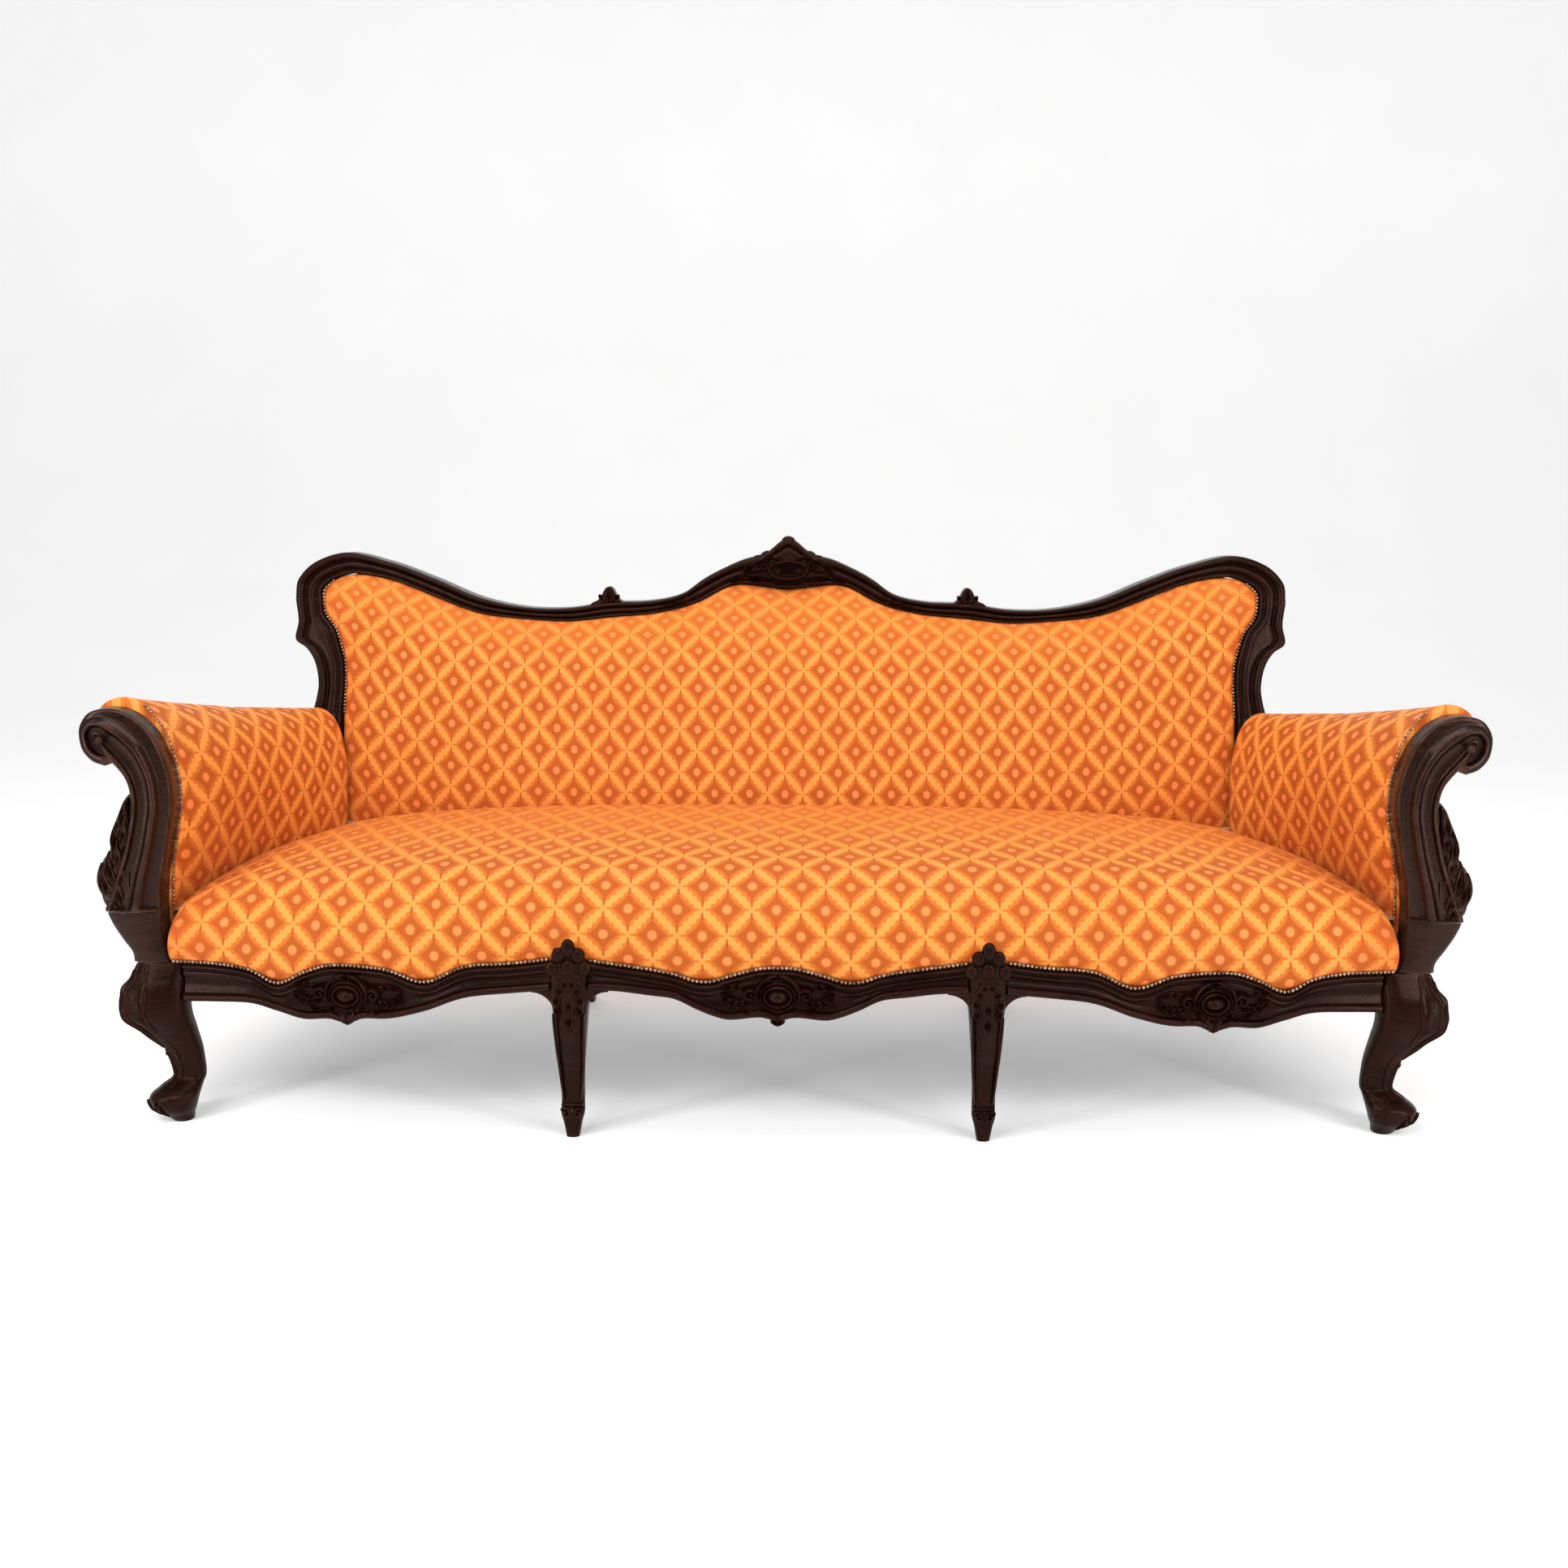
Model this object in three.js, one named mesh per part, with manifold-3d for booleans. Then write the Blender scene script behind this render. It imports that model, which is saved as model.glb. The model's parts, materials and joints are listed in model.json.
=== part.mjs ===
// A serpentine carved settee: a moulded hardwood show frame on scrolled legs, a coil-sprung seat,
// rolled scroll arms and tight covers over stuffed pads.
// Millimetres, +Z up, the front faces -Y, and the settee is alike on both sides of X = 0.
import {
  Box3, BufferGeometry, CatmullRomCurve3, ExtrudeGeometry, Float32BufferAttribute, Group, MathUtils,
  Matrix4, Mesh, MeshStandardMaterial, Shape, ShapeUtils, SphereGeometry, SplineCurve, Vector2, Vector3,
} from 'three';
import { mergeVertices } from 'three/addons/utils/BufferGeometryUtils.js';
import Module from 'manifold-3d';

// Overall sizes
const CREST_HEIGHT = 923;
const BACK_HALF = 955;
const SEAT_FRONT_HALF = 966;
const ARM_SPREAD = 122;
const BODY_DEPTH = 655;
const FRONT_BOW = 75;
const RAKE_ANGLE = MathUtils.degToRad(14);
const GAP = 0.3;
const JOINT = 3 * GAP;
const EDGE_GAP = 10 * GAP;

// Levels above the floor
const LEG_TOP = 258;
const FRAME_BOTTOM = 205;
const LINING_LEVEL = 229;
const APRON_LOW = 174;
const APRON_DEPTH = 110;
const SEAT_LEVEL = 400;
const SEAT_CROWN = 24;
const DECK_LEVEL = 334;
const ARM_FRONT_TOP = 676;
const ARM_REAR_TOP = 594;

// Thicknesses of wood
const RAIL_THICK = 40;
const BACK_THICK = 42;
const MOULD_PROUD = 12;
const POST_THICK = 44;
const FOOT_THICK = 34;
const BRACE_WIDE = 30;
const BRACE_DEEP = 18;
const BLOCK_SIDE = 80;

// Thicknesses of cloth and stuffing
const COVER_THICK = 3;
const HESSIAN_THICK = 1.6;
const WEB_THICK = 2.4;
const WEB_WIDTH = 50;
const BACK_CROWN = 30;
const FRONT_ROLL = 18;
const PANEL_THICK = 6;

// Legs
const MID_LEG_X = 320;
const MID_LEG_HALF = 30;
const REAR_LEG_KICK = 110;
const REAR_MID_LEG_X = 400;
const LEG_INSET = 26;
const CORNER_LEG_REACH = 116;

// Springs
const SPRING_RADIUS = 62;
const SPRING_WIRE = 2.2;
const SPRING_TURNS = 4;
const SPRINGS_IN_ROW = 5;
const TWINE_RADIUS = 2.4;

// Places worked out from the sizes above
const SCROLL_HALF = SEAT_FRONT_HALF + ARM_SPREAD;
const CORNER_LEG_INNER = SEAT_FRONT_HALF - LEG_INSET;
const FRONT_Y = -BODY_DEPTH * 0.64;
const BACK_Y = FRONT_Y + BODY_DEPTH;
const POST_FRONT_Y = FRONT_Y + FRONT_BOW;
const ARM_FRONT_Y = POST_FRONT_Y + POST_THICK + GAP;
const BACK_RISE = CREST_HEIGHT - ARM_REAR_TOP;
const RAKE_SLOPE = Math.tan(RAKE_ANGLE);
const MID_LEG_Y = frontFaceY(MID_LEG_X);

const wasm = await Module();
wasm.setup();

/** Y of the front rails' face, which bows forward in plan. */
function frontFaceY(x) {
  return FRONT_Y + FRONT_BOW * (x / SEAT_FRONT_HALF) ** 2;
}

/** Y of the raked plane on which the back frame's face lies. */
function backFaceY(z) {
  return BACK_Y + (z - SEAT_LEVEL) * RAKE_SLOPE;
}

function mix(a, b, share) {
  return a + (b - a) * share;
}

// Meshes

/** A closed body from points and faces, turned inside out where its faces point in. */
function bodyFrom(points, faces) {
  let volume = 0;
  for (const [a, b, c] of faces) {
    volume += points[a].dot(new Vector3().crossVectors(points[b], points[c]));
  }
  const ordered = volume < 0 ? faces.map(([a, b, c]) => [a, c, b]) : faces;
  const geometry = new BufferGeometry();
  geometry.setAttribute('position', new Float32BufferAttribute(points.flatMap((p) => p.toArray()), 3));
  geometry.setIndex(ordered.flat());
  return geometry;
}

/** The triangles that close a ring, found in the plane that faces it most squarely. */
function ringCap(ring) {
  const normal = new Vector3();
  ring.forEach((p, i) => normal.add(new Vector3().crossVectors(p, ring[(i + 1) % ring.length])));
  const turn = new Matrix4().lookAt(normal.normalize(), new Vector3(), Math.abs(normal.z) > 0.9
    ? new Vector3(1, 0, 0) : new Vector3(0, 0, 1)).transpose();
  const flat = ring.map((p) => p.clone().applyMatrix4(turn)).map((p) => new Vector2(p.x, p.y));
  return ShapeUtils.triangulateShape(flat, []);
}

/** A body whose skin runs through rings of the same number of points, closed at both ends. */
function loftBody(rings) {
  const count = rings[0].length;
  const faces = [];
  for (let i = 0; i + 1 < rings.length; i += 1) {
    for (let j = 0; j < count; j += 1) {
      const a = i * count + j;
      const b = i * count + ((j + 1) % count);
      faces.push([a, b, b + count], [a, b + count, a + count]);
    }
  }
  const last = (rings.length - 1) * count;
  const winding = (ring, forward) => {
    const cap = ringCap(ring);
    const [a, b, c] = cap[0];
    const up = new Vector3().crossVectors(ring[b].clone().sub(ring[a]), ring[c].clone().sub(ring[a]));
    const around = new Vector3();
    ring.forEach((p, i) => around.add(new Vector3().crossVectors(p, ring[(i + 1) % ring.length])));
    return (up.dot(around) > 0) === forward ? cap : cap.map(([p, q, r]) => [p, r, q]);
  };
  faces.push(...winding(rings[0], false));
  faces.push(...winding(rings.at(-1), true).map((face) => face.map((i) => i + last)));
  return bodyFrom(rings.flat(), faces);
}

/** A body between two grids of the same rows and columns. */
function slabBody(outer, inner) {
  const rows = outer.length;
  const columns = outer[0].length;
  const offset = rows * columns;
  const at = (row, column) => row * columns + column;
  const faces = [];
  for (let r = 0; r + 1 < rows; r += 1) {
    for (let c = 0; c + 1 < columns; c += 1) {
      const [p, q, s, t] = [at(r, c), at(r, c + 1), at(r + 1, c + 1), at(r + 1, c)];
      faces.push([p, q, s], [p, s, t]);
      faces.push([p + offset, s + offset, q + offset], [p + offset, t + offset, s + offset]);
    }
  }
  const wall = (p, q) => faces.push([q, p, p + offset], [q, p + offset, q + offset]);
  for (let c = 0; c + 1 < columns; c += 1) {
    wall(at(0, c), at(0, c + 1));
    wall(at(rows - 1, c + 1), at(rows - 1, c));
  }
  for (let r = 0; r + 1 < rows; r += 1) {
    wall(at(r + 1, 0), at(r, 0));
    wall(at(r, columns - 1), at(r + 1, columns - 1));
  }
  return bodyFrom([...outer.flat(), ...inner.flat()], faces);
}

/** A round bar along a list of points, with a plain end at each end. */
function rodBody(path, radius, sides) {
  let side = new Vector3(0, 1, 0);
  const rings = path.map((point, i) => {
    const before = path[Math.max(i - 1, 0)];
    const after = path[Math.min(i + 1, path.length - 1)];
    const along = after.clone().sub(before).normalize();
    side.addScaledVector(along, -side.dot(along));
    if (side.lengthSq() < 0.01) side = new Vector3(1, 0, 0).addScaledVector(along, -along.x);
    side = side.clone().normalize();
    const up = new Vector3().crossVectors(along, side);
    return Array.from({ length: sides }, (_, j) => {
      const turn = (2 * Math.PI * j) / sides;
      return point.clone().addScaledVector(side, radius * Math.cos(turn))
        .addScaledVector(up, radius * Math.sin(turn));
    });
  });
  return loftBody(rings);
}

/** A straight block between two corners. */
function blockBody(low, high) {
  const ring = (x) => [
    new Vector3(x, low.y, low.z), new Vector3(x, high.y, low.z),
    new Vector3(x, high.y, high.z), new Vector3(x, low.y, high.z),
  ];
  return loftBody([ring(low.x), ring(high.x)]);
}

/** A low oval dome, for carving in relief. */
function domeBody(centre, half, around, upward) {
  const dome = new SphereGeometry(1, around, upward);
  dome.scale(half.x, half.y, half.z);
  dome.translate(centre.x, centre.y, centre.z);
  return dome;
}

/** An outline in X and Z, drawn through points in turn and made as thick as asked towards +Y. */
function plateBody(outline, frontY, thick, bevel) {
  const shape = new Shape(outline);
  const plate = new ExtrudeGeometry(shape, {
    depth: thick - 2 * bevel,
    bevelEnabled: bevel > 0,
    bevelThickness: bevel,
    bevelSize: bevel,
    bevelOffset: -bevel,
    bevelSegments: 1,
  });
  plate.rotateX(Math.PI / 2);
  plate.translate(0, frontY + thick - bevel, 0);
  return plate;
}

function mirrored(geometry) {
  const copy = geometry.index ? geometry.toNonIndexed() : geometry.clone();
  copy.scale(-1, 1, 1);
  const position = copy.getAttribute('position');
  const order = Array.from({ length: position.count }, (_, i) => i - (i % 3) + [0, 2, 1][i % 3]);
  const points = order.map((i) => new Vector3().fromBufferAttribute(position, i));
  const flipped = new BufferGeometry();
  flipped.setAttribute('position', new Float32BufferAttribute(points.flatMap((p) => p.toArray()), 3));
  return mergeVertices(flipped);
}

// Cutting and joining

function solidOf(geometry) {
  const bare = geometry.clone();
  bare.deleteAttribute('normal');
  bare.deleteAttribute('uv');
  const merged = mergeVertices(bare);
  return new wasm.Manifold(new wasm.Mesh({
    numProp: 3,
    vertProperties: new Float32Array(merged.getAttribute('position').array),
    triVerts: new Uint32Array(merged.index.array),
  }));
}

function geometryOf(solid) {
  const { vertProperties, triVerts } = solid.getMesh();
  const geometry = new BufferGeometry();
  geometry.setAttribute('position', new Float32BufferAttribute(vertProperties, 3));
  geometry.setIndex(Array.from(triVerts));
  return geometry;
}

function joined(...geometries) {
  return geometryOf(geometries.map(solidOf).reduce((sum, solid) => sum.add(solid)));
}

function cut(geometry, ...tools) {
  return geometryOf(tools.map(solidOf).reduce((rest, tool) => rest.subtract(tool), solidOf(geometry)));
}

function common(geometry, other) {
  return geometryOf(solidOf(geometry).intersect(solidOf(other)));
}

/** Points along a smooth curve through stations whose three numbers run together. */
function smoothStations(stations, count) {
  const curve = new CatmullRomCurve3(stations.map((s) => new Vector3(...s)), false, 'centripetal');
  return curve.getPoints(count);
}

// The finishes

const FINISHES = {
  mahogany: { color: 0x2a100a, roughness: 0.32, metalness: 0 },
  beech: { color: 0xb48a5c, roughness: 0.7, metalness: 0 },
  lattice: { color: 0xee8a35, roughness: 0.62, metalness: 0 },
  lining: { color: 0x1b1a19, roughness: 0.9, metalness: 0 },
  webbing: { color: 0x9c7a4b, roughness: 0.9, metalness: 0 },
  stuffing: { color: 0xcdbb97, roughness: 0.95, metalness: 0 },
  steel: { color: 0x8d8f92, roughness: 0.4, metalness: 0.9 },
};

const settee = new Group();

function add(name, geometry, finish) {
  const mesh = new Mesh(geometry, new MeshStandardMaterial(FINISHES[finish]));
  mesh.name = name;
  settee.add(mesh);
}

/** The right-hand piece as given and its mirror image on the left. */
function addPair(name, geometry, finish) {
  add(`${name}_right`, geometry, finish);
  add(`${name}_left`, mirrored(geometry), finish);
}

// The back frame

const mouldingShares = [[0, 0.1], [0.16, 0.75], [0.42, 1], [0.6, 0.45], [0.84, 0.85], [1, 0]];

// Each station of an outline gives the outer edge, then the inner edge, as shares of the back's
// half width and of its rise above the arms.
const crestShares = [
  [0, 1, 0, 0.69], [0.018, 0.964, 0.032, 0.699], [0.049, 0.896, 0.063, 0.711], [0.09, 0.863, 0.095, 0.719],
  [0.127, 0.817, 0.124, 0.703], [0.157, 0.773, 0.153, 0.66], [0.175, 0.741, 0.175, 0.625],
];
const topRailShares = [
  [0.175, 0.741, 0.175, 0.625], [0.217, 0.66, 0.214, 0.584], [0.277, 0.622, 0.277, 0.548],
  [0.365, 0.611, 0.365, 0.526], [0.444, 0.578, 0.441, 0.502], [0.529, 0.581, 0.526, 0.514],
  [0.619, 0.632, 0.622, 0.544], [0.72, 0.748, 0.722, 0.648], [0.81, 0.84, 0.813, 0.743],
  [0.898, 0.894, 0.887, 0.769], [0.958, 0.845, 0.927, 0.729], [0.995, 0.742, 0.945, 0.678],
  [1, 0.626, 0.946, 0.617],
];
const stileShares = [
  [1, 0.623, 0.946, 0.614], [0.993, 0.495, 0.94, 0.532], [0.997, 0.389, 0.919, 0.45],
  [0.974, 0.337, 0.907, 0.353], [0.957, 0.261, 0.898, 0.255], [0.948, 0.14, 0.896, 0.14],
  [0.951, 0.055, 0.897, 0.043], [0.958, -0.03, 0.898, -0.043],
];
const TOP_RAIL_STEPS = 22;
const STILE_STEPS = 14;

function backPoint(xShare, zShare) {
  return new Vector2(xShare * BACK_HALF, ARM_REAR_TOP + zShare * BACK_RISE);
}

/** Smooth pairs of outer and inner points through the stations of an outline. */
function outlinePairs(stations, steps) {
  const outer = smoothStations(stations.map(([x, z]) => [x, z, 0]), steps);
  const inner = smoothStations(stations.map(([, , x, z]) => [x, z, 0]), steps);
  return outer.map((p, i) => [backPoint(p.x, p.y), backPoint(inner[i].x, inner[i].y)]);
}

/** A section across a moulded rail of the back, from its inner edge to its outer edge. */
function mouldedRing([outer, inner], grow = 0) {
  const across = outer.clone().sub(inner);
  const reach = 1 + grow / across.length();
  const place = (share) => inner.clone().addScaledVector(across, mix(1 - reach, reach, share));
  const front = mouldingShares.map(([share, proud]) => {
    const p = place(share);
    return new Vector3(p.x, backFaceY(p.y) - MOULD_PROUD * proud - grow, p.y);
  });
  const rear = [1, 0].map((share) => {
    const p = place(share);
    return new Vector3(p.x, backFaceY(p.y) + BACK_THICK + grow, p.y);
  });
  return [...front, ...rear];
}

/** Draws the first or last pair of a rail back by the joint's clearance. */
function withJoint(pairs, atStart) {
  const index = atStart ? 0 : pairs.length - 1;
  const next = pairs[atStart ? 1 : pairs.length - 2];
  return pairs.map((pair, i) => (i === index
    ? pair.map((p, j) => p.clone().addScaledVector(next[j].clone().sub(p).normalize(), GAP)) : pair));
}

function topRail(grow = 0) {
  const pairs = outlinePairs(topRailShares, TOP_RAIL_STEPS);
  return loftBody((grow ? pairs : withJoint(pairs, true)).map((pair) => mouldedRing(pair, grow)));
}

/** The pointed crest, with an oval boss between two leaves carved on its face. */
function crestRail(grow = 0) {
  const half = outlinePairs(crestShares, 8);
  const flip = (pair) => pair.map((p) => new Vector2(-p.x, p.y));
  const pairs = [...half.slice(1).reverse().map(flip), ...half];
  const rail = loftBody(pairs.map((pair) => mouldedRing(pair, grow)));
  if (grow) return rail;
  const bossHalf = new Vector3(0.05 * BACK_HALF, 1.5 * MOULD_PROUD, 0.07 * BACK_RISE);
  const bossZ = ARM_REAR_TOP + 0.82 * BACK_RISE;
  const boss = domeBody(new Vector3(0, backFaceY(bossZ) - MOULD_PROUD / 2, bossZ), bossHalf, 10, 6);
  const leaves = [-1, 1].map((side) => {
    const leaf = domeBody(new Vector3(), bossHalf.clone().multiplyScalar(0.9), 8, 6);
    leaf.rotateY(side * 0.45);
    const leafZ = bossZ - 0.03 * BACK_RISE;
    leaf.translate(side * 0.085 * BACK_HALF, backFaceY(leafZ) - MOULD_PROUD / 2, leafZ);
    return leaf;
  });
  return joined(rail, boss, ...leaves);
}

const FINIAL_X = 0.362 * BACK_HALF;
const FINIAL_HEIGHT = 0.1 * BACK_RISE;
const FINIAL_HALF = 0.024 * BACK_HALF;
const finialShares = [
  [-1, -0.4], [-0.9, 0.15], [-0.35, 0.5], [-0.1, 1], [0.1, 1], [0.35, 0.5], [0.9, 0.15], [1, -0.4],
];

/** A small carved leaf that stands on the low of the top rail. */
function finial() {
  const seatZ = ARM_REAR_TOP + 0.6 * BACK_RISE;
  const outline = finialShares.map(([x, z]) => (
    new Vector2(FINIAL_X + x * FINIAL_HALF, seatZ + z * FINIAL_HEIGHT)));
  const leaf = plateBody(outline, backFaceY(seatZ) - MOULD_PROUD, 0.75 * BACK_THICK, 0);
  return cut(leaf, topRail(GAP));
}

// Levels of a back post's shaft and of the leg below it, as shares of the height of the leg's top
const postLevelShares = [1.9, 1.45, 1, 0.8, 0.6, 0.4, 0.2, 0];

/** Y by which a back leg is swept to the rear below the seat frame. */
function legSweep(z) {
  return REAR_LEG_KICK * (1 - Math.min(z / LEG_TOP, 1)) ** 1.5;
}

/** A square section of a rear leg at one level. */
function rearLegRing(centreX, half, z) {
  const share = Math.min(z / LEG_TOP, 1);
  const frontY = backFaceY(Math.max(z, LEG_TOP)) + legSweep(z);
  const thick = mix(FOOT_THICK, BACK_THICK, share);
  const bevel = half / 5;
  return [
    [-half, frontY + bevel], [bevel - half, frontY], [-bevel, frontY], [bevel, frontY],
    [half - bevel, frontY], [half, frontY + bevel], [half, frontY + thick], [-half, frontY + thick],
  ].map(([x, y]) => new Vector3(centreX + x, y, z));
}

/** A stile and rear leg in one: moulded above the arm, square below and swept back to its foot. */
function backPost(grow = 0) {
  const pairs = outlinePairs(stileShares, STILE_STEPS);
  const stile = (grow ? pairs : withJoint(pairs, true)).map((pair) => mouldedRing(pair, grow));
  const foot = backPoint(0.928, 0).x;
  const shaft = postLevelShares.map((level) => {
    const half = mix(FOOT_THICK, BACK_HALF * 0.06, Math.min(level, 1)) / 2 + grow;
    return rearLegRing(foot, half, level * LEG_TOP);
  });
  return loftBody([...stile, ...shaft]);
}

function rearMidLeg() {
  const levels = postLevelShares.filter((share) => share <= 0.8);
  const top = (FRAME_BOTTOM - GAP) / LEG_TOP;
  return loftBody([top, ...levels.filter((share) => share < top)].map((level) => (
    rearLegRing(REAR_MID_LEG_X, mix(FOOT_THICK, BACK_THICK, level) / 2, level * LEG_TOP))));
}

// The front frame

// Stations of an apron give the place along the bay, then its top and its bottom edge, as shares.
const sideBayShares = [
  [0, 1, 0.582], [0.102, 0.927, 0.527], [0.212, 0.873, 0.455], [0.339, 0.618, 0.218], [0.441, 0.782, 0.091],
  [0.5, 0.809, 0.082], [0.546, 0.818, 0], [0.593, 0.809, 0.055], [0.661, 0.691, 0.036],
  [0.737, 0.518, 0.136], [0.822, 0.709, 0.236], [0.915, 0.764, 0.227], [1, 0.764, 0.209],
];
const middleBayShares = [
  [0, 0.927, 0.182], [0.086, 0.918, 0.245], [0.259, 0.8, 0.209], [0.345, 0.727, 0.264],
  [0.431, 0.727, 0.355],
  [0.552, 0.827, 0.5], [0.69, 0.891, 0.545], [0.845, 0.945, 0.591], [1, 1, 0.6],
];
const apronShares = [[0.04, 0], [0.12, 0.35], [0.35, 0.1], [0.55, 0.6], [0.78, 0.9], [0.94, 0.8], [1, 0.3]];
const SIDE_BAY_STEPS = 22;
const MIDDLE_BAY_STEPS = 11;
const sideBayFrom = MID_LEG_X + MID_LEG_HALF;
const middleBayTo = MID_LEG_X - MID_LEG_HALF;

/** Smooth stations of a bay: X, then the levels of the apron's top and bottom edge. */
function bayStations(shares, fromX, toX, steps) {
  return smoothStations(shares, steps).map((s) => ({
    x: mix(fromX, toX, s.x),
    top: APRON_LOW + s.y * APRON_DEPTH,
    bottom: APRON_LOW + s.z * APRON_DEPTH,
  }));
}

const sideBay = bayStations(sideBayShares, sideBayFrom, CORNER_LEG_INNER, SIDE_BAY_STEPS);
const middleBay = bayStations(middleBayShares, 0, middleBayTo, MIDDLE_BAY_STEPS);

/** Level of the front frame's top edge at any X, on which the seat's cover ends. */
function apronTop(x) {
  const reach = Math.abs(x);
  if (reach >= CORNER_LEG_INNER) return LEG_TOP + 2 * GAP;
  const bay = reach < middleBayTo ? middleBay : sideBay;
  const after = Math.max(bay.findIndex((s) => s.x >= reach), 1);
  const [a, b] = [bay[after - 1], bay[after]];
  return mix(a.top, b.top, MathUtils.clamp((reach - a.x) / (b.x - a.x), 0, 1));
}

/** A section of an apron at one station, grown at its top by a clearance if asked. */
function apronRing({ x, top, bottom }, grow = 0) {
  const face = frontFaceY(x);
  const rear = face + RAIL_THICK + grow;
  const front = apronShares.map(([down, proud]) => (
    new Vector3(x, face - MOULD_PROUD * 0.6 * proud - grow, mix(top + grow, bottom, down))));
  return [
    new Vector3(x, rear, top + grow), ...front, new Vector3(x, face + RAIL_THICK / 3, bottom),
    new Vector3(x, rear, Math.max(bottom, FRAME_BOTTOM)),
  ];
}

/** The carved cartouche on the middle of a bay: an oval boss with a scroll on either side. */
function cartouche(x, z, size) {
  const face = frontFaceY(x);
  const half = new Vector3(0.42 * size, MOULD_PROUD, 0.24 * size);
  const boss = domeBody(new Vector3(x, face, z), half, 10, 6);
  const scrolls = [-1, 1].map((side) => {
    const scrollX = x + side * 0.62 * size;
    return domeBody(new Vector3(scrollX, frontFaceY(scrollX), z), half.clone().multiplyScalar(0.75), 8, 6);
  });
  return [boss, ...scrolls];
}

function endDrawnIn(stations, index, towards) {
  return stations.map((s, i) => (i === index ? { ...s, x: s.x + towards * GAP } : s));
}

function sideApron() {
  const stations = endDrawnIn(endDrawnIn(sideBay, 0, 1), sideBay.length - 1, -1);
  const bossX = mix(sideBayFrom, CORNER_LEG_INNER, 0.546);
  const rail = loftBody(stations.map((s) => apronRing(s)));
  return joined(rail, ...cartouche(bossX, APRON_LOW + 0.42 * APRON_DEPTH, APRON_DEPTH));
}

function middleApron() {
  const half = endDrawnIn(middleBay, middleBay.length - 1, -1);
  const stations = [...half.slice(1).reverse().map((s) => ({ ...s, x: -s.x })), ...half];
  const rail = loftBody(stations.map((s) => apronRing(s)));
  return joined(rail, ...cartouche(0, APRON_LOW + 0.56 * APRON_DEPTH, APRON_DEPTH));
}

// Sections of a middle front leg: level and half width, then how far its front and its rear stand
// behind the rail's face, as shares of the leg's top level, its half width and the rail's thickness.
const midLegShares = [
  [1, 1, -0.3, 1], [0.83, 1, -0.38, 1], [0.7, 0.88, -0.35, 1], [0.5, 0.78, -0.05, 0.86],
  [0.3, 0.66, 0.25, 0.82], [0.18, 0.57, 0.28, 0.8], [0.11, 0.6, 0.05, 0.78], [0, 0.38, 0.12, 0.7],
];
const crownShares = [
  [-1, 0], [-0.95, 0.35], [-0.5, 0.62], [-0.14, 1], [0.14, 1], [0.5, 0.62], [0.95, 0.35], [1, 0],
];
const MID_LEG_TOP = APRON_LOW + APRON_DEPTH;
const LEG_CROWN_RISE = 38;

/** The outline of the carved shell at the head of a middle leg, grown by a clearance if asked. */
function legCrown(grow) {
  const base = MID_LEG_TOP - RAIL_THICK / 2;
  const rise = LEG_CROWN_RISE + RAIL_THICK / 2;
  const outline = crownShares.map(([x, z]) => (
    new Vector2(MID_LEG_X + x * (MID_LEG_HALF + grow), base + z * rise + grow)));
  return plateBody(outline, MID_LEG_Y - MOULD_PROUD - grow, MOULD_PROUD * 1.7 + 2 * grow, 0);
}

function middleLeg() {
  const rings = midLegShares.map(([level, half, front, rear]) => {
    const w = half * MID_LEG_HALF;
    const [y0, y1] = [MID_LEG_Y + front * RAIL_THICK, MID_LEG_Y + rear * RAIL_THICK];
    const c = w / 3;
    return [
      [-w, y0 + c], [-w + c, y0], [w - c, y0], [w, y0 + c],
      [w, y1 - c / 2], [w - c / 2, y1], [-w + c / 2, y1], [-w, y1 - c / 2],
    ].map(([x, y]) => new Vector3(MID_LEG_X + x, y, level * MID_LEG_TOP));
  });
  return joined(loftBody(rings), legCrown(0));
}

// Sections of a corner leg: its level as a share of its height, then its inner side, its outer side,
// its front and its rear, as shares of the leg's reach beyond its inner side at the rail.
const cornerLegShares = [
  [1, 0, 0.7, 0.02, -0.38], [0.91, 0, 0.77, 0.12, -0.38], [0.83, 0, 0.85, 0.2, -0.38],
  [0.7, -0.01, 0.82, 0.24, -0.36], [0.57, -0.06, 0.56, 0.14, -0.34], [0.42, -0.13, 0.33, 0.04, -0.3],
  [0.27, -0.15, 0.24, 0, -0.29], [0.2, -0.13, 0.35, 0.1, -0.27], [0.14, -0.1, 0.5, 0.28, -0.24],
  [0.06, -0.04, 0.45, 0.26, -0.2], [0, 0, 0.28, 0.13, -0.17],
];
const LEG_SIDES = 12;

/** A scroll-toed corner leg: its knee and its toe reach out to the front and to the side. */
function cornerLeg() {
  const rings = cornerLegShares.map(([level, inner, outer, front, rear]) => {
    const [x0, x1] = [inner, outer].map((share) => CORNER_LEG_INNER + share * CORNER_LEG_REACH);
    const [y0, y1] = [front, rear].map((share) => POST_FRONT_Y - share * CORNER_LEG_REACH);
    return Array.from({ length: LEG_SIDES }, (_, i) => {
      const turn = (2 * Math.PI * (i + 0.5)) / LEG_SIDES;
      const square = (v) => Math.sign(v) * Math.abs(v) ** 0.45;
      const x = mix(x0, x1, (1 + square(Math.cos(turn))) / 2);
      const y = mix(y0, y1, (1 + square(Math.sin(turn))) / 2);
      return new Vector3(x, y, level * LEG_TOP);
    });
  });
  return loftBody(rings.map((ring, i) => (i === 0 ? ring.map((p) => p.setZ(LEG_TOP - GAP)) : ring)));
}

// The arms

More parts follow.
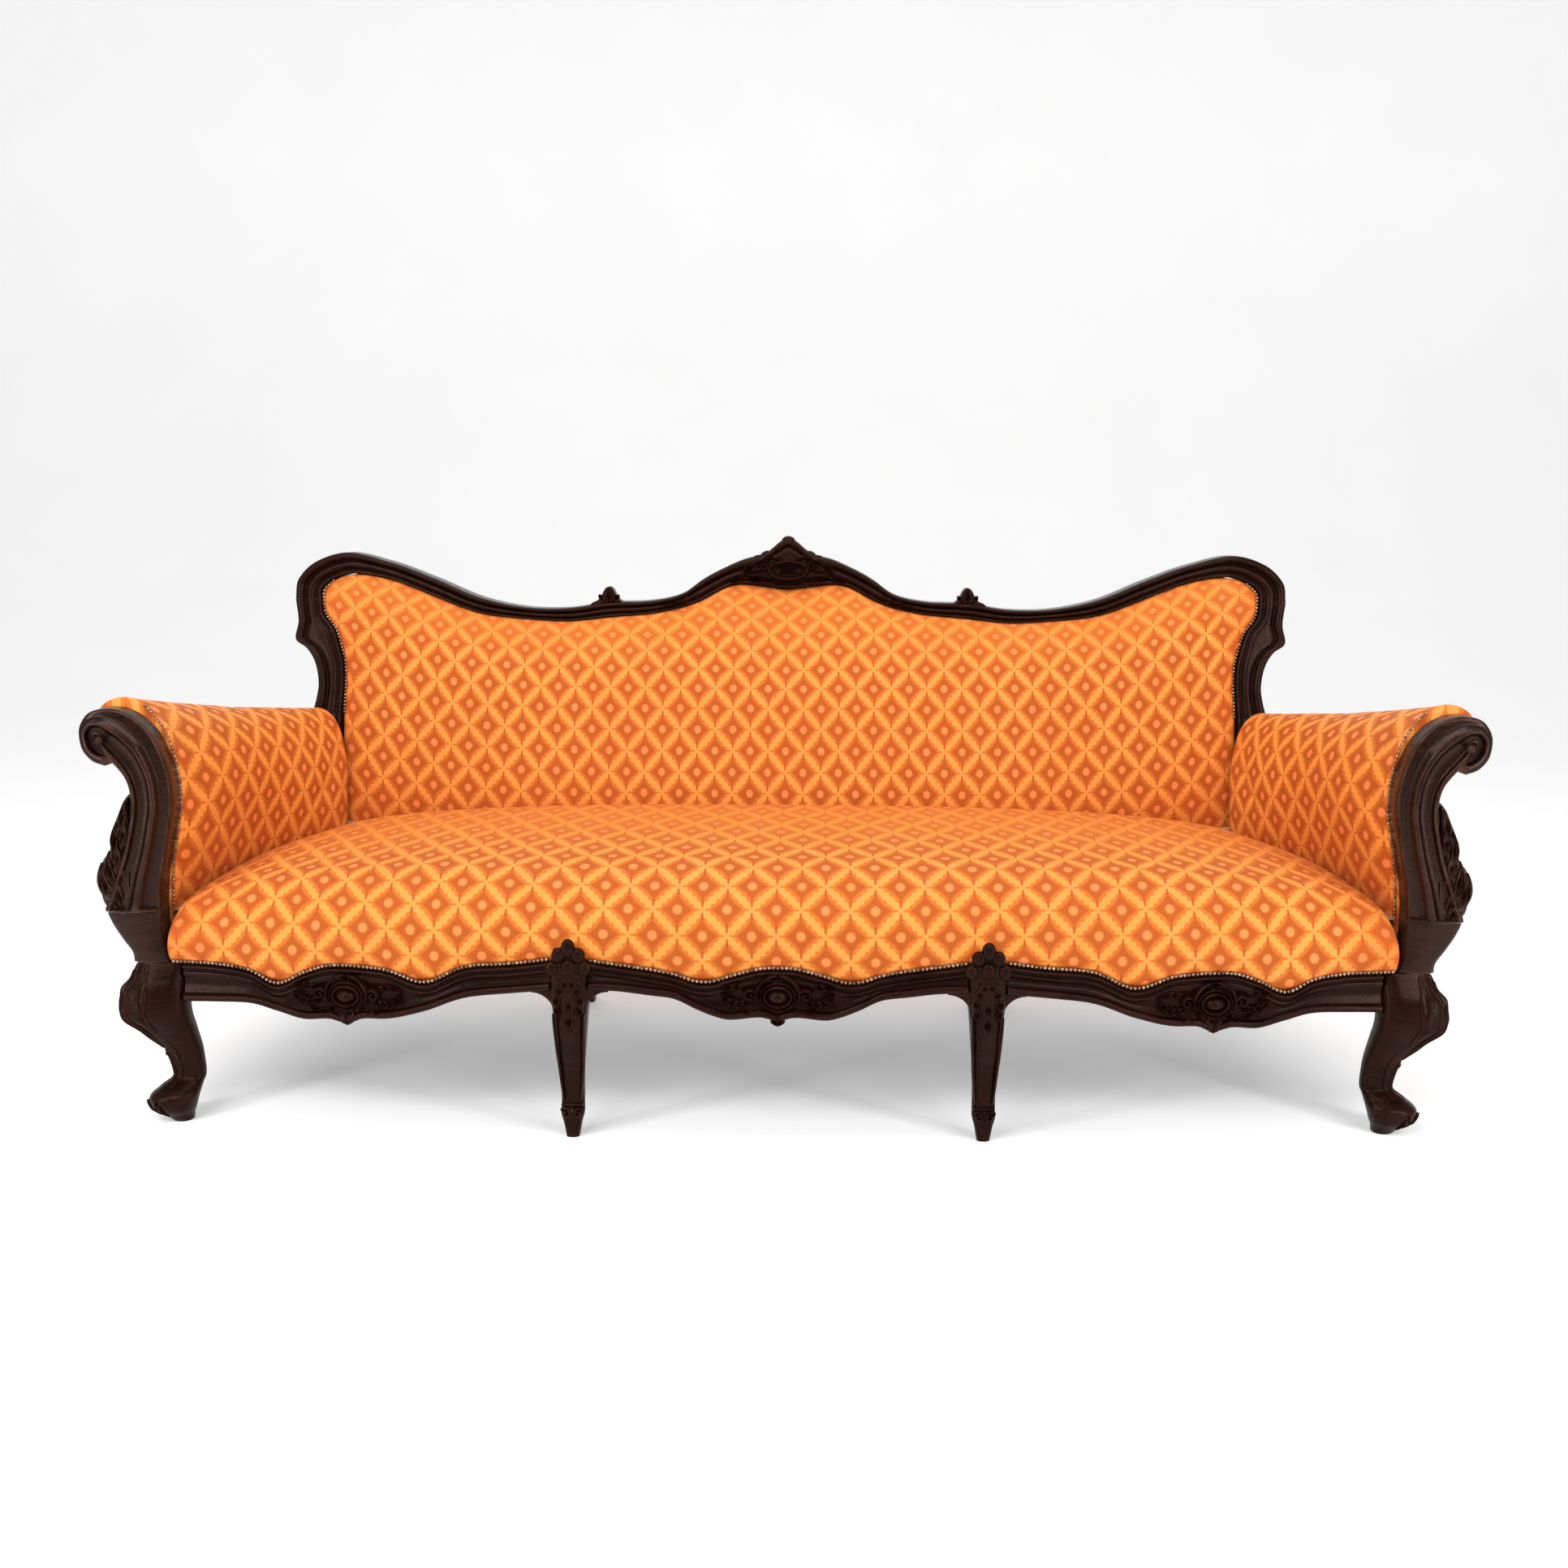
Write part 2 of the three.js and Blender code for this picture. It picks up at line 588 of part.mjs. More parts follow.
// The cover's line round an arm, from the seat over the roll: X beyond the seat's side, as a share of
// the arm's spread, and level above the legs, as a share of the arm's rise. First at the front.
const armFrontShares = [
  [0.1, 0.1], [0.09, 0.2], [0.03, 0.35], [-0.07, 0.48], [-0.14, 0.61], [-0.12, 0.71], [-0.04, 0.82],
  [0.12, 0.915], [0.36, 0.98], [0.63, 1], [0.87, 0.965], [0.975, 0.9], [0.92, 0.832], [0.74, 0.78],
  [0.56, 0.742],
];
const armRearShares = [
  [0, 0.125], [0, 0.245], [0, 0.42], [0, 0.54], [0.02, 0.66], [0.08, 0.765], [0.17, 0.862],
  [0.3, 0.937], [0.47, 0.985], [0.64, 1], [0.83, 0.982], [0.98, 0.937], [1, 0.887], [0.95, 0.848],
  [0.87, 0.827],
];
// The rear of a pad, from under the roll, round the rail in it and down to the seat.
const coreFrontShares = [
  [0.72, 0.81], [0.72, 0.9], [0.35, 0.9], [0.35, 0.79], [0.18, 0.7], [0.14, 0.61], [0.2, 0.48],
  [0.3, 0.35], [0.34, 0.2], [0.34, 0.1],
];
const coreRearShares = [
  [0.82, 0.84], [0.82, 0.906], [0.47, 0.906], [0.47, 0.862], [0.4, 0.78], [0.36, 0.66], [0.35, 0.54],
  [0.35, 0.42], [0.35, 0.245], [0.35, 0.125],
];
const armRailShares = [[0, 0], [1, 0], [1, 1], [0, 1]];
const planShares = [[0, 0], [0.3, 0.08], [0.58, 0.27], [0.8, 0.62], [1, 1]];
const armPlan = new SplineCurve(planShares.map(([along, inset]) => new Vector2(along, inset)));
const ARM_STEPS = 8;
const ARM_REAR_INNER = 0.874 * BACK_HALF;
const ARM_REAR_OUTER = 0.972 * BACK_HALF;
const ARM_REAR_SPREAD = ARM_REAR_OUTER - ARM_REAR_INNER;
const STILE_INNER = 0.897 * BACK_HALF;

/** X and Z of a point given at the front and at the rear of the arm, at a step along it. */
function armPoint(frontShare, rearShare, step) {
  const { x: along, y: inset } = armPlan.getPoint(step / ARM_STEPS);
  const front = new Vector2(
    SEAT_FRONT_HALF + frontShare[0] * ARM_SPREAD, LEG_TOP + frontShare[1] * (ARM_FRONT_TOP - LEG_TOP));
  const rear = new Vector2(
    ARM_REAR_INNER + rearShare[0] * ARM_REAR_SPREAD, LEG_TOP + rearShare[1] * (ARM_REAR_TOP - LEG_TOP));
  const z = mix(front.y, rear.y, along);
  const endY = backFaceY(z) - MOULD_PROUD - JOINT;
  return new Vector3(mix(front.x, rear.x, inset), mix(ARM_FRONT_Y, endY, along), z);
}

/** The points of one section drawn in from the cover's line by a depth. */
function drawnIn(section, depth) {
  return section.map((p, i) => {
    const before = section[Math.max(i - 1, 0)];
    const after = section[Math.min(i + 1, section.length - 1)];
    const along = new Vector2(after.x - before.x, after.z - before.z).normalize();
    return new Vector3(p.x + along.y * depth, p.y, p.z - along.x * depth);
  });
}

function armSections(frontShares, rearShares) {
  return Array.from({ length: ARM_STEPS + 1 }, (_, step) => (
    frontShares.map((share, i) => armPoint(share, rearShares[i], step))));
}

const armLines = armSections(armFrontShares, armRearShares);
const coreLines = armSections(coreFrontShares, coreRearShares);

function armCover() {
  return loftBody(armLines.map((line) => [...drawnIn(line, COVER_THICK), ...line.slice().reverse()]));
}

function armPad() {
  return loftBody(armLines.map((line, step) => {
    const skin = drawnIn(line, COVER_THICK + GAP).slice(0, -2);
    return [...skin, ...coreLines[step]];
  }));
}

/** The rail inside the roll, from the post to the stile. */
function armTopRail() {
  return loftBody(coreLines.map((line) => {
    const [outerLow, outerTop, innerTop, innerLow] = line;
    const drop = GAP * 2;
    const inward = Math.sign(innerTop.x - outerTop.x) * drop;
    const moved = (p, x, z) => new Vector3(p.x + x, p.y, p.z + z);
    return [
      moved(outerLow, inward, 0), moved(outerTop, inward, -drop),
      moved(innerTop, -inward, -drop), moved(innerLow, -inward, 0),
    ];
  }));
}

/** Webbing stretched behind the pad, from the rail in the roll down to the tack rail. */
function armWebbing() {
  return loftBody(coreLines.map((line) => {
    const face = drawnIn(line.slice(3), -GAP);
    return [...face, ...drawnIn(face, -WEB_THICK).reverse()];
  }));
}

/** A section of a rail that follows the arm in plan, between two places across and two levels. */
function armRailRing(step, across, levels) {
  const [x0, x1] = across.map(([front, rear]) => armPoint([front, 0], [rear, 0], step).x);
  const [z0, z1] = levels;
  return armRailShares.map(([i, j]) => {
    const z = mix(z0, z1, j);
    const y = mix(ARM_FRONT_Y, backFaceY(Math.max(z, LEG_TOP)) - GAP, armPlan.getPoint(step / ARM_STEPS).x);
    return new Vector3(mix(x0, x1, i), y, z);
  });
}

/** The rail that the arm's stuffing stands on, tacked along the top of the seat's side rail. */
function armTackRail() {
  const low = LEG_TOP + GAP;
  const top = LEG_TOP + 0.1 * (ARM_FRONT_TOP - LEG_TOP) - GAP;
  const across = [[0.14, 0.04], [0.34, 0.4]];
  return loftBody(armLines.map((_, step) => armRailRing(step, across, [low, top])));
}

const sideRailShares = [[0.05, 0.02], [0.42, 0.8]];

/** Sections of the side rail, from the front post to the back post. */
function sideRailRings() {
  return armLines.map((_, step) => armRailRing(step, sideRailShares, [FRAME_BOTTOM, LEG_TOP]));
}

/** The covered panel that closes the outside of an arm, from under the roll to the side rail. */
function outsideArm() {
  return loftBody(armLines.map((line, step) => {
    const head = armPoint([0.5, 0.735], [0.82, 0.815], step);
    const foot = armPoint([0.4, 0], [0.76, 0], step);
    const low = LEG_TOP + GAP;
    return [
      new Vector3(foot.x, foot.y, low), new Vector3(foot.x + PANEL_THICK, foot.y, low),
      new Vector3(head.x, head.y, head.z), new Vector3(head.x - PANEL_THICK, head.y, head.z),
    ];
  }));
}

// The carved post that faces an arm: X and level as the arm's front line gives them, going down the
// inner edge and back up the outer edge with its leaf, and round the scroll.
const postShares = [
  [0.26, 0.925], [0.07, 0.865], [-0.045, 0.79], [-0.12, 0.71], [-0.14, 0.61], [-0.07, 0.49], [0.03, 0.36],
  [0.085, 0.2], [0.04, 0.1], [0, 0], [0.48, 0], [0.49, 0.035], [0.67, 0.12], [0.78, 0.2],
  [0.84, 0.29], [0.81, 0.38],
  [0.65, 0.455], [0.6, 0.54], [0.48, 0.6], [0.4, 0.66], [0.44, 0.72], [0.66, 0.745], [0.87, 0.77],
  [0.985, 0.82], [1, 0.88], [0.9, 0.938], [0.7, 0.962], [0.48, 0.958],
];
const ridgeShares = [
  [0.76, 0.87], [0.62, 0.905], [0.43, 0.9], [0.24, 0.855], [0.1, 0.78], [0.06, 0.66],
  [0.12, 0.56], [0.24, 0.46],
  [0.36, 0.36], [0.44, 0.27], [0.4, 0.18], [0.3, 0.1],
];
const POST_STEPS = 42;
const POST_BEVEL = 5;
const RIDGE_RADIUS = 9;
const RIDGE_STEPS = 16;

function postPoint([x, z]) {
  return new Vector2(SEAT_FRONT_HALF + x * ARM_SPREAD, LEG_TOP + z * (ARM_FRONT_TOP - LEG_TOP));
}

function armPost() {
  const edge = new SplineCurve(postShares.map(postPoint));
  const foot = [9, 10].map((i) => postPoint(postShares[i]));
  const board = plateBody(edge.getPoints(POST_STEPS), POST_FRONT_Y, POST_THICK, POST_BEVEL);
  const below = blockBody(
    new Vector3(SEAT_FRONT_HALF - ARM_SPREAD, POST_FRONT_Y - POST_THICK, 0),
    new Vector3(SCROLL_HALF + POST_THICK, ARM_FRONT_Y + POST_THICK, foot[0].y));
  const ridge = new SplineCurve(ridgeShares.map(postPoint)).getPoints(RIDGE_STEPS)
    .map((p) => new Vector3(p.x, POST_FRONT_Y + RIDGE_RADIUS / 4, p.y));
  return cut(joined(board, rodBody(ridge, RIDGE_RADIUS, 6)), below);
}

// The back's upholstery

const backSide = new SplineCurve([
  ...[-0.63, -0.3].map((z) => new Vector2(STILE_INNER / BACK_HALF, z)),
  ...stileShares.map(([, , x, z]) => new Vector2(x, z)).reverse().slice(1),
  ...topRailShares.slice(10, 12).map(([, , x, z]) => new Vector2(x, z)).reverse(),
]);
const backTop = new SplineCurve([
  ...crestShares.map(([, , x, z]) => new Vector2(x, z)),
  ...topRailShares.slice(1, 11).map(([, , x, z]) => new Vector2(x, z)),
]);
const BACK_COLUMNS = 12;
const BACK_ROWS = 7;
const BACK_BASE = DECK_LEVEL + 46;

/** X and Z inside the back's opening: across from 0 in the middle to 1 at the stile, and up. */
function openingPoint(across, up) {
  const top = backTop.getPoint(across);
  const side = backSide.getPoint(up);
  const corner = backTop.getPoint(1);
  const low = backSide.getPoint(0);
  const x = mix(mix(0, low.x, across), top.x, up) + across * (side.x - mix(low.x, corner.x, up));
  const z = mix(low.y, top.y, up) + across * (side.y - mix(low.y, corner.y, up));
  return backPoint(x, z);
}

/** How far the back's stuffing swells in front of the frame's face. */
function backSwell(across, up) {
  const edge = Math.min((1 - across ** 6) * 1.2, 1);
  const rise = Math.min(1.35 * Math.sqrt(Math.max(1 - up, 0)), 1) * mix(1, 0.75, up);
  return BACK_CROWN * edge * rise;
}

/** A grid of points over the back's opening, set off towards the rear by a depth. */
function backGrid(depthAt, margin) {
  return Array.from({ length: BACK_ROWS + 1 }, (_, r) => (
    Array.from({ length: 2 * BACK_COLUMNS + 1 }, (_, c) => {
      const side = (c - BACK_COLUMNS) / BACK_COLUMNS;
      const across = Math.abs(side);
      const up = r / BACK_ROWS;
      const p = openingPoint(across, up);
      const x = p.x - margin * across ** 8;
      const z = Math.max(p.y, BACK_BASE) - (r === BACK_ROWS ? margin : 0);
      return new Vector3(Math.sign(side) * x, backFaceY(z) + depthAt(across, up), z);
    })));
}

function backLayer(from, to, margin) {
  return slabBody(backGrid(from, margin), backGrid(to, margin));
}

const backCoverFace = (across, up) => -backSwell(across, up) - GAP;
const PAD_REAR = 12;
const HESSIAN_REAR = PAD_REAR + GAP + HESSIAN_THICK;
const BACK_WEB_REAR = HESSIAN_REAR + GAP + WEB_THICK;
const UPRIGHT_REAR = BACK_THICK - PANEL_THICK - GAP;
const grownRail = topRail(GAP);
const grownPost = backPost(GAP);
const frameRound = [grownRail, mirrored(grownRail), grownPost, mirrored(grownPost), crestRail(GAP)];

/** Cuts a layer of the back clear of the frame round it. */
function fittedToFrame(layer) {
  return cut(layer, ...frameRound);
}

function backCover() {
  const rear = (across, up) => backCoverFace(across, up) + COVER_THICK;
  return fittedToFrame(backLayer(backCoverFace, rear, JOINT));
}

function backPad() {
  const front = (across, up) => backCoverFace(across, up) + COVER_THICK + GAP;
  return fittedToFrame(backLayer(front, () => PAD_REAR, JOINT));
}

/** A flat sheet that fills the back's opening from a level up, between two depths behind the face. */
function backSheet(front, rear, base = BACK_BASE) {
  const grid = backGrid(() => 0, JOINT);
  grid[0].forEach((p) => p.set(p.x, backFaceY(base), base));
  const border = [
    ...grid[0].filter((_, c) => c % (2 * BACK_COLUMNS) === 0), ...grid.slice(1, -1).map((row) => row.at(-1)),
    ...grid.at(-1).slice().reverse(), ...grid.slice(1, -1).map((row) => row[0]).reverse(),
  ];
  const rings = [front, rear].map((depth) => border.map((p) => p.clone().setY(p.y + depth)));
  return fittedToFrame(loftBody(rings));
}

/** Straps of webbing up and across the back, cut to the opening. */
function backWebbing() {
  const sheet = backSheet(HESSIAN_REAR + GAP, BACK_WEB_REAR);
  const [farY, deep] = [BACK_Y - BODY_DEPTH, 2 * BODY_DEPTH];
  const uprights = Array.from({ length: 7 }, (_, i) => {
    const x = (i - 3) * 0.27 * BACK_HALF;
    return blockBody(
      new Vector3(x - WEB_WIDTH / 2, farY, 0),
      new Vector3(x + WEB_WIDTH / 2, farY + deep, CREST_HEIGHT));
  });
  const level = mix(BACK_BASE, ARM_REAR_TOP + 0.5 * BACK_RISE, 0.5);
  const across = [-1, 1].map((side) => {
    const z = level + side * 1.4 * WEB_WIDTH;
    return blockBody(
      new Vector3(-BACK_HALF, farY, z - WEB_WIDTH / 2),
      new Vector3(BACK_HALF, farY + deep, z + WEB_WIDTH / 2));
  });
  return common(sheet, joined(...uprights, ...across));
}

/** An inner upright of the back, from its bottom rail to the top rail. */
function backUpright() {
  const x = 0.32 * BACK_HALF;
  const sheet = backSheet(BACK_WEB_REAR + GAP, UPRIGHT_REAR);
  const strip = blockBody(
    new Vector3(x - RAIL_THICK / 2, 0, 0),
    new Vector3(x + RAIL_THICK / 2, BODY_DEPTH, CREST_HEIGHT));
  return common(sheet, strip);
}

function backBottomRail() {
  const half = STILE_INNER - JOINT;
  const [low, high] = [BACK_BASE - RAIL_THICK - GAP, BACK_BASE - GAP];
  const ring = (x) => [[low, 0], [low, UPRIGHT_REAR], [high, UPRIGHT_REAR], [high, 0]].map(([z, depth]) => (
    new Vector3(x, backFaceY(z) + depth, z)));
  return loftBody([ring(-half), ring(half)]);
}

// The seat

const SEAT_COLUMNS = 11;
const frontRollShares = [[0, 0], [0.6, 0.15], [1, 0.36], [0.67, 0.58], [-0.45, 0.78], [-2, 0.92]];
const SEAT_TOP_ROWS = 6;

/** X of the seat's side at a depth, clear of the arm's cover. */
function seatSide(y) {
  if (y <= ARM_FRONT_Y) return SEAT_FRONT_HALF - JOINT;
  const steps = armLines.map((_, step) => armPoint([0, 0.26], [-0.05, 0.34], step));
  const after = steps.findIndex((p) => p.y >= y);
  if (after < 1) return steps.at(after === 0 ? 0 : -1).x - EDGE_GAP;
  const [a, b] = [steps[after - 1], steps[after]];
  return mix(a.x, b.x, (y - a.y) / (b.y - a.y)) - EDGE_GAP;
}

/** Y of the seat's rear edge, where it meets the back's swell. */
function seatRearY(x) {
  const across = Math.min(Math.abs(x) / STILE_INNER, 1);
  return backFaceY(BACK_BASE) + backCoverFace(across, 0) - GAP;
}

/** Level of the seat's top, crowned in the middle and falling to the arms. */
function seatTop(side, back) {
  const edge = mix(DECK_LEVEL + 15, DECK_LEVEL + 46, back);
  const middle = SEAT_LEVEL + SEAT_CROWN * Math.sin(Math.PI * Math.min(0.25 + 0.35 * back, 0.5));
  return mix(edge, middle, (1 - Math.abs(side) ** 3) ** 0.8);
}

/** A line over the seat from front to rear at a share of its half width, drawn in by a depth. */
function seatLine(side, depth) {
  const frontX = side * (seatSide(POST_FRONT_Y) - depth);
  const foot = apronTop(frontX) - GAP;
  const frontTop = seatTop(side, 0) - depth;
  const face = frontFaceY(frontX);
  const roll = frontRollShares.map(([bulge, up], i) => {
    const tuck = i === 0 ? MOULD_PROUD / 4 : 0;
    return new Vector3(frontX, face + depth + tuck - FRONT_ROLL * bulge, mix(foot, frontTop, up));
  });
  const top = Array.from({ length: SEAT_TOP_ROWS + 1 }, (_, r) => {
    const back = r / SEAT_TOP_ROWS;
    const y = mix(face + 4 * FRONT_ROLL, seatRearY(frontX), back);
    const x = side * (seatSide(Math.min(y, backFaceY(DECK_LEVEL))) - depth);
    const rear = back === 1 ? depth : 0;
    return new Vector3(x, Math.min(y, seatRearY(x)) - rear, seatTop(side, back) - depth);
  });
  return [...roll, ...top];
}

/** The underside of the seat's stuffing: on the front rails, then level over the springs. */
function seatUnderLine(side, depth) {
  const top = seatLine(side, depth);
  const frontX = top[0].x;
  const face = frontFaceY(frontX);
  const foot = apronTop(frontX) - GAP;
  const rearY = Math.min(top.at(-1).y, backFaceY(DECK_LEVEL) - JOINT);
  const ledge = [0.35, 0.6, 0.95].map((share) => new Vector3(frontX, face + share * RAIL_THICK, foot));
  const rest = top.slice(ledge.length).map((p, i, all) => {
    const share = i / (all.length - 1);
    const y = mix(face + RAIL_THICK, rearY, share);
    return new Vector3(mix(frontX, top.at(-1).x, share), y, DECK_LEVEL);
  });
  return [...ledge, ...rest.map((p) => {
    const limit = seatSide(p.y) - depth;
    return p.setX(MathUtils.clamp(p.x, -limit, limit));
  })];
}

function seatGrid(lineAt) {
  return Array.from({ length: 2 * SEAT_COLUMNS + 1 }, (_, c) => {
    const side = (c - SEAT_COLUMNS) / SEAT_COLUMNS;
    return lineAt(Math.sign(side) * Math.abs(side) ** 0.92);
  });
}

/** What the seat's cloth and stuffing are cut clear of: the aprons and the heads of the legs. */
function frontCutters() {
  const overlap = MID_LEG_HALF / 2;
  const beyond = (s, distance) => ({ ...s, x: s.x + distance });
  const stretched = [beyond(sideBay[0], -overlap), ...sideBay, beyond(sideBay.at(-1), 2 * POST_THICK)];
  const middle = [...middleBay, beyond(middleBay.at(-1), overlap)];
  const across = [...middle.slice(1).reverse().map((s) => ({ ...s, x: -s.x })), ...middle];
  const side = loftBody(stretched.map((s) => apronRing(s, GAP)));
  const crown = legCrown(GAP);
  const leg = blockBody(
    new Vector3(middleBayTo - GAP, MID_LEG_Y - MOULD_PROUD, 0),
    new Vector3(sideBayFrom + GAP, MID_LEG_Y + RAIL_THICK + GAP, MID_LEG_TOP + GAP));
  const centre = loftBody(across.map((s) => apronRing(s, GAP)));
  return [side, mirrored(side), centre, crown, mirrored(crown), leg, mirrored(leg)];
}

function seatCover() {
  const outer = seatGrid((side) => seatLine(side, 0));
  const inner = seatGrid((side) => seatLine(side, COVER_THICK));
  return cut(slabBody(outer, inner), ...frontCutters());
}

function seatPad() {
  const depth = COVER_THICK + GAP;
  const top = seatGrid((side) => seatLine(side, depth));
  const under = seatGrid((side) => seatUnderLine(side, depth));
  return cut(slabBody(top, under), ...frontCutters());
}

/** The inside of the seat frame in plan, drawn in by a margin. */
function framePlan(margin) {
  const rearY = backFaceY(LEG_TOP) - margin;
  const across = Array.from({ length: 17 }, (_, i) => {
    const x = mix(1, -1, i / 16) * (CORNER_LEG_INNER - margin);
    return new Vector2(x, frontFaceY(x) + RAIL_THICK + EDGE_GAP);
  });
  const side = (sign) => {
    const along = sideRailRings().slice(0, ARM_STEPS).filter(([corner]) => corner.y < rearY);
    const points = along.map(([corner]) => new Vector2(sign * (corner.x - margin), corner.y));
    points[0].setY(ARM_FRONT_Y + margin);
    return points;
  };
  const rearHalf = ARM_REAR_INNER - margin;
  const legCorner = (sign) => new Vector2(sign * (CORNER_LEG_INNER - margin), ARM_FRONT_Y + margin);
  return [
    legCorner(-1), ...side(-1), new Vector2(-rearHalf, rearY), new Vector2(rearHalf, rearY),
    ...side(1).reverse(), legCorner(1), ...across,
  ];
}

/** A level sheet that fills the inside of the seat frame. */
function frameSheet(low, thick, margin) {
  const sheet = new ExtrudeGeometry(new Shape(framePlan(margin)), { depth: thick, bevelEnabled: false });
  sheet.translate(0, 0, low);
  return sheet;
}

const BRACE_LEVEL = LINING_LEVEL + HESSIAN_THICK + GAP;
const WEB_LEVEL = BRACE_LEVEL + BRACE_DEEP + GAP;

function seatWebbing() {
  const strip = (low, high) => blockBody(new Vector3(...low, 0), new Vector3(...high, LEG_TOP));
  const lengthwise = Array.from({ length: 2 }, (_, i) => {
    const y = mix(POST_FRONT_Y + POST_THICK, backFaceY(LEG_TOP), 0.3 + 0.38 * i);
    return strip([-SEAT_FRONT_HALF, y - WEB_WIDTH / 2], [SEAT_FRONT_HALF, y + WEB_WIDTH / 2]);
  });
  const crosswise = Array.from({ length: 7 }, (_, i) => {
    const x = (i - 3) * 0.26 * SEAT_FRONT_HALF;
    return strip([x - WEB_WIDTH / 2, FRONT_Y - BODY_DEPTH], [x + WEB_WIDTH / 2, BODY_DEPTH]);
  });
  return common(frameSheet(WEB_LEVEL, WEB_THICK, JOINT), joined(...lengthwise, ...crosswise));
}

/** A coil spring that narrows at its waist, on the webbing and up to the hessian. */
function coilPath(x, y, low, high) {
  const steps = SPRING_TURNS * 6;
  return Array.from({ length: steps + 1 }, (_, i) => {
    const share = i / steps;
    const radius = SPRING_RADIUS * (0.66 + 0.34 * Math.abs(2 * share - 1) ** 1.5);
    const turn = 2 * Math.PI * SPRING_TURNS * share;
    return new Vector3(x + radius * Math.cos(turn), y + radius * Math.sin(turn), mix(low, high, share));
  });
}

/** One row of springs, tied together by the twine laid along their tops and tacked to the side rails. */
function springRow(depthShare) {
  const y = mix(POST_FRONT_Y + POST_THICK, backFaceY(LEG_TOP), depthShare);
  const low = WEB_LEVEL + WEB_THICK + GAP + SPRING_WIRE;
  const high = DECK_LEVEL - 2 * GAP - HESSIAN_THICK - SPRING_WIRE - TWINE_RADIUS;
  const pitch = (2 * ARM_REAR_INNER) / (SPRINGS_IN_ROW + 0.6);
  const places = Array.from({ length: SPRINGS_IN_ROW }, (_, i) => (i - (SPRINGS_IN_ROW - 1) / 2) * pitch);
  const coils = places.map((x) => rodBody(coilPath(x, y, low, high), SPRING_WIRE, 3));
  const railX = railInnerX(y) - JOINT - TWINE_RADIUS;
  const lastX = places.at(-1) + SPRING_RADIUS;
  const twine = [-1, 1].flatMap((side) => {
    const knot = new Vector3(side * railX, y, LEG_TOP - TWINE_RADIUS);
    const stretch = [knot, new Vector3(side * lastX, y, high)];
    return side < 0 ? stretch : stretch.reverse();
  });
  return joined(rodBody(twine, TWINE_RADIUS, 6), ...coils);
}

/** X of a side rail's inner face at a depth. */
function railInnerX(y) {
  const corners = sideRailRings().map((ring) => ring[3]);
  const after = Math.max(corners.findIndex((p) => p.y >= y), 1);
  const [a, b] = [corners[after - 1], corners[after]];
  return mix(a.x, b.x, (y - a.y) / (b.y - a.y));
}

function rearRail() {
  const half = STILE_INNER - JOINT;
  const y = backFaceY(LEG_TOP) + GAP;
  return blockBody(new Vector3(-half, y, FRAME_BOTTOM), new Vector3(half, y + RAIL_THICK, LEG_TOP));
}

/** A stretcher under the webbing, from the front rail's leg to the rear rail. */
function seatBrace() {
  return blockBody(
    new Vector3(MID_LEG_X - BRACE_WIDE / 2, MID_LEG_Y + RAIL_THICK + GAP, BRACE_LEVEL),
    new Vector3(MID_LEG_X + BRACE_WIDE / 2, backFaceY(LEG_TOP), BRACE_LEVEL + BRACE_DEEP));
}

/** A glue block across an inside corner of the seat frame, between the lining and the webbing. */
function cornerBlock(cornerX, cornerY, inward) {
  const outline = [
    new Vector2(cornerX, cornerY), new Vector2(cornerX, cornerY + inward * BLOCK_SIDE),
    new Vector2(cornerX - BLOCK_SIDE, cornerY),
  ];
  const block = new ExtrudeGeometry(new Shape(outline), { depth: BRACE_DEEP, bevelEnabled: false });
  block.translate(0, 0, BRACE_LEVEL);
  return block;
}

/** The glue block behind a corner leg of the front. */
function frontBlock() {
  return cornerBlock(CORNER_LEG_INNER - JOINT, ARM_FRONT_Y + JOINT, 1);
}

/** The glue block where the rear rail meets a back post. */
function rearBlock() {
  const cornerY = backFaceY(LEG_TOP) - JOINT;
  const railX = Math.min(railInnerX(cornerY), railInnerX(cornerY - BLOCK_SIDE));
  return cornerBlock(railX - JOINT, cornerY, -1);
}

// Assembly

add('crest_rail_center', crestRail(), 'mahogany');
addPair('top_rail', topRail(), 'mahogany');
addPair('rail_finial', finial(), 'mahogany');
addPair('back_post', backPost(), 'mahogany');
addPair('rear_leg_mid', rearMidLeg(), 'mahogany');
add('front_rail_center', middleApron(), 'mahogany');
addPair('front_rail', sideApron(), 'mahogany');
addPair('front_leg_mid', middleLeg(), 'mahogany');
addPair('front_leg', cornerLeg(), 'mahogany');
addPair('arm_post', armPost(), 'mahogany');
addPair('side_rail', loftBody(sideRailRings()), 'mahogany');
add('rear_rail', rearRail(), 'mahogany');
add('back_bottom_rail', backBottomRail(), 'beech');
addPair('back_upright', backUpright(), 'beech');
addPair('seat_brace', seatBrace(), 'beech');
addPair('corner_block_front', frontBlock(), 'beech');
addPair('corner_block_rear', rearBlock(), 'beech');
addPair('arm_top_rail', armTopRail(), 'beech');
addPair('arm_tack_rail', armTackRail(), 'beech');
add('seat_webbing', seatWebbing(), 'webbing');
add('spring_row_front', springRow(0.3), 'steel');
add('spring_row_rear', springRow(0.68), 'steel');
add('seat_hessian', frameSheet(DECK_LEVEL - GAP - HESSIAN_THICK, HESSIAN_THICK, JOINT), 'webbing');
add('seat_pad', seatPad(), 'stuffing');
add('seat_cover', seatCover(), 'lattice');
add('dust_cover', frameSheet(LINING_LEVEL, HESSIAN_THICK, JOINT), 'lining');
add('back_webbing', backWebbing(), 'webbing');
add('back_hessian', backSheet(PAD_REAR + GAP, HESSIAN_REAR), 'webbing');
add('back_pad', backPad(), 'stuffing');
add('back_cover', backCover(), 'lattice');
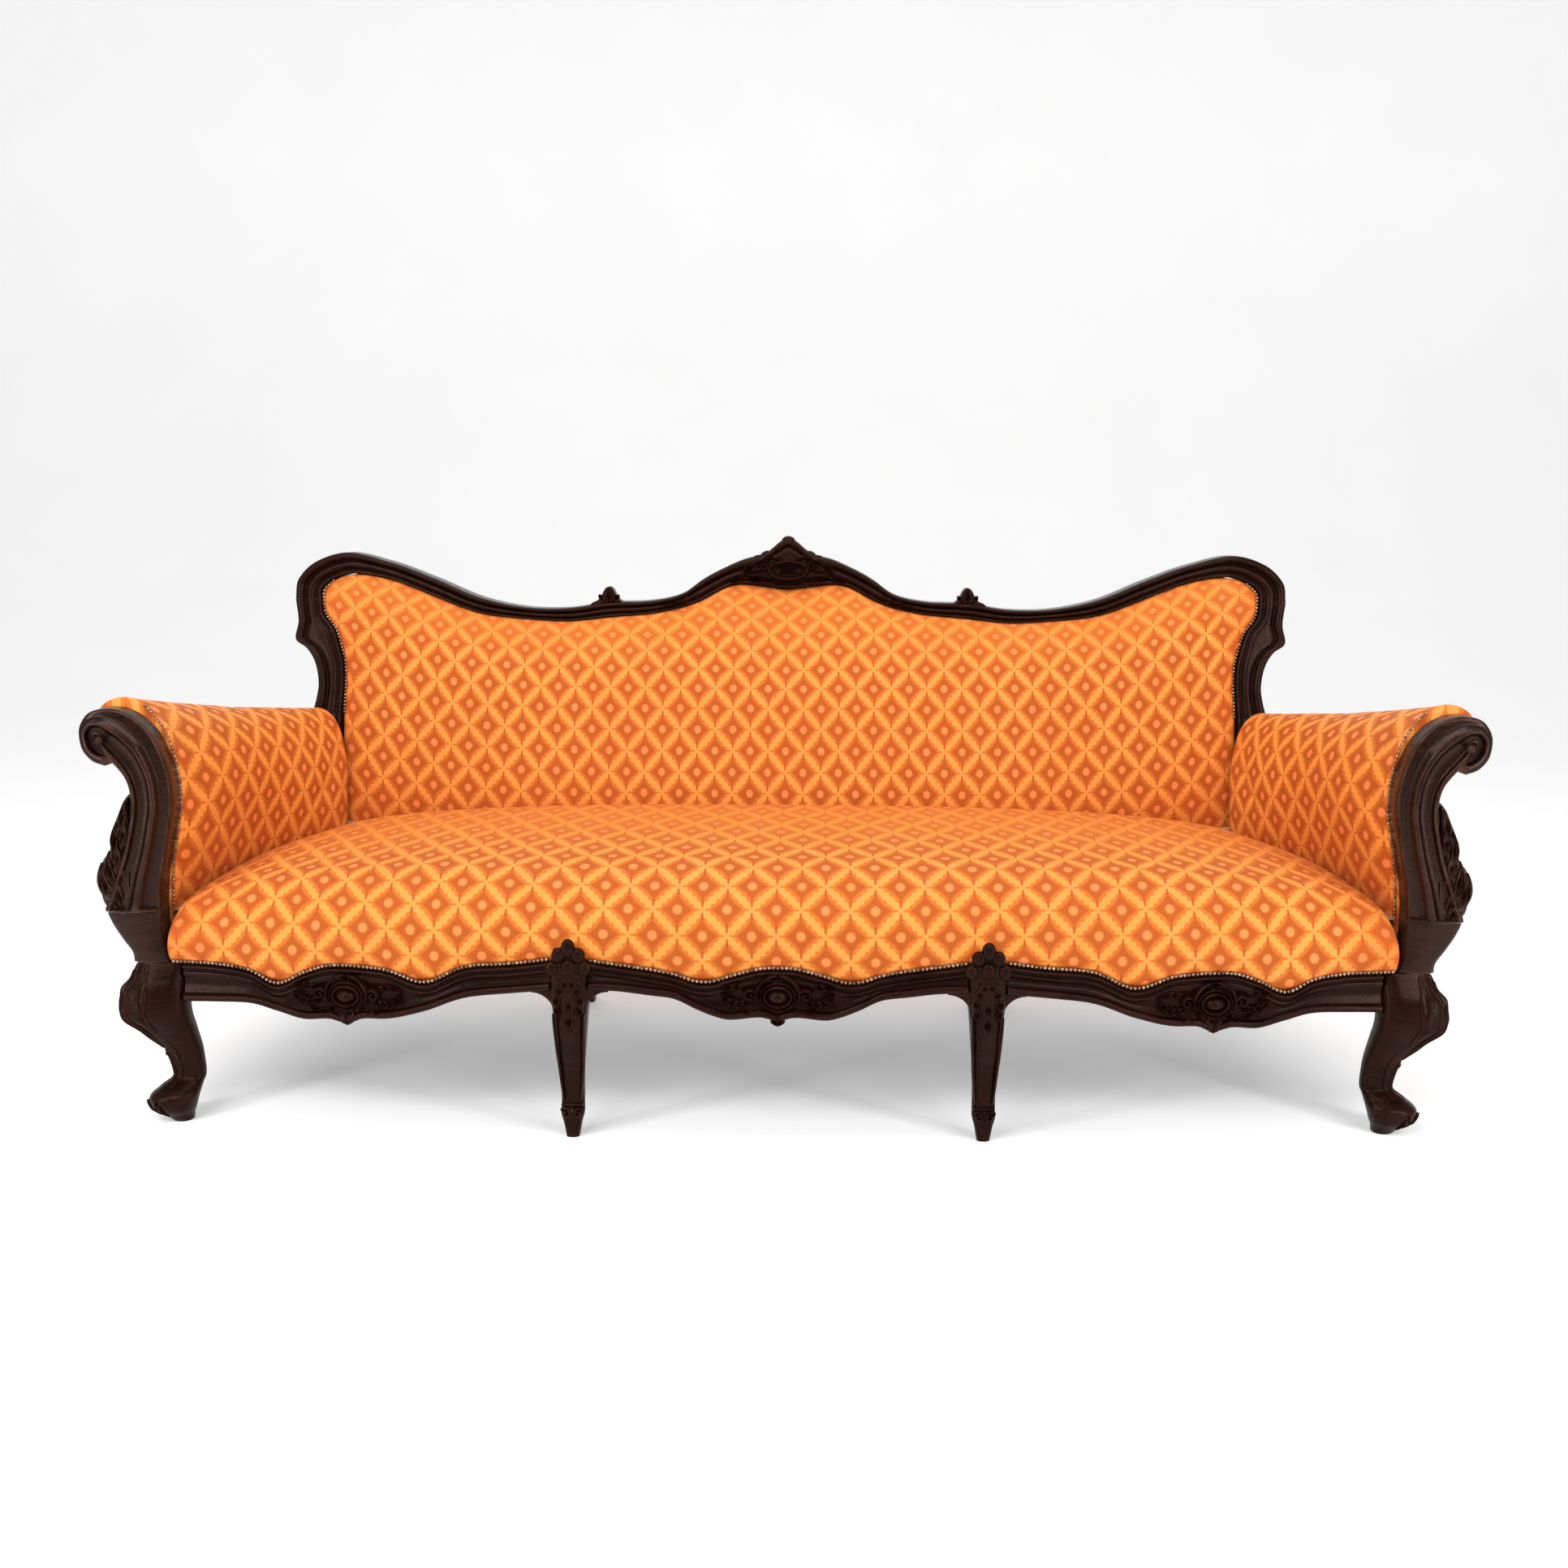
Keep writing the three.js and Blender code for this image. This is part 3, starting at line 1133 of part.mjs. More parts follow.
add('outside_back', backSheet(UPRIGHT_REAR + GAP, BACK_THICK, LEG_TOP + GAP), 'lattice');
addPair('arm_webbing', armWebbing(), 'webbing');
addPair('arm_pad', armPad(), 'stuffing');
addPair('arm_cover', armCover(), 'lattice');
addPair('outside_arm', outsideArm(), 'lattice');

// The origin is under the middle of the settee, on the floor.
const extent = new Box3().setFromObject(settee);
const middle = extent.getCenter(new Vector3());
settee.position.set(-middle.x, -middle.y, -extent.min.z);

export default settee;
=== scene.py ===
"""A carved serpentine settee with rolled arms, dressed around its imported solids."""
import json
import logging
import math
from dataclasses import dataclass
from enum import Enum
from typing import Callable, ClassVar, Sequence

import bmesh
import bpy
import numpy as np
from mathutils import Matrix, Vector

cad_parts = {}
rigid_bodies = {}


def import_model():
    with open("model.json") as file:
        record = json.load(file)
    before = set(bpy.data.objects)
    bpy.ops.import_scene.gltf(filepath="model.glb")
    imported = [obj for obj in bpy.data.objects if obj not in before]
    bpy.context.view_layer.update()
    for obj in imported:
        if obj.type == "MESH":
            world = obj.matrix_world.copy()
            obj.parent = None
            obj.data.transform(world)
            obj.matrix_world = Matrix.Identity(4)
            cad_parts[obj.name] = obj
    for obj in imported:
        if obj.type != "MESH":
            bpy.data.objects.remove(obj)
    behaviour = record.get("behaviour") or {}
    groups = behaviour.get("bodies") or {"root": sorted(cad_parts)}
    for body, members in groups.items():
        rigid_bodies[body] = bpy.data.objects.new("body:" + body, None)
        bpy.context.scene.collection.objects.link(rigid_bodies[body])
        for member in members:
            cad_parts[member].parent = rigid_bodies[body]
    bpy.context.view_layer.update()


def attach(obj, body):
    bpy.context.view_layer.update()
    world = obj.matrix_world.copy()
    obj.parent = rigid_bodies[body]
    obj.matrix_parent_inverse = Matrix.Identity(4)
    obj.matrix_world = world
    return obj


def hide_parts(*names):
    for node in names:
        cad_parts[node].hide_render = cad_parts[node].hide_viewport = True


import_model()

logging.basicConfig(level=logging.INFO, format="%(message)s")
LOG = logging.getLogger("settee")

Points = np.ndarray
Mapper = Callable[[Points, Points, Points], Points]
Colour = tuple[float, float, float]
Socket = bpy.types.NodeSocket

# Clearances between neighbouring pieces, in metres.
HAIR, SLIT, SEAM = 0.0003, 0.0006, 0.0009
# Angles in degrees above which an edge stays crisp.
WOOD_CREASE, PANEL_CREASE, PAD_CREASE = 50.0, 60.0, 80.0
# How far a carving's foot is sunk below the surface that it stands on.
SINK = 0.003
# Bend at which a ridge of the carving counts in full.
FULL_BEND = 0.35


class Side(Enum):
    """The half of the settee that a piece belongs to, seen from the front."""

    RIGHT = 1
    LEFT = -1


# --------------------------------------------------------------------------- layout


@dataclass(frozen=True)
class Layout:
    """The settee's driving sizes in metres, and the places worked out from them."""

    crest_height: float = 0.923
    back_half: float = 0.955
    seat_half: float = 0.966
    arm_spread: float = 0.122
    depth: float = 0.655
    bow: float = 0.075
    rake: float = math.tan(math.radians(14))
    centre_shift: float = 0.0145
    leg_top: float = 0.258
    apron_low: float = 0.174
    apron_depth: float = 0.110
    frame_bottom: float = 0.205
    seat_level: float = 0.400
    seat_crown: float = 0.024
    deck_level: float = 0.334
    back_base: float = 0.380
    arm_front_top: float = 0.676
    arm_rear_top: float = 0.594
    rail_thick: float = 0.040
    back_thick: float = 0.042
    proud: float = 0.012
    post_thick: float = 0.044
    foot_thick: float = 0.034
    back_crown: float = 0.030
    front_roll: float = 0.018
    mid_leg_x: float = 0.320
    mid_leg_half: float = 0.030
    leg_inner: float = 0.940
    leg_reach: float = 0.116
    rear_kick: float = 0.110

    @property
    def front_y(self) -> float:
        """Y of the front rails' face in the middle."""
        return -0.64 * self.depth + self.centre_shift

    @property
    def post_y(self) -> float:
        """Y of the arm posts' face."""
        return self.front_y + self.bow

    @property
    def arm_y(self) -> float:
        """Y at which the arms' covers start, behind the posts."""
        return self.post_y + self.post_thick + HAIR

    @property
    def back_y(self) -> float:
        """Y of the back frame's face at seat level."""
        return self.front_y + self.depth

    @property
    def back_rise(self) -> float:
        """Rise of the crest above the rear of the arms."""
        return self.crest_height - self.arm_rear_top

    @property
    def rear_inner(self) -> float:
        """X of the arms' inner face where they meet the back."""
        return 0.874 * self.back_half

    @property
    def rear_spread(self) -> float:
        """Spread of the arms where they meet the back."""
        return 0.098 * self.back_half

    @property
    def stile_inner(self) -> float:
        """X of the stiles' inner edge above the seat."""
        return 0.897 * self.back_half

    def face_y(self, x: Points) -> Points:
        """Y of the front rails' bowed face at X."""
        return self.front_y + self.bow * (np.asarray(x) / self.seat_half) ** 2

    def rake_y(self, z: Points) -> Points:
        """Y of the raked plane of the back frame's face at a level."""
        return self.back_y + (np.asarray(z) - self.seat_level) * self.rake

    def back_point(self, share: Points) -> Points:
        """X and Z of points given as shares of the back's half width and rise."""
        share = np.asarray(share, float)
        return np.stack([share[..., 0] * self.back_half, self.arm_rear_top + share[..., 1] * self.back_rise], -1)

    def post_point(self, share: Points) -> Points:
        """X and Z of points given as shares of the arm's spread and rise at its front."""
        share = np.asarray(share, float)
        rise = self.arm_front_top - self.leg_top
        return np.stack([self.seat_half + share[..., 0] * self.arm_spread, self.leg_top + share[..., 1] * rise], -1)


LAYOUT = Layout()

CREST_SHARES = (
    (0, 1, 0, 0.69), (0.018, 0.964, 0.032, 0.699), (0.049, 0.896, 0.063, 0.711), (0.09, 0.863, 0.095, 0.719),
    (0.127, 0.817, 0.124, 0.703), (0.157, 0.773, 0.153, 0.66), (0.175, 0.741, 0.175, 0.625),
)
TOP_RAIL_SHARES = (
    (0.175, 0.741, 0.175, 0.625), (0.217, 0.66, 0.214, 0.584), (0.277, 0.622, 0.277, 0.548),
    (0.365, 0.611, 0.365, 0.526), (0.444, 0.578, 0.441, 0.502), (0.529, 0.581, 0.526, 0.514),
    (0.619, 0.632, 0.622, 0.544), (0.72, 0.748, 0.722, 0.648), (0.81, 0.84, 0.813, 0.743),
    (0.898, 0.894, 0.887, 0.769), (0.958, 0.845, 0.927, 0.729), (0.995, 0.742, 0.945, 0.678),
    (1, 0.626, 0.946, 0.617),
)
STILE_SHARES = (
    (1, 0.623, 0.946, 0.614), (0.993, 0.495, 0.94, 0.532), (0.997, 0.389, 0.919, 0.45),
    (0.974, 0.337, 0.907, 0.353), (0.957, 0.261, 0.898, 0.255), (0.948, 0.14, 0.896, 0.14),
    (0.951, 0.055, 0.897, 0.043), (0.958, -0.03, 0.898, -0.043),
)
SIDE_BAY_SHARES = (
    (0, 1, 0.582), (0.102, 0.927, 0.527), (0.212, 0.873, 0.455), (0.339, 0.618, 0.218), (0.441, 0.782, 0.091),
    (0.5, 0.809, 0.082), (0.546, 0.818, 0), (0.593, 0.809, 0.055), (0.661, 0.691, 0.036),
    (0.737, 0.518, 0.136), (0.822, 0.709, 0.236), (0.915, 0.764, 0.227), (1, 0.764, 0.209),
)
MIDDLE_BAY_SHARES = (
    (0, 0.927, 0.182), (0.086, 0.918, 0.245), (0.259, 0.8, 0.209), (0.345, 0.727, 0.264), (0.431, 0.727, 0.355),
    (0.552, 0.827, 0.5), (0.69, 0.891, 0.545), (0.845, 0.945, 0.591), (1, 1, 0.6),
)
ARM_FRONT_SHARES = (
    (0.05, 0.1), (0.04, 0.2), (0.01, 0.35), (-0.07, 0.48), (-0.14, 0.61), (-0.12, 0.71), (-0.04, 0.82),
    (0.12, 0.915), (0.36, 0.98), (0.63, 1), (0.87, 0.965), (0.975, 0.9), (0.92, 0.832), (0.74, 0.78), (0.56, 0.742),
)
ARM_REAR_SHARES = (
    (0, 0.125), (0, 0.245), (0, 0.42), (0, 0.54), (0.02, 0.66), (0.08, 0.765), (0.17, 0.862),
    (0.3, 0.937), (0.47, 0.985), (0.64, 1), (0.83, 0.982), (0.98, 0.937), (1, 0.887), (0.95, 0.848), (0.87, 0.827),
)
PLAN_SHARES = ((0, 0), (0.3, 0.08), (0.58, 0.27), (0.8, 0.62), (1, 1))


# --------------------------------------------------------------------------- curves and shells


def curve_through(stations: Sequence, count: int) -> Points:
    """Samples a smooth curve through stations.

    Args:
        stations: Rows of numbers that run together.
        count: How many samples to return.

    Returns:
        The samples, evenly spread over the stretches between stations.
    """
    knots = np.asarray(stations, float)
    spread = np.maximum(np.linalg.norm(np.diff(knots, axis=0), axis=1), 1e-9) ** 0.5
    places = np.concatenate([[0.0], np.cumsum(spread)])
    slopes = np.gradient(knots, places, axis=0)
    at = np.linspace(0, len(knots) - 1, count)
    low = np.minimum(at.astype(int), len(knots) - 2)
    t = (at - low)[:, None]
    width = spread[low][:, None]
    a, b = knots[low], knots[low + 1]
    ma, mb = slopes[low] * width, slopes[low + 1] * width
    from_a, to_b = 2 * t**3 - 3 * t**2 + 1, 3 * t**2 - 2 * t**3
    return from_a * a + (t**3 - 2 * t**2 + t) * ma + to_b * b + (t**3 - t**2) * mb


def blend_of(a: Points, b: Points, share: Points) -> Points:
    """Mixes two values by a share from 0 to 1."""
    return a + (b - a) * share


def smooth_step(low: float, high: float, x: Points) -> Points:
    """Rises smoothly from 0 at low to 1 at high."""
    t = np.clip((np.asarray(x, float) - low) / (high - low), 0, 1)
    return t * t * (3 - 2 * t)


def running_length(path: Points, weight: Points | float = 1.0) -> Points:
    """Returns the length run from the first row to each row, with each step's own weight."""
    step = np.linalg.norm(np.diff(path, axis=0), axis=-1) * weight
    return np.concatenate([np.zeros_like(step[:1]), np.cumsum(step, axis=0)])


def read(items: bpy.types.bpy_prop_collection, key: str, width: int = 1, kind: type = float) -> Points:
    """Reads one property of every item, in rows where it has several numbers."""
    values = np.zeros(len(items) * width, kind)
    items.foreach_get(key, values)
    return values.reshape(-1, width) if width > 1 else values


def store(piece: bpy.types.Object, name: str, values: Points) -> None:
    """Stores one number for each point of a piece."""
    layer = piece.data.attributes.new(name, "FLOAT", "POINT")
    layer.data.foreach_set("value", np.asarray(values, np.float32))


def placed(name: str, data: bpy.types.ID) -> bpy.types.Object:
    """Adds an object to the scene."""
    made = bpy.data.objects.new(name, data)
    bpy.context.collection.objects.link(made)
    return made


@dataclass
class Shell:
    """A surface made of points and faces, with an optional flat map for cloth."""

    verts: Points
    faces: list[tuple[int, ...]]
    flat: Points | None = None

    @staticmethod
    def loft(rings: Sequence[Points]) -> "Shell":
        """Skins rings of the same number of points and closes both ends.

        Args:
            rings: One array of points for each ring, which runs back to its first point.

        Returns:
            The shell.
        """
        rows, columns = len(rings), len(rings[0])
        faces: list[tuple[int, ...]] = []
        for r in range(rows - 1):
            for c in range(columns):
                d = (c + 1) % columns
                faces.append((r * columns + c, r * columns + d, (r + 1) * columns + d, (r + 1) * columns + c))
        faces.append(tuple(range(columns))[::-1])
        faces.append(tuple(range((rows - 1) * columns, rows * columns)))
        return Shell(np.concatenate([np.asarray(ring, float) for ring in rings]), faces)

    def mirrored(self, side: Side) -> "Shell":
        """Returns the shell as it stands on the asked side, given that it was made for the right."""
        if side is Side.RIGHT:
            return self
        verts = self.verts * np.array([-1.0, 1.0, 1.0])
        flat = None if self.flat is None else self.flat * np.array([-1.0, 1.0])
        return Shell(verts, [tuple(reversed(f)) for f in self.faces], flat)


def build(name: str, shells: Sequence[Shell], material: bpy.types.Material, sharp: float) -> bpy.types.Object:
    """Makes one mesh object of several closed shells, with outward faces.

    Args:
        name: The object's name.
        shells: The shells to put in it.
        material: Its finish.
        sharp: Angle in degrees above which an edge stays crisp.

    Returns:
        The object, linked to the scene.
    """
    offset = 0
    faces: list[tuple[int, ...]] = []
    for shell in shells:
        faces.extend(tuple(i + offset for i in f) for f in shell.faces)
        offset += len(shell.verts)
    mesh = bpy.data.meshes.new(name)
    mesh.from_pydata(np.concatenate([shell.verts for shell in shells]).tolist(), [], faces)
    if all(shell.flat is not None for shell in shells):
        flat = np.concatenate([shell.flat for shell in shells])[read(mesh.loops, "vertex_index", 1, np.int32)]
        mesh.uv_layers.new(name="cloth").data.foreach_set("uv", flat.astype(np.float32).ravel())
    work = bmesh.new()
    work.from_mesh(mesh)
    bmesh.ops.dissolve_degenerate(work, dist=1e-6, edges=work.edges)
    bmesh.ops.recalc_face_normals(work, faces=work.faces)
    work.to_mesh(mesh)
    work.free()
    mesh.shade_smooth()
    mesh.set_sharp_from_angle(angle=math.radians(sharp))
    mesh.materials.append(material)
    return placed(name, mesh)


def mark_ridges(piece: bpy.types.Object) -> None:
    """Stores how far each point stands out from its neighbours, for wear on the carving's high places."""
    mesh = piece.data
    co, normal = (read(mesh.vertices, key, 3) for key in ("co", "normal"))
    a, b = read(mesh.edges, "vertices", 2, np.int32).T
    along = co[b] - co[a]
    bend = ((normal[b] - normal[a]) * along).sum(1) / np.maximum(np.linalg.norm(along, axis=1), 1e-7)
    total, share = np.zeros(len(co)), np.zeros(len(co))
    for end in (a, b):
        np.add.at(total, end, bend)
        np.add.at(share, end, 1)
    store(piece, "ridge", np.clip(total / np.maximum(share, 1) / FULL_BEND, -1, 1))


def declare(piece: bpy.types.Object, slot: str, *nodes: str) -> bpy.types.Object:
    """Ties a finished piece to the frame.

    Args:
        piece: The finished object.
        slot: The record's material slot; not used.
        nodes: The solids that the piece stands for.

    Returns:
        The same object.
    """
    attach(piece, "root")
    if nodes:
        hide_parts(*nodes)
    LOG.info("made %s (%d faces)", piece.name, len(piece.data.polygons))
    return piece


# --------------------------------------------------------------------------- finishes


class Sheet:
    """A short way to place and link nodes in one node tree."""

    def __init__(self, tree: bpy.types.NodeTree) -> None:
        """Keeps the tree that the nodes go into."""
        self.tree = tree

    def node(self, kind: str, **settings: object) -> bpy.types.Node:
        """Adds a node and sets its plain properties."""
        made = self.tree.nodes.new(kind)
        for key, value in settings.items():
            setattr(made, key, value)
        return made

    def put(self, socket: Socket, value: object) -> None:
        """Links a socket to another or sets its value."""
        if isinstance(value, Socket):
            self.tree.links.new(value, socket)
        elif isinstance(value, tuple) and len(value) == 3 and socket.type == "RGBA":
            socket.default_value = (*value, 1.0)
        else:
            socket.default_value = value

    def feed(self, made: bpy.types.Node, output: int | str, inputs: dict[int | str, object]) -> Socket:
        """Links or sets a node's inputs by place or name, and returns one of its outputs."""
        for key, value in inputs.items():
            self.put(made.inputs[key], value)
        return made.outputs[output]

    def math(self, operation: str, *values: object) -> Socket:
        """Adds a math node and returns its result."""
        return self.feed(self.node("ShaderNodeMath", operation=operation), 0, dict(enumerate(values)))

    def vector(self, operation: str, *values: object) -> Socket:
        """Adds a vector math node and returns its result."""
        return self.feed(self.node("ShaderNodeVectorMath", operation=operation), 0, dict(enumerate(values)))

    def times(self, *values: object) -> Socket:
        """Multiplies two values."""
        return self.math("MULTIPLY", *values)

    def tilt(self, value: object, slope: object, base: object) -> Socket:
        """Multiplies a value by a slope and adds a base."""
        return self.math("MULTIPLY_ADD", value, slope, base)

    def rise(self, value: object, low: float, high: float) -> Socket:
        """Adds a smooth step that goes from 0 at low to 1 at high."""
        made = self.node("ShaderNodeMapRange", interpolation_type="SMOOTHSTEP")
        return self.feed(made, "Result", {"Value": value, "From Min": low, "From Max": high})

    def fall(self, value: object, low: float, high: float) -> Socket:
        """Adds a smooth step that goes from 1 at low to 0 at high."""
        return self.math("SUBTRACT", 1.0, self.rise(value, low, high))

    def blend(self, share: object, a: object, b: object) -> Socket:
        """Adds a colour mix and returns its result."""
        return self.feed(self.node("ShaderNodeMix", data_type="RGBA"), 2, {0: share, 6: a, 7: b})

    def noise(self, place: object, scale: object, detail: float = 3.0, rough: float = 0.5, out: str = "Fac") -> Socket:
        """Adds a noise texture and returns its value, or its colour if asked."""
        inputs = {"Vector": place, "Scale": scale, "Detail": detail, "Roughness": rough}
        return self.feed(self.node("ShaderNodeTexNoise"), out, inputs)

    def attribute(self, name: str) -> Socket:
        """Reads a number stored on the points."""
        return self.node("ShaderNodeAttribute", attribute_name=name).outputs["Fac"]

    def use(self, group: bpy.types.NodeTree, **inputs: object) -> bpy.types.bpy_prop_collection:
        """Places a shared group with its own values and returns its outputs."""
        made = self.node("ShaderNodeGroup", node_tree=group)
        self.feed(made, 0, inputs)
        return made.outputs


class Effect(Sheet):
    """The node tree of one effect that several finishes share."""

    def __init__(self, name: str, outputs: Sequence[str], **inputs: float | None) -> None:
        """Starts the group.

        Args:
            name: The group's name.
            outputs: Names of the numbers that it gives.
            inputs: The numbers that it takes, with their defaults, or None for a place.
        """
        super().__init__(bpy.data.node_groups.new(name, "ShaderNodeTree"))
        for label, default in inputs.items():
            kind = "NodeSocketVector" if default is None else "NodeSocketFloat"
            socket = self.tree.interface.new_socket(name=label, in_out="INPUT", socket_type=kind)
            if default is not None:
                socket.default_value = default
        for label in outputs:
            self.tree.interface.new_socket(name=label, in_out="OUTPUT", socket_type="NodeSocketFloat")
        self.given = self.node("NodeGroupInput").outputs
        self.made = self.node("NodeGroupOutput")

    def give(self, **outputs: Socket) -> bpy.types.NodeTree:
        """Links what the group gives, and returns the group."""
        for label, value in outputs.items():
            self.put(self.made.inputs[label], value)
        return self.tree


def grain_group() -> bpy.types.NodeTree:
    """Builds the grain of timber: long streaks that wander, with short dark pores."""
    s = Effect("timber_grain", ("Figure", "Pore"), Place=None, Streaks=40.0, Pores=400.0)
    place = s.given["Place"]
    streak = s.noise(s.vector("ADD", place, s.noise(place, 3.0, 2.0)), s.given["Streaks"], 4.0, 0.6)
    pore = s.noise(place, s.given["Pores"], 2.0, 0.7)
    return s.give(Figure=s.rise(streak, 0.32, 0.68), Pore=s.rise(pore, 0.56, 0.7))


def wear_group() -> bpy.types.NodeTree:
    """Builds wear on high places and wax darkened in low ones, broken up by noise."""
    s = Effect("carving_wear", ("Worn", "Sunk"), Place=None, Ridge=0.0, Amount=1.0)
    ridge = s.given["Ridge"]
    broken = s.rise(s.noise(s.given["Place"], 26.0, 4.0, 0.65), 0.3, 0.72)
    worn = s.times(s.times(s.rise(ridge, 0.12, 0.75), broken), s.given["Amount"])
    return s.give(Worn=worn, Sunk=s.rise(s.times(ridge, -1.0), 0.05, 0.6))


def weave_group() -> bpy.types.NodeTree:
    """Builds crossing threads at a pitch, on a flat map in metres."""
    s = Effect("thread_weave", ("Height", "Warp"), Map=None, Pitch=0.0012)
    apart = s.node("ShaderNodeSeparateXYZ")
    s.put(apart.inputs[0], s.given["Map"])
    turns = s.math("DIVIDE", 2 * math.pi, s.given["Pitch"])
    warp, weft = (s.math("SINE", s.times(apart.outputs[i], turns)) for i in (0, 1))
    return s.give(Height=s.tilt(s.times(warp, weft), 0.5, 0.5), Warp=s.tilt(warp, 0.5, 0.5))


def lattice_group() -> bpy.types.NodeTree:
    """Builds a diaper of diamonds: leaves on the sides, gold crossings, and a ring and a dot inside."""
    s = Effect("diamond_diaper", ("Bar", "Line", "Ring", "Dot"), Map=None, Width=0.07, Height=0.08)
    apart = s.node("ShaderNodeSeparateXYZ")
    s.put(apart.inputs[0], s.given["Map"])
    u, v = (s.math("DIVIDE", apart.outputs[i], s.given[size]) for i, size in enumerate(("Width", "Height")))
    across, along = (s.math("SUBTRACT", s.math("FRACT", s.math(sign, u, v)), 0.5) for sign in ("ADD", "SUBTRACT"))
    p, q = s.math("ABSOLUTE", across), s.math("ABSOLUTE", along)
    far, near = s.math("MAXIMUM", p, q), s.math("MINIMUM", p, q)
    rim = s.math("SUBTRACT", 0.5, far)
    reach = s.math("MINIMUM", s.math("DIVIDE", near, 0.455), 1.0)
    belly = s.math("SQRT", s.math("SUBTRACT", 1.0, s.math("POWER", reach, 4.0)))
    half = s.times(belly, s.tilt(s.math("COSINE", s.times(near, 30.0)), -0.024, 0.108))
    leaf = s.fall(s.math("SUBTRACT", rim, half), -0.028, 0.028)
    corner = s.math("SUBTRACT", 1.0, s.math("ADD", far, near))
    knot = s.math("SUBTRACT", 0.85, s.rise(corner, 0.09, 0.15))
    round_off = s.math("SQRT", s.math("ADD", s.times(p, p), s.times(q, q)))
    upright = s.math("ABSOLUTE", s.math("ADD", across, along))
    tick = s.times(s.fall(upright, 0.05, 0.11), s.rise(near, 0.24, 0.30))
    ring = s.times(s.rise(round_off, 0.11, 0.17), s.fall(s.tilt(near, -0.12, far), 0.245, 0.30))
    return s.give(
        Bar=s.math("MAXIMUM", knot, leaf), Line=s.fall(rim, 0.008, 0.026),
        Ring=s.math("MAXIMUM", ring, tick), Dot=s.fall(round_off, 0.09, 0.15),
    )


class Groups:
    """The shared effects, built once."""

    def __init__(self) -> None:
        """Builds every group."""
        self.grain, self.wear, self.weave, self.lattice = grain_group(), wear_group(), weave_group(), lattice_group()


class Coat(Sheet):
    """The node tree of one material, with its main shader at hand."""

    def __init__(self, name: str) -> None:
        """Starts the material."""
        self.material = bpy.data.materials.new(name)
        self.material.use_nodes = True
        super().__init__(self.material.node_tree)
        self.shader = self.tree.nodes["Principled BSDF"]
        self.place = self.node("ShaderNodeTexCoord").outputs["Object"]

    def shade(self, **inputs: object) -> None:
        """Links or sets the shader's inputs, named with underscores for spaces."""
        self.feed(self.shader, 0, {name.replace("_", " "): value for name, value in inputs.items()})

    def bump(self, height: Socket, depth: float, strength: float) -> None:
        """Raises the surface by a height, to a depth in metres."""
        inputs = {"Distance": depth, "Strength": strength, "Height": height}
        self.shade(Normal=self.feed(self.node("ShaderNodeBump"), "Normal", inputs))


@dataclass(frozen=True)
class Finish:
    """A finish, whose nodes each kind lays in its own way."""

    name: str

    def lay(self, s: Coat, groups: Groups) -> None:
        """Lays the nodes on the material's sheet."""
        raise NotImplementedError

    def make(self, groups: Groups) -> bpy.types.Material:
        """Builds the material.

        Args:
            groups: The shared effects.

        Returns:
            The material.
        """
        s = Coat(self.name)
        self.lay(s, groups)
        return s.material


@dataclass(frozen=True)
class Timber(Finish):
    """A finished or plain timber, with grain along X."""

    dark: Colour
    light: Colour
    worn: Colour
    gloss: tuple[float, float]
    wear: float
    ior: float = 1.4
    stretch: Colour = (0.25, 1.0, 1.0)

    def lay(self, s: Coat, groups: Groups) -> None:
        """Lays the grain, the wear and the wax in the low places."""
        along = s.feed(s.node("ShaderNodeMapping"), "Vector", {"Vector": s.place, "Scale": self.stretch})
        grain = s.use(groups.grain, Place=along, Streaks=46.0, Pores=520.0)
        wear = s.use(groups.wear, Place=s.place, Ridge=s.attribute("ridge"), Amount=self.wear)
        base = s.blend(grain["Figure"], self.dark, self.light)
        cloud = s.rise(s.noise(s.place, 5.0, 3.0, 0.6), 0.35, 0.7)
        base = s.blend(s.times(cloud, 0.35), base, self.light)
        base = s.blend(s.times(grain["Pore"], 0.4), base, self.dark)
        base = s.blend(wear["Worn"], base, self.worn)
        low = tuple(0.35 * c for c in self.dark)
        rough = s.tilt(s.noise(s.place, 60.0, 3.0), self.gloss[1] - self.gloss[0], self.gloss[0])
        s.shade(
            Base_Color=s.blend(s.times(wear["Sunk"], 0.7), base, low), Roughness=s.tilt(wear["Sunk"], 0.2, rough),
            IOR=self.ior, Specular_Tint=(1.0, 0.66, 0.54),
        )
        s.bump(s.math("ADD", grain["Figure"], s.times(grain["Pore"], -0.6)), 0.0003, 0.5)


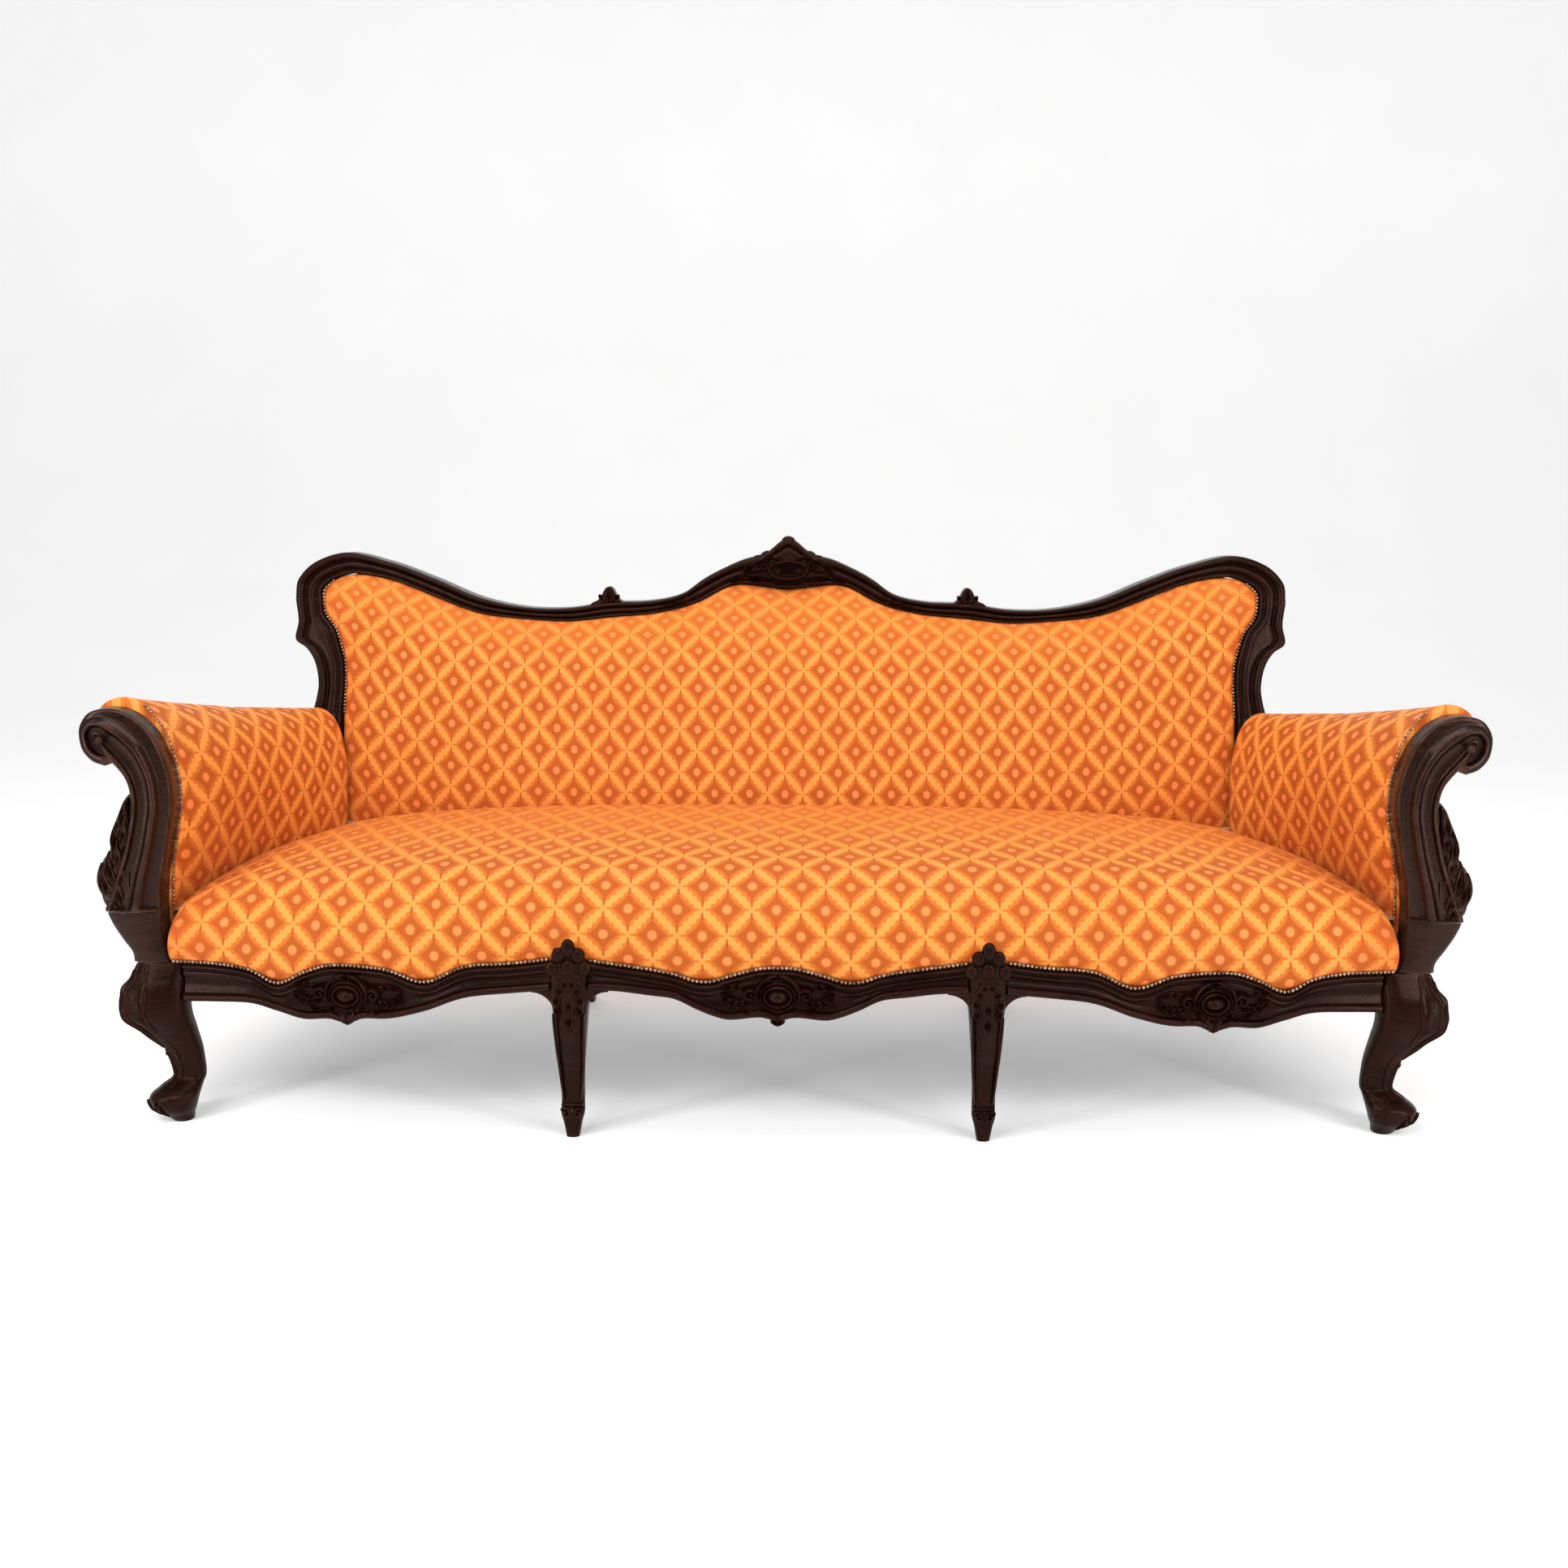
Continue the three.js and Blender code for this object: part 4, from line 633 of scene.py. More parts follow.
@dataclass(frozen=True)
class Jacquard(Finish):
    """A satin jacquard with a gold lattice on an orange ground."""

    name: str = "lattice_jacquard"
    cell: tuple[float, float] = (0.068, 0.081)
    ground: Colour = (0.57, 0.140, 0.012)
    gold: Colour = (0.82, 0.285, 0.048)
    line: Colour = (0.66, 0.205, 0.026)
    ring: Colour = (0.41, 0.078, 0.004)
    dot: Colour = (0.84, 0.230, 0.062)
    # deep is the colour of the painted shade in the blend below, and also of the real slub patches
    deep: Colour = (0.50, 0.070, 0.005)
    # mean is the colour that the painted sheen flattens the lattice to
    mean: Colour = (0.68, 0.190, 0.026)

    def lay(self, s: Coat, groups: Groups) -> None:
        """Lays the lattice on its cloth map, with the weave, the slubs, painted shade where the pads meet the frame
        and each other, and a painted sheen that flattens the pattern.
        """
        flat = s.node("ShaderNodeUVMap", uv_map="cloth").outputs["UV"]
        sway = s.vector("MULTIPLY_ADD", s.noise(s.place, 9.0, 2.0, out="Color"), (0.004, 0.004, 0.0), flat)
        figure = s.use(groups.lattice, Map=sway, Width=self.cell[0], Height=self.cell[1])
        weave = s.use(groups.weave, Map=flat, Pitch=0.0011)
        threads = s.feed(s.node("ShaderNodeMapping"), "Vector", {"Vector": flat, "Scale": (300.0, 2400.0, 1.0)})
        slub = s.noise(threads, 1.0, 3.0, 0.7)
        base = s.blend(s.times(figure["Ring"], 0.95), self.ground, self.ring)
        for share, colour in ((figure["Line"], self.line), (figure["Bar"], self.gold), (figure["Dot"], self.dot)):
            base = s.blend(share, base, colour)
        # painted sheen: flattens the lattice towards its mean colour where the cloth is seen at a grazing angle, at
        # the seat's rear and the back's top
        base = s.blend(s.attribute("faded"), base, self.mean)
        # painted shade: darkens and reddens the cloth towards the deep colour where the pads meet the frame and each
        # other, by the share stored on their points
        base = s.blend(s.times(s.attribute("recess"), 0.75), base, s.blend(0.5, base, self.deep))
        patchy = s.times(s.rise(s.math("ADD", slub, s.noise(s.place, 7.0, 3.0, 0.6)), 0.75, 1.35), 0.16)
        satin = s.math("MAXIMUM", figure["Bar"], figure["Dot"])
        s.shade(
            Base_Color=s.blend(patchy, base, self.deep), Roughness=s.tilt(slub, 0.12, s.tilt(satin, -0.14, 0.58)),
            Sheen_Weight=0.08, Sheen_Roughness=0.45, Sheen_Tint=(1.0, 0.72, 0.42), Specular_IOR_Level=0.22,
        )
        raised = s.math("ADD", s.times(satin, 0.55), s.times(figure["Line"], 0.35))
        height = s.math("ADD", raised, s.times(weave["Height"], 0.35))
        s.bump(s.tilt(slub, 0.25, height), 0.0009, 0.7)


@dataclass(frozen=True)
class PlainCloth(Finish):
    """A plain woven cloth, such as jute webbing, hessian or black lining."""

    warm: Colour
    cool: Colour
    pitch: float

    def lay(self, s: Coat, groups: Groups) -> None:
        """Lays the weave under a fuzz of loose fibres."""
        weave = s.use(groups.weave, Map=s.place, Pitch=self.pitch)
        fuzz = s.noise(s.place, 180.0, 4.0, 0.7)
        base = s.blend(weave["Warp"], self.warm, self.cool)
        base = s.blend(s.rise(fuzz, 0.3, 0.75), base, tuple(0.6 * c for c in self.warm))
        s.shade(Base_Color=base, Roughness=s.tilt(fuzz, 0.15, 0.8))
        s.bump(s.tilt(fuzz, 0.3, weave["Height"]), 0.0006, 0.8)


@dataclass(frozen=True)
class Metal(Finish):
    """A metal with a tarnish that breaks up its colour and its gloss."""

    bright: Colour
    tarnish: Colour
    gloss: tuple[float, float]
    spots: float

    def lay(self, s: Coat, groups: Groups) -> None:
        """Lays the tarnish in spots, with bright rubbed places."""
        patch = s.rise(s.noise(s.place, self.spots, 4.0, 0.65), 0.35, 0.65)
        wear = s.use(groups.wear, Place=s.place, Ridge=s.noise(s.place, 3 * self.spots, 2.0), Amount=0.5)
        base = s.blend(wear["Worn"], s.blend(patch, self.bright, self.tarnish), self.bright)
        rough = s.tilt(patch, self.gloss[1] - self.gloss[0], self.gloss[0])
        s.shade(Base_Color=base, Roughness=rough, Metallic=1.0)
        s.bump(patch, 0.0001, 0.4)


class Finishes:
    """Every finish of the settee, built once."""

    def __init__(self) -> None:
        """Builds the groups and the materials."""
        groups = Groups()
        self.show_wood = Timber(
            "polished_mahogany", (0.0040, 0.0006, 0.0003), (0.0120, 0.0024, 0.0014), (0.042, 0.016, 0.010),
            (0.20, 0.32), 0.35, 1.21,
        ).make(groups)
        # a lighter copy of the mahogany for the arm posts: partly painted highlight standing in for the light on the
        # posts' bands, partly rubbing wear on their carving
        self.rubbed_wood = Timber(
            "rubbed_mahogany", (0.0050, 0.0010, 0.0006), (0.015, 0.0042, 0.0025), (0.080, 0.040, 0.026),
            (0.14, 0.24), 0.6, 1.31,
        ).make(groups)
        self.inner_wood = Timber(
            "sawn_beech", (0.30, 0.17, 0.08), (0.50, 0.33, 0.18), (0.55, 0.38, 0.22), (0.6, 0.8), 0.3,
        ).make(groups)
        self.fabric = Jacquard().make(groups)
        self.jute = PlainCloth("jute_webbing", (0.36, 0.22, 0.09), (0.22, 0.13, 0.05), 0.004).make(groups)
        self.hessian = PlainCloth("hessian_cloth", (0.40, 0.27, 0.13), (0.24, 0.15, 0.07), 0.002).make(groups)
        self.lining = PlainCloth("black_lining", (0.014, 0.013, 0.013), (0.006, 0.006, 0.006), 0.0012).make(groups)
        self.steel = Metal("spring_wire", (0.42, 0.42, 0.43), (0.16, 0.13, 0.11), (0.3, 0.6), 90.0).make(groups)
        self.nail = Metal("antique_nail", (0.48, 0.32, 0.22), (0.050, 0.028, 0.018), (0.28, 0.5), 160.0).make(groups)


# --------------------------------------------------------------------------- carving


def sway_of(path: Points) -> Points:
    """Returns the unit normals of a path in its plane, to the left of its way."""
    along = np.gradient(path, axis=0)
    along /= np.maximum(np.linalg.norm(along, axis=1, keepdims=True), 1e-9)
    return np.stack([-along[:, 1], along[:, 0]], 1)


def section_over(place: Mapper, point: Points, normal: Points, across: Points, lift: Points) -> Points:
    """Draws one section over a carving's spine, with its foot sunk below the surface."""
    plan = point + normal * np.concatenate([across, [-across[0], across[0]]])[:, None]
    return place(plan[:, 0], plan[:, 1], np.concatenate([lift, [-SINK, -SINK]]))


def ridge_shell(place: Mapper, path: Points, half: Points, height: Points) -> Shell:
    """Carves a half-round ridge along a path.

    Args:
        place: Maps the flat plan to the surface.
        path: Points of the path in the plan.
        half: Half width at each point.
        height: Height at each point.

    Returns:
        The shell.
    """
    turn = np.linspace(0, math.pi, 7)
    halves, heights = np.broadcast_to(half, len(path)), np.broadcast_to(height, len(path))
    return Shell.loft([
        section_over(place, p, n, w * np.cos(turn), h * np.sin(turn) ** 0.8)
        for p, n, w, h in zip(path, sway_of(path), halves, heights)
    ])


def leaf_shell(place: Mapper, spine: Points, width: float, height: float, lobes: int = 4) -> Shell:
    """Carves a lobed leaf along a spine, hollowed beside a raised vein, its tip standing out further.

    Args:
        place: Maps the flat plan to the surface.
        spine: A few points from the leaf's stalk to its tip.
        width: Half width at the widest place.
        height: Height above the surface.
        lobes: Lobes along each side.

    Returns:
        The shell.
    """
    rows, columns, curl = 6 * lobes + 7, 13, 0.35
    path = curve_through(spine, rows)
    across = np.linspace(1, -1, columns)
    dome = np.sqrt(np.maximum(1 - 0.92 * across**2, 0))
    vein = 0.30 * np.exp(-((across / 0.13) ** 2)) - 0.24 * np.exp(-(((np.abs(across) - 0.34) / 0.2) ** 2))
    rings = []
    for i, (p, n) in enumerate(zip(path, sway_of(path))):
        s = i / (rows - 1)
        wave = abs(math.sin(math.pi * lobes * s**0.9))
        body = math.sin(math.pi * min(0.12 + 0.88 * s**0.85, 1)) ** 0.55
        w = width * max(body, 0.02) * (0.68 + 0.32 * wave)
        flute = 0.18 * np.cos(2 * math.pi * (lobes * s + 0.9 * np.abs(across)))
        relief = 0.82 * dome + flute * (1 - across**2) + vein
        lift = height * (1 - curl + curl * s) * relief * min(1, 6 * (1.03 - s))
        rings.append(section_over(place, p, n, w * across, lift))
    return Shell.loft(rings)


def leaves(place: Mapper, centre: Points, turn: Sequence[float], drawn: Sequence[tuple]) -> list[Shell]:
    """Carves leaves round a centre.

    Args:
        place: Maps the flat plan to the surface.
        centre: The point that their spines are measured from.
        turn: The sign of each of the plan's directions.
        drawn: For each leaf its spine, its half width, its height and its lobes.

    Returns:
        The shells.
    """
    turn = np.array(turn, float)
    return [leaf_shell(place, centre + turn * np.array(spine), *sizes) for spine, *sizes in drawn]


def dome_shell(
    place: Mapper, centre: Sequence[float], half: Sequence[float], height: float, dish: float = 0.0
) -> Shell:
    """Carves an oval boss, or a dished one.

    Args:
        place: Maps the flat plan to the surface.
        centre: Its middle in the plan.
        half: Half its width and half its height in the plan.
        height: Height above the surface.
        dish: Share of the height by which the middle is hollowed.

    Returns:
        The shell.
    """
    rings = []
    for share in (1.0, 1.0, 0.96, 0.88, 0.76, 0.6, 0.42, 0.22, 0.05):
        lift = -SINK if not rings else height * (math.sqrt(1 - 0.97 * share**2) - dish * (1 - share**2) ** 1.5)
        flat = oval(centre, (half[0] * share, half[1] * share), 33)[:-1]
        rings.append(place(flat[:, 0], flat[:, 1], np.full(len(flat), lift)))
    return Shell.loft(rings)


def oval(centre: Sequence[float], half: Sequence[float], count: int = 49) -> Points:
    """Returns a closed oval path in a plan."""
    turn = np.linspace(0, 2 * math.pi, count)
    return np.stack([centre[0] + half[0] * np.cos(turn), centre[1] + half[1] * np.sin(turn)], 1)


def spiral(centre: Sequence[float], radius: float, start: float, turns: float, inner: float = 0.15) -> Points:
    """Returns a path that winds in to a centre.

    Args:
        centre: The middle of the scroll in the plan.
        radius: Radius at the start.
        start: Angle at the start in radians.
        turns: Turns, negative for the other way round.
        inner: Share of the radius that is left at the end.

    Returns:
        The path's points.
    """
    share = np.linspace(0, 1, int(36 * abs(turns)) + 2)
    r = radius * (1 - (1 - inner) * share**0.85)
    turn = start + 2 * math.pi * turns * share
    return np.stack([centre[0] + r * np.cos(turn), centre[1] + r * np.sin(turn)], 1)


def tapered(count: int, full: float, ends: float = 0.25) -> Points:
    """Returns sizes that swell from small ends to a full middle."""
    share = np.linspace(0, 1, count)
    return full * (ends + (1 - ends) * np.sin(math.pi * share) ** 0.6)


def face_map(y_of: Callable[[Points, Points], Points], middle: float = 0.0) -> Mapper:
    """Returns a map from a plan to a face.

    Args:
        y_of: Gives the face's Y from X and Z in the plan.
        middle: X that the plan's own X is measured from.

    Returns:
        The map: it takes X, Z and a height in front of the face.
    """

    def place(a: Points, b: Points, h: Points) -> Points:
        """Maps points of the plan, each with its height."""
        a, b, h = np.broadcast_arrays(a, b, h)
        return np.stack([middle + a, y_of(a, b) - h, b], -1)

    return place


on_back = face_map(lambda x, z: LAYOUT.rake_y(z))
on_front = face_map(lambda x, z: LAYOUT.face_y(x))
on_post = face_map(lambda x, z: LAYOUT.post_y)


def plate_shell(outline: Points, front: float, rear: float, bevel: float) -> Shell:
    """Makes a plate with an outline in X and Z and softened edges.

    Args:
        outline: The plate's outline, in turn.
        front: Y of its face.
        rear: Y of its rear.
        bevel: Width of the softened edge.

    Returns:
        The shell.
    """
    nxt = np.roll(outline, -1, 0) - np.roll(outline, 1, 0)
    nxt /= np.maximum(np.linalg.norm(nxt, axis=1, keepdims=True), 1e-9)
    inward = np.stack([-nxt[:, 1], nxt[:, 0]], 1)
    area = np.sum(outline[:, 0] * np.roll(outline[:, 1], -1) - np.roll(outline[:, 0], -1) * outline[:, 1])
    inward *= 1 if area > 0 else -1
    rings = []
    soft = bevel * 0.3
    for inset, y in ((bevel, front), (soft, front + soft), (0, front + bevel), (0, rear - bevel), (bevel, rear)):
        p = outline + inward * inset
        rings.append(np.stack([p[:, 0], np.full(len(p), y), p[:, 1]], 1))
    return Shell.loft(rings)


@dataclass
class Carved:
    """One piece of show wood, drawn for the middle or the right, and mirrored for the left."""

    side: Side = Side.RIGHT
    stem: ClassVar[str] = ""
    finish: ClassVar[str] = "show_wood"

    def shells(self) -> list[Shell]:
        """Draws the piece's closed shells."""
        raise NotImplementedError

    def make(self, finishes: Finishes) -> bpy.types.Object:
        """Builds the piece.

        Args:
            finishes: The settee's finishes.

        Returns:
            The piece, tied to the solid of its own name.
        """
        name = self.stem.format(self.side.name.lower())
        shells = [shell.mirrored(self.side) for shell in self.shells()]
        piece = build(name, shells, getattr(finishes, self.finish), WOOD_CREASE)
        mark_ridges(piece)
        return declare(piece, "show_wood", name)


# --------------------------------------------------------------------------- the back frame

RAIL_PROFILE_SHARES = (
    (0, 0), (0.03, 0.35), (0.08, 0.55), (0.14, 0.5), (0.17, 0.25), (0.21, 0.2), (0.27, 0.45), (0.36, 0.72),
    (0.46, 0.78), (0.55, 0.6), (0.60, 0.35), (0.64, 0.32), (0.68, 0.6), (0.76, 0.92), (0.85, 1.0),
    (0.93, 0.88), (0.98, 0.55), (1, 0.1),
)
REAR_DEPTHS = np.array([0.5, 0.9, 1.0, 1.0, 0.9, 0.5])


def moulded_rings(pairs: Points, hollow: float = 0.0) -> list[Points]:
    """Draws the moulding of the back frame across pairs of outer and inner points.

    Args:
        pairs: Rows of outer X and Z, then inner X and Z.
        hollow: How far a wide field is hollowed between its beads, as a share of the moulding's depth.

    Returns:
        One ring for each pair.
    """
    profile = curve_through(RAIL_PROFILE_SHARES, 37)
    t, h = profile[:, 0], profile[:, 1]
    rings = []
    for outer, inner in zip(pairs[:, :2], pairs[:, 2:]):
        width = float(np.linalg.norm(outer - inner))
        bead = min(0.052 / width, 1.0)
        share = np.where(t < 0.4, t * bead, 1 - (1 - t) * bead)
        middle = (t >= 0.4) & (t <= 0.57)
        share[middle] = np.interp(t[middle], (0.4, 0.57), (0.4 * bead, 1 - 0.43 * bead))
        lift = h - hollow * middle * np.sin(math.pi * np.clip((t - 0.4) / 0.17, 0, 1)) * (1 - bead)
        face = inner + (outer - inner) * share[:, None]
        front = on_back(face[:, 0], face[:, 1], LAYOUT.proud * lift)
        rear = inner + (outer - inner) * np.array([[1.0], [1.0], [0.96], [0.04], [0.0], [0.0]])
        depth = LAYOUT.back_thick * np.array([-0.3, -0.93, -1.0, -1.0, -0.93, -0.3])
        rings.append(np.concatenate([front, on_back(rear[:, 0], rear[:, 1], depth)]))
    return rings


def outline_pairs(shares: Sequence, count: int) -> Points:
    """Samples an outline of the back in metres."""
    drawn = curve_through(shares, count)
    return np.concatenate([LAYOUT.back_point(drawn[:, :2]), LAYOUT.back_point(drawn[:, 2:])], 1)


@dataclass
class CrestRail(Carved):
    """The pointed crest: its moulding, the recessed cabochon and the leaves on either side."""

    stem: ClassVar[str] = "crest_rail_center"
    steps: int = 34
    boss_share: float = 0.80
    boss_half: tuple[float, float] = (0.037, 0.0165)

    def carving(self) -> list[Shell]:
        """Carves the cabochon, its rings and bars, the knob and the leaves."""
        centre = np.array((0.0, LAYOUT.back_point((0, self.boss_share))[1]))
        wide, high = self.boss_half
        shells = [
            ridge_shell(on_back, oval(centre, (wide, high)), 0.0042, 0.0165),
            ridge_shell(on_back, oval(centre, (0.76 * wide, 0.66 * high)), 0.0024, 0.0135),
            dome_shell(on_back, centre, (0.98 * wide, 0.95 * high), 0.0105, 0.3),
        ]
        for row in (-0.3, 0.0, 0.3):
            bar = np.stack([np.linspace(-0.46, 0.46, 13) * wide, np.full(13, centre[1] + row * high)], 1)
            shells.append(ridge_shell(on_back, bar, tapered(13, 0.0018), 0.0125))
        shells.append(dome_shell(on_back, (0.0, LAYOUT.crest_height - 0.0105), (0.0135, 0.0100), 0.0135))
        arch = curve_through(((0.0, 0.033), (0.020, 0.029), (0.046, 0.0235), (0.070, 0.0235)), 30)
        for sign in (1, -1):
            bow = arch * (sign, -1) + centre
            shells.append(ridge_shell(on_back, bow, tapered(30, 0.0026, 0.5), tapered(30, 0.0150, 0.7)))
        for sign in (1, -1):
            shells += leaves(on_back, centre, (sign, 1), (
                (((0.012, 0.018), (0.040, 0.024), (0.066, 0.012), (0.090, -0.010)), 0.0135, 0.0185, 4),
                (((0.036, -0.002), (0.062, -0.002), (0.088, -0.010), (0.112, -0.026)), 0.0125, 0.0180, 4),
                (((0.010, -0.016), (0.034, -0.016), (0.056, -0.012), (0.076, -0.018)), 0.0075, 0.0150, 3),
            ))
            scroll = spiral(centre + (sign * 0.047, 0.008), 0.010, 1.2, 1.1 * sign)
            shells.append(ridge_shell(on_back, scroll, 0.003, 0.0175))
        return shells

    def shells(self) -> list[Shell]:
        """Draws the crest."""
        half = outline_pairs(CREST_SHARES, self.steps)
        pairs = np.concatenate([half[:0:-1] * np.array([-1, 1, -1, 1]), half])
        return [Shell.loft(moulded_rings(pairs, 0.5)), *self.carving()]


@dataclass
class TopRail(Carved):
    """One serpentine top rail, from the crest over the ear to the stile, with a leaf where it leaves the crest."""

    stem: ClassVar[str] = "top_rail_{}"
    steps: int = 110

    def shells(self) -> list[Shell]:
        """Draws the rail and its leaf."""
        spine = LAYOUT.back_point([(0.178, 0.668), (0.2, 0.632), (0.228, 0.606), (0.262, 0.588)])
        rail = Shell.loft(moulded_rings(outline_pairs(TOP_RAIL_SHARES, self.steps), 0.3))
        return [rail, leaf_shell(on_back, spine, 0.0085, 0.0155, 4)]


@dataclass
class RailFinial(Carved):
    """One small finial on the low of the top rail: a middle leaf between two that lean out."""

    stem: ClassVar[str] = "rail_finial_{}"
    centre: float = 0.3457
    half: float = 0.023
    height: float = 0.033

    def shells(self) -> list[Shell]:
        """Draws the finial's plate and leaves."""
        base = float(LAYOUT.back_point((0.36, 0.602))[1])
        y = float(LAYOUT.rake_y(base))
        half = ((1.15, -0.1), (1.05, 0.06), (0.72, 0.2), (0.48, 0.44), (0.32, 0.76), (0.16, 0.95), (0, 1))
        half = curve_through(half, 20)
        outline = np.concatenate([half[:-1] * (-1, 1), half[::-1]])
        outline = outline * (1.35 * self.half, self.height) + (self.centre, base)
        shells = [plate_shell(outline, y - 0.006, y + 0.028, 0.003)]
        for lean, width in ((0.0, 0.0085), (0.7, 0.006), (-0.7, 0.006)):
            tip = (lean, 0.98 - 0.62 * abs(lean))
            spine = np.array([(0.2 * lean, -0.1), (0.5 * lean, 0.2), (0.8 * lean, 0.4), tip])
            spine = spine * (1.25 * self.half, self.height) + (self.centre, base)
            shells.append(leaf_shell(face_map(lambda x, z: y - 0.002), spine, width, 0.010, 2))
        return shells


def sweep_y(z: float) -> float:
    """Returns how far a back leg is swept to the rear at a level."""
    return LAYOUT.rear_kick * (1 - min(z / LAYOUT.leg_top, 1)) ** 1.5


def shaft_ring(centre: float, half: float, z: float, face: int, ahead: float = 0.0) -> Points:
    """Draws a rounded square section of a back leg.

    Args:
        centre: X of the leg's middle.
        half: Half its width.
        z: The section's level.
        face: Points along the face.
        ahead: How far the face stands in front of the back's plane.

    Returns:
        The ring.
    """
    share = min(z / LAYOUT.leg_top, 1)
    front = float(LAYOUT.rake_y(max(z, LAYOUT.leg_top))) + sweep_y(z)
    thick = LAYOUT.foot_thick + (LAYOUT.back_thick - LAYOUT.foot_thick) * share
    x = np.linspace(-1, 1, face)
    corner = np.maximum((np.abs(x) - 0.62) / 0.38, 0)
    y = front - ahead + 0.38 * half * (1 - np.sqrt(np.maximum(1 - corner**2, 0)))
    edge = np.array([1, 1, 0.9, -0.9, -1, -1])
    x, y = centre + half * np.concatenate([x, edge]), np.concatenate([y, front + thick * REAR_DEPTHS])
    return np.stack([x, y, np.full(len(x), z)], 1)


@dataclass
class BackPost(Carved):
    """One moulded stile that runs down into a rear leg swept to its foot."""

    stem: ClassVar[str] = "back_post_{}"
    steps: int = 60
    foot_share: float = 0.928

    def shells(self) -> list[Shell]:
        """Draws the stile and the leg as one skin, thicker behind the arm."""
        rings = moulded_rings(outline_pairs(STILE_SHARES, self.steps), 0.2)
        count = len(rings[0]) - len(REAR_DEPTHS)
        foot = self.foot_share * LAYOUT.back_half
        for level in np.concatenate([np.linspace(2.05, 1.0, 16), np.linspace(0.93, 0.0, 18)]):
            half = (LAYOUT.foot_thick + (0.06 * LAYOUT.back_half - LAYOUT.foot_thick) * min(level, 1)) / 2
            ahead = LAYOUT.proud * float(smooth_step(1.0, 1.06, level))
            rings.append(shaft_ring(foot, half, level * LAYOUT.leg_top, count, ahead))
        return [Shell.loft(rings)]


@dataclass
class RearMiddleLeg(Carved):
    """One plain rear leg under the rear rail."""

    stem: ClassVar[str] = "rear_leg_mid_{}"
    centre: float = 0.400

    def shells(self) -> list[Shell]:
        """Draws the leg's softened, swept shaft."""
        rings = []
        for z in np.linspace(LAYOUT.frame_bottom - HAIR, 0, 22):
            half = (LAYOUT.foot_thick + (LAYOUT.back_thick - LAYOUT.foot_thick) * z / LAYOUT.leg_top) / 2
            rings.append(shaft_ring(self.centre, half, float(z), 15))
        return [Shell.loft(rings)]


@dataclass
class RearRail(Carved):
    """The rear rail of the seat frame."""

    stem: ClassVar[str] = "rear_rail"

    def shells(self) -> list[Shell]:
        """Draws the rail as a bar with softened edges."""
        half = LAYOUT.stile_inner - SEAM
        shares = np.array([
            (0.06, 0), (0.94, 0), (0.985, 0.015), (1, 0.06), (1, 0.94), (0.985, 0.985), (0.94, 1), (0.06, 1),
            (0.015, 0.985), (0, 0.94), (0, 0.06), (0.015, 0.015),
        ])
        y = float(LAYOUT.rake_y(LAYOUT.leg_top)) + HAIR + shares[:, 0] * LAYOUT.rail_thick
        z = LAYOUT.frame_bottom + shares[:, 1] * (LAYOUT.leg_top - LAYOUT.frame_bottom)
        return [Shell.loft([np.stack([np.full(len(y), x), y, z], 1) for x in np.linspace(-half, half, 25)])]


# --------------------------------------------------------------------------- the front frame

BAY_FROM = LAYOUT.mid_leg_x + LAYOUT.mid_leg_half
BAY_TO = LAYOUT.mid_leg_x - LAYOUT.mid_leg_half


def bay_stations(shares: Sequence, start: float, end: float, count: int) -> Points:
    """Samples a bay of the front: X, then the level of the apron's top and of its bottom edge."""
    drawn = curve_through(shares, count)
    return np.stack([
        start + (end - start) * drawn[:, 0],
        LAYOUT.apron_low + drawn[:, 1] * LAYOUT.apron_depth,
        LAYOUT.apron_low + drawn[:, 2] * LAYOUT.apron_depth,
    ], 1)


SIDE_BAY = bay_stations(SIDE_BAY_SHARES, BAY_FROM, LAYOUT.leg_inner, 97)
MIDDLE_BAY = bay_stations(MIDDLE_BAY_SHARES, 0.0, BAY_TO, 49)


def apron_top(x: Points) -> Points:
    """Returns the level of the front frame's top edge at X."""
    reach = np.abs(np.asarray(x, float))
    middle = np.interp(reach, MIDDLE_BAY[:, 0], MIDDLE_BAY[:, 1])
    side = np.interp(reach, SIDE_BAY[:, 0], SIDE_BAY[:, 1])
    level = np.where(reach < BAY_TO, middle, side)
    return np.where(reach >= LAYOUT.leg_inner, LAYOUT.leg_top + SLIT, level)


APRON_UPPER = (
    (0, 0.1), (0.0015, 0.5), (0.004, 0.75), (0.0065, 0.55), (0.008, 0.1), (0.0105, 0.05), (0.013, 0.3),
    (0.016, 0.35),
)
APRON_LOWER = ((0.016, 0.2), (0.0145, 0.25), (0.012, 0.7), (0.008, 1.0), (0.004, 0.9), (0.001, 0.5), (0, 0.0))


def apron_ring(x: float, top: float, bottom: float) -> Points:
    """Draws a section of an apron: a bead on top, a cove and a heavier bead below."""
    deep = top - bottom
    fit = min(1.0, deep / 0.036)
    upper = curve_through(APRON_UPPER, 17) * (fit, 1)
    lower = curve_through(APRON_LOWER, 15) * (fit, 1)
    down = np.linspace(upper[-1, 0], deep - lower[0, 0], 8)[1:-1]
    cove = 0.3 - 0.45 * np.sin(math.pi * np.linspace(0, 1, 8)[1:-1]) * min(deep / 0.06, 1)
    drop = np.concatenate([upper[:, 0], down, deep - lower[:, 0]])
    lift = np.concatenate([upper[:, 1], cove, lower[:, 1]])
    face = float(LAYOUT.face_y(x))
    front = on_front(x, top - drop, 0.0105 * lift)
    rear_bottom = max(bottom, LAYOUT.frame_bottom)
    rear = np.array([
        (x, face + LAYOUT.rail_thick / 3, bottom), (x, face + LAYOUT.rail_thick, rear_bottom),
        (x, face + LAYOUT.rail_thick, top), (x, face + 0.002, top),
    ])
    return np.concatenate([front, rear])


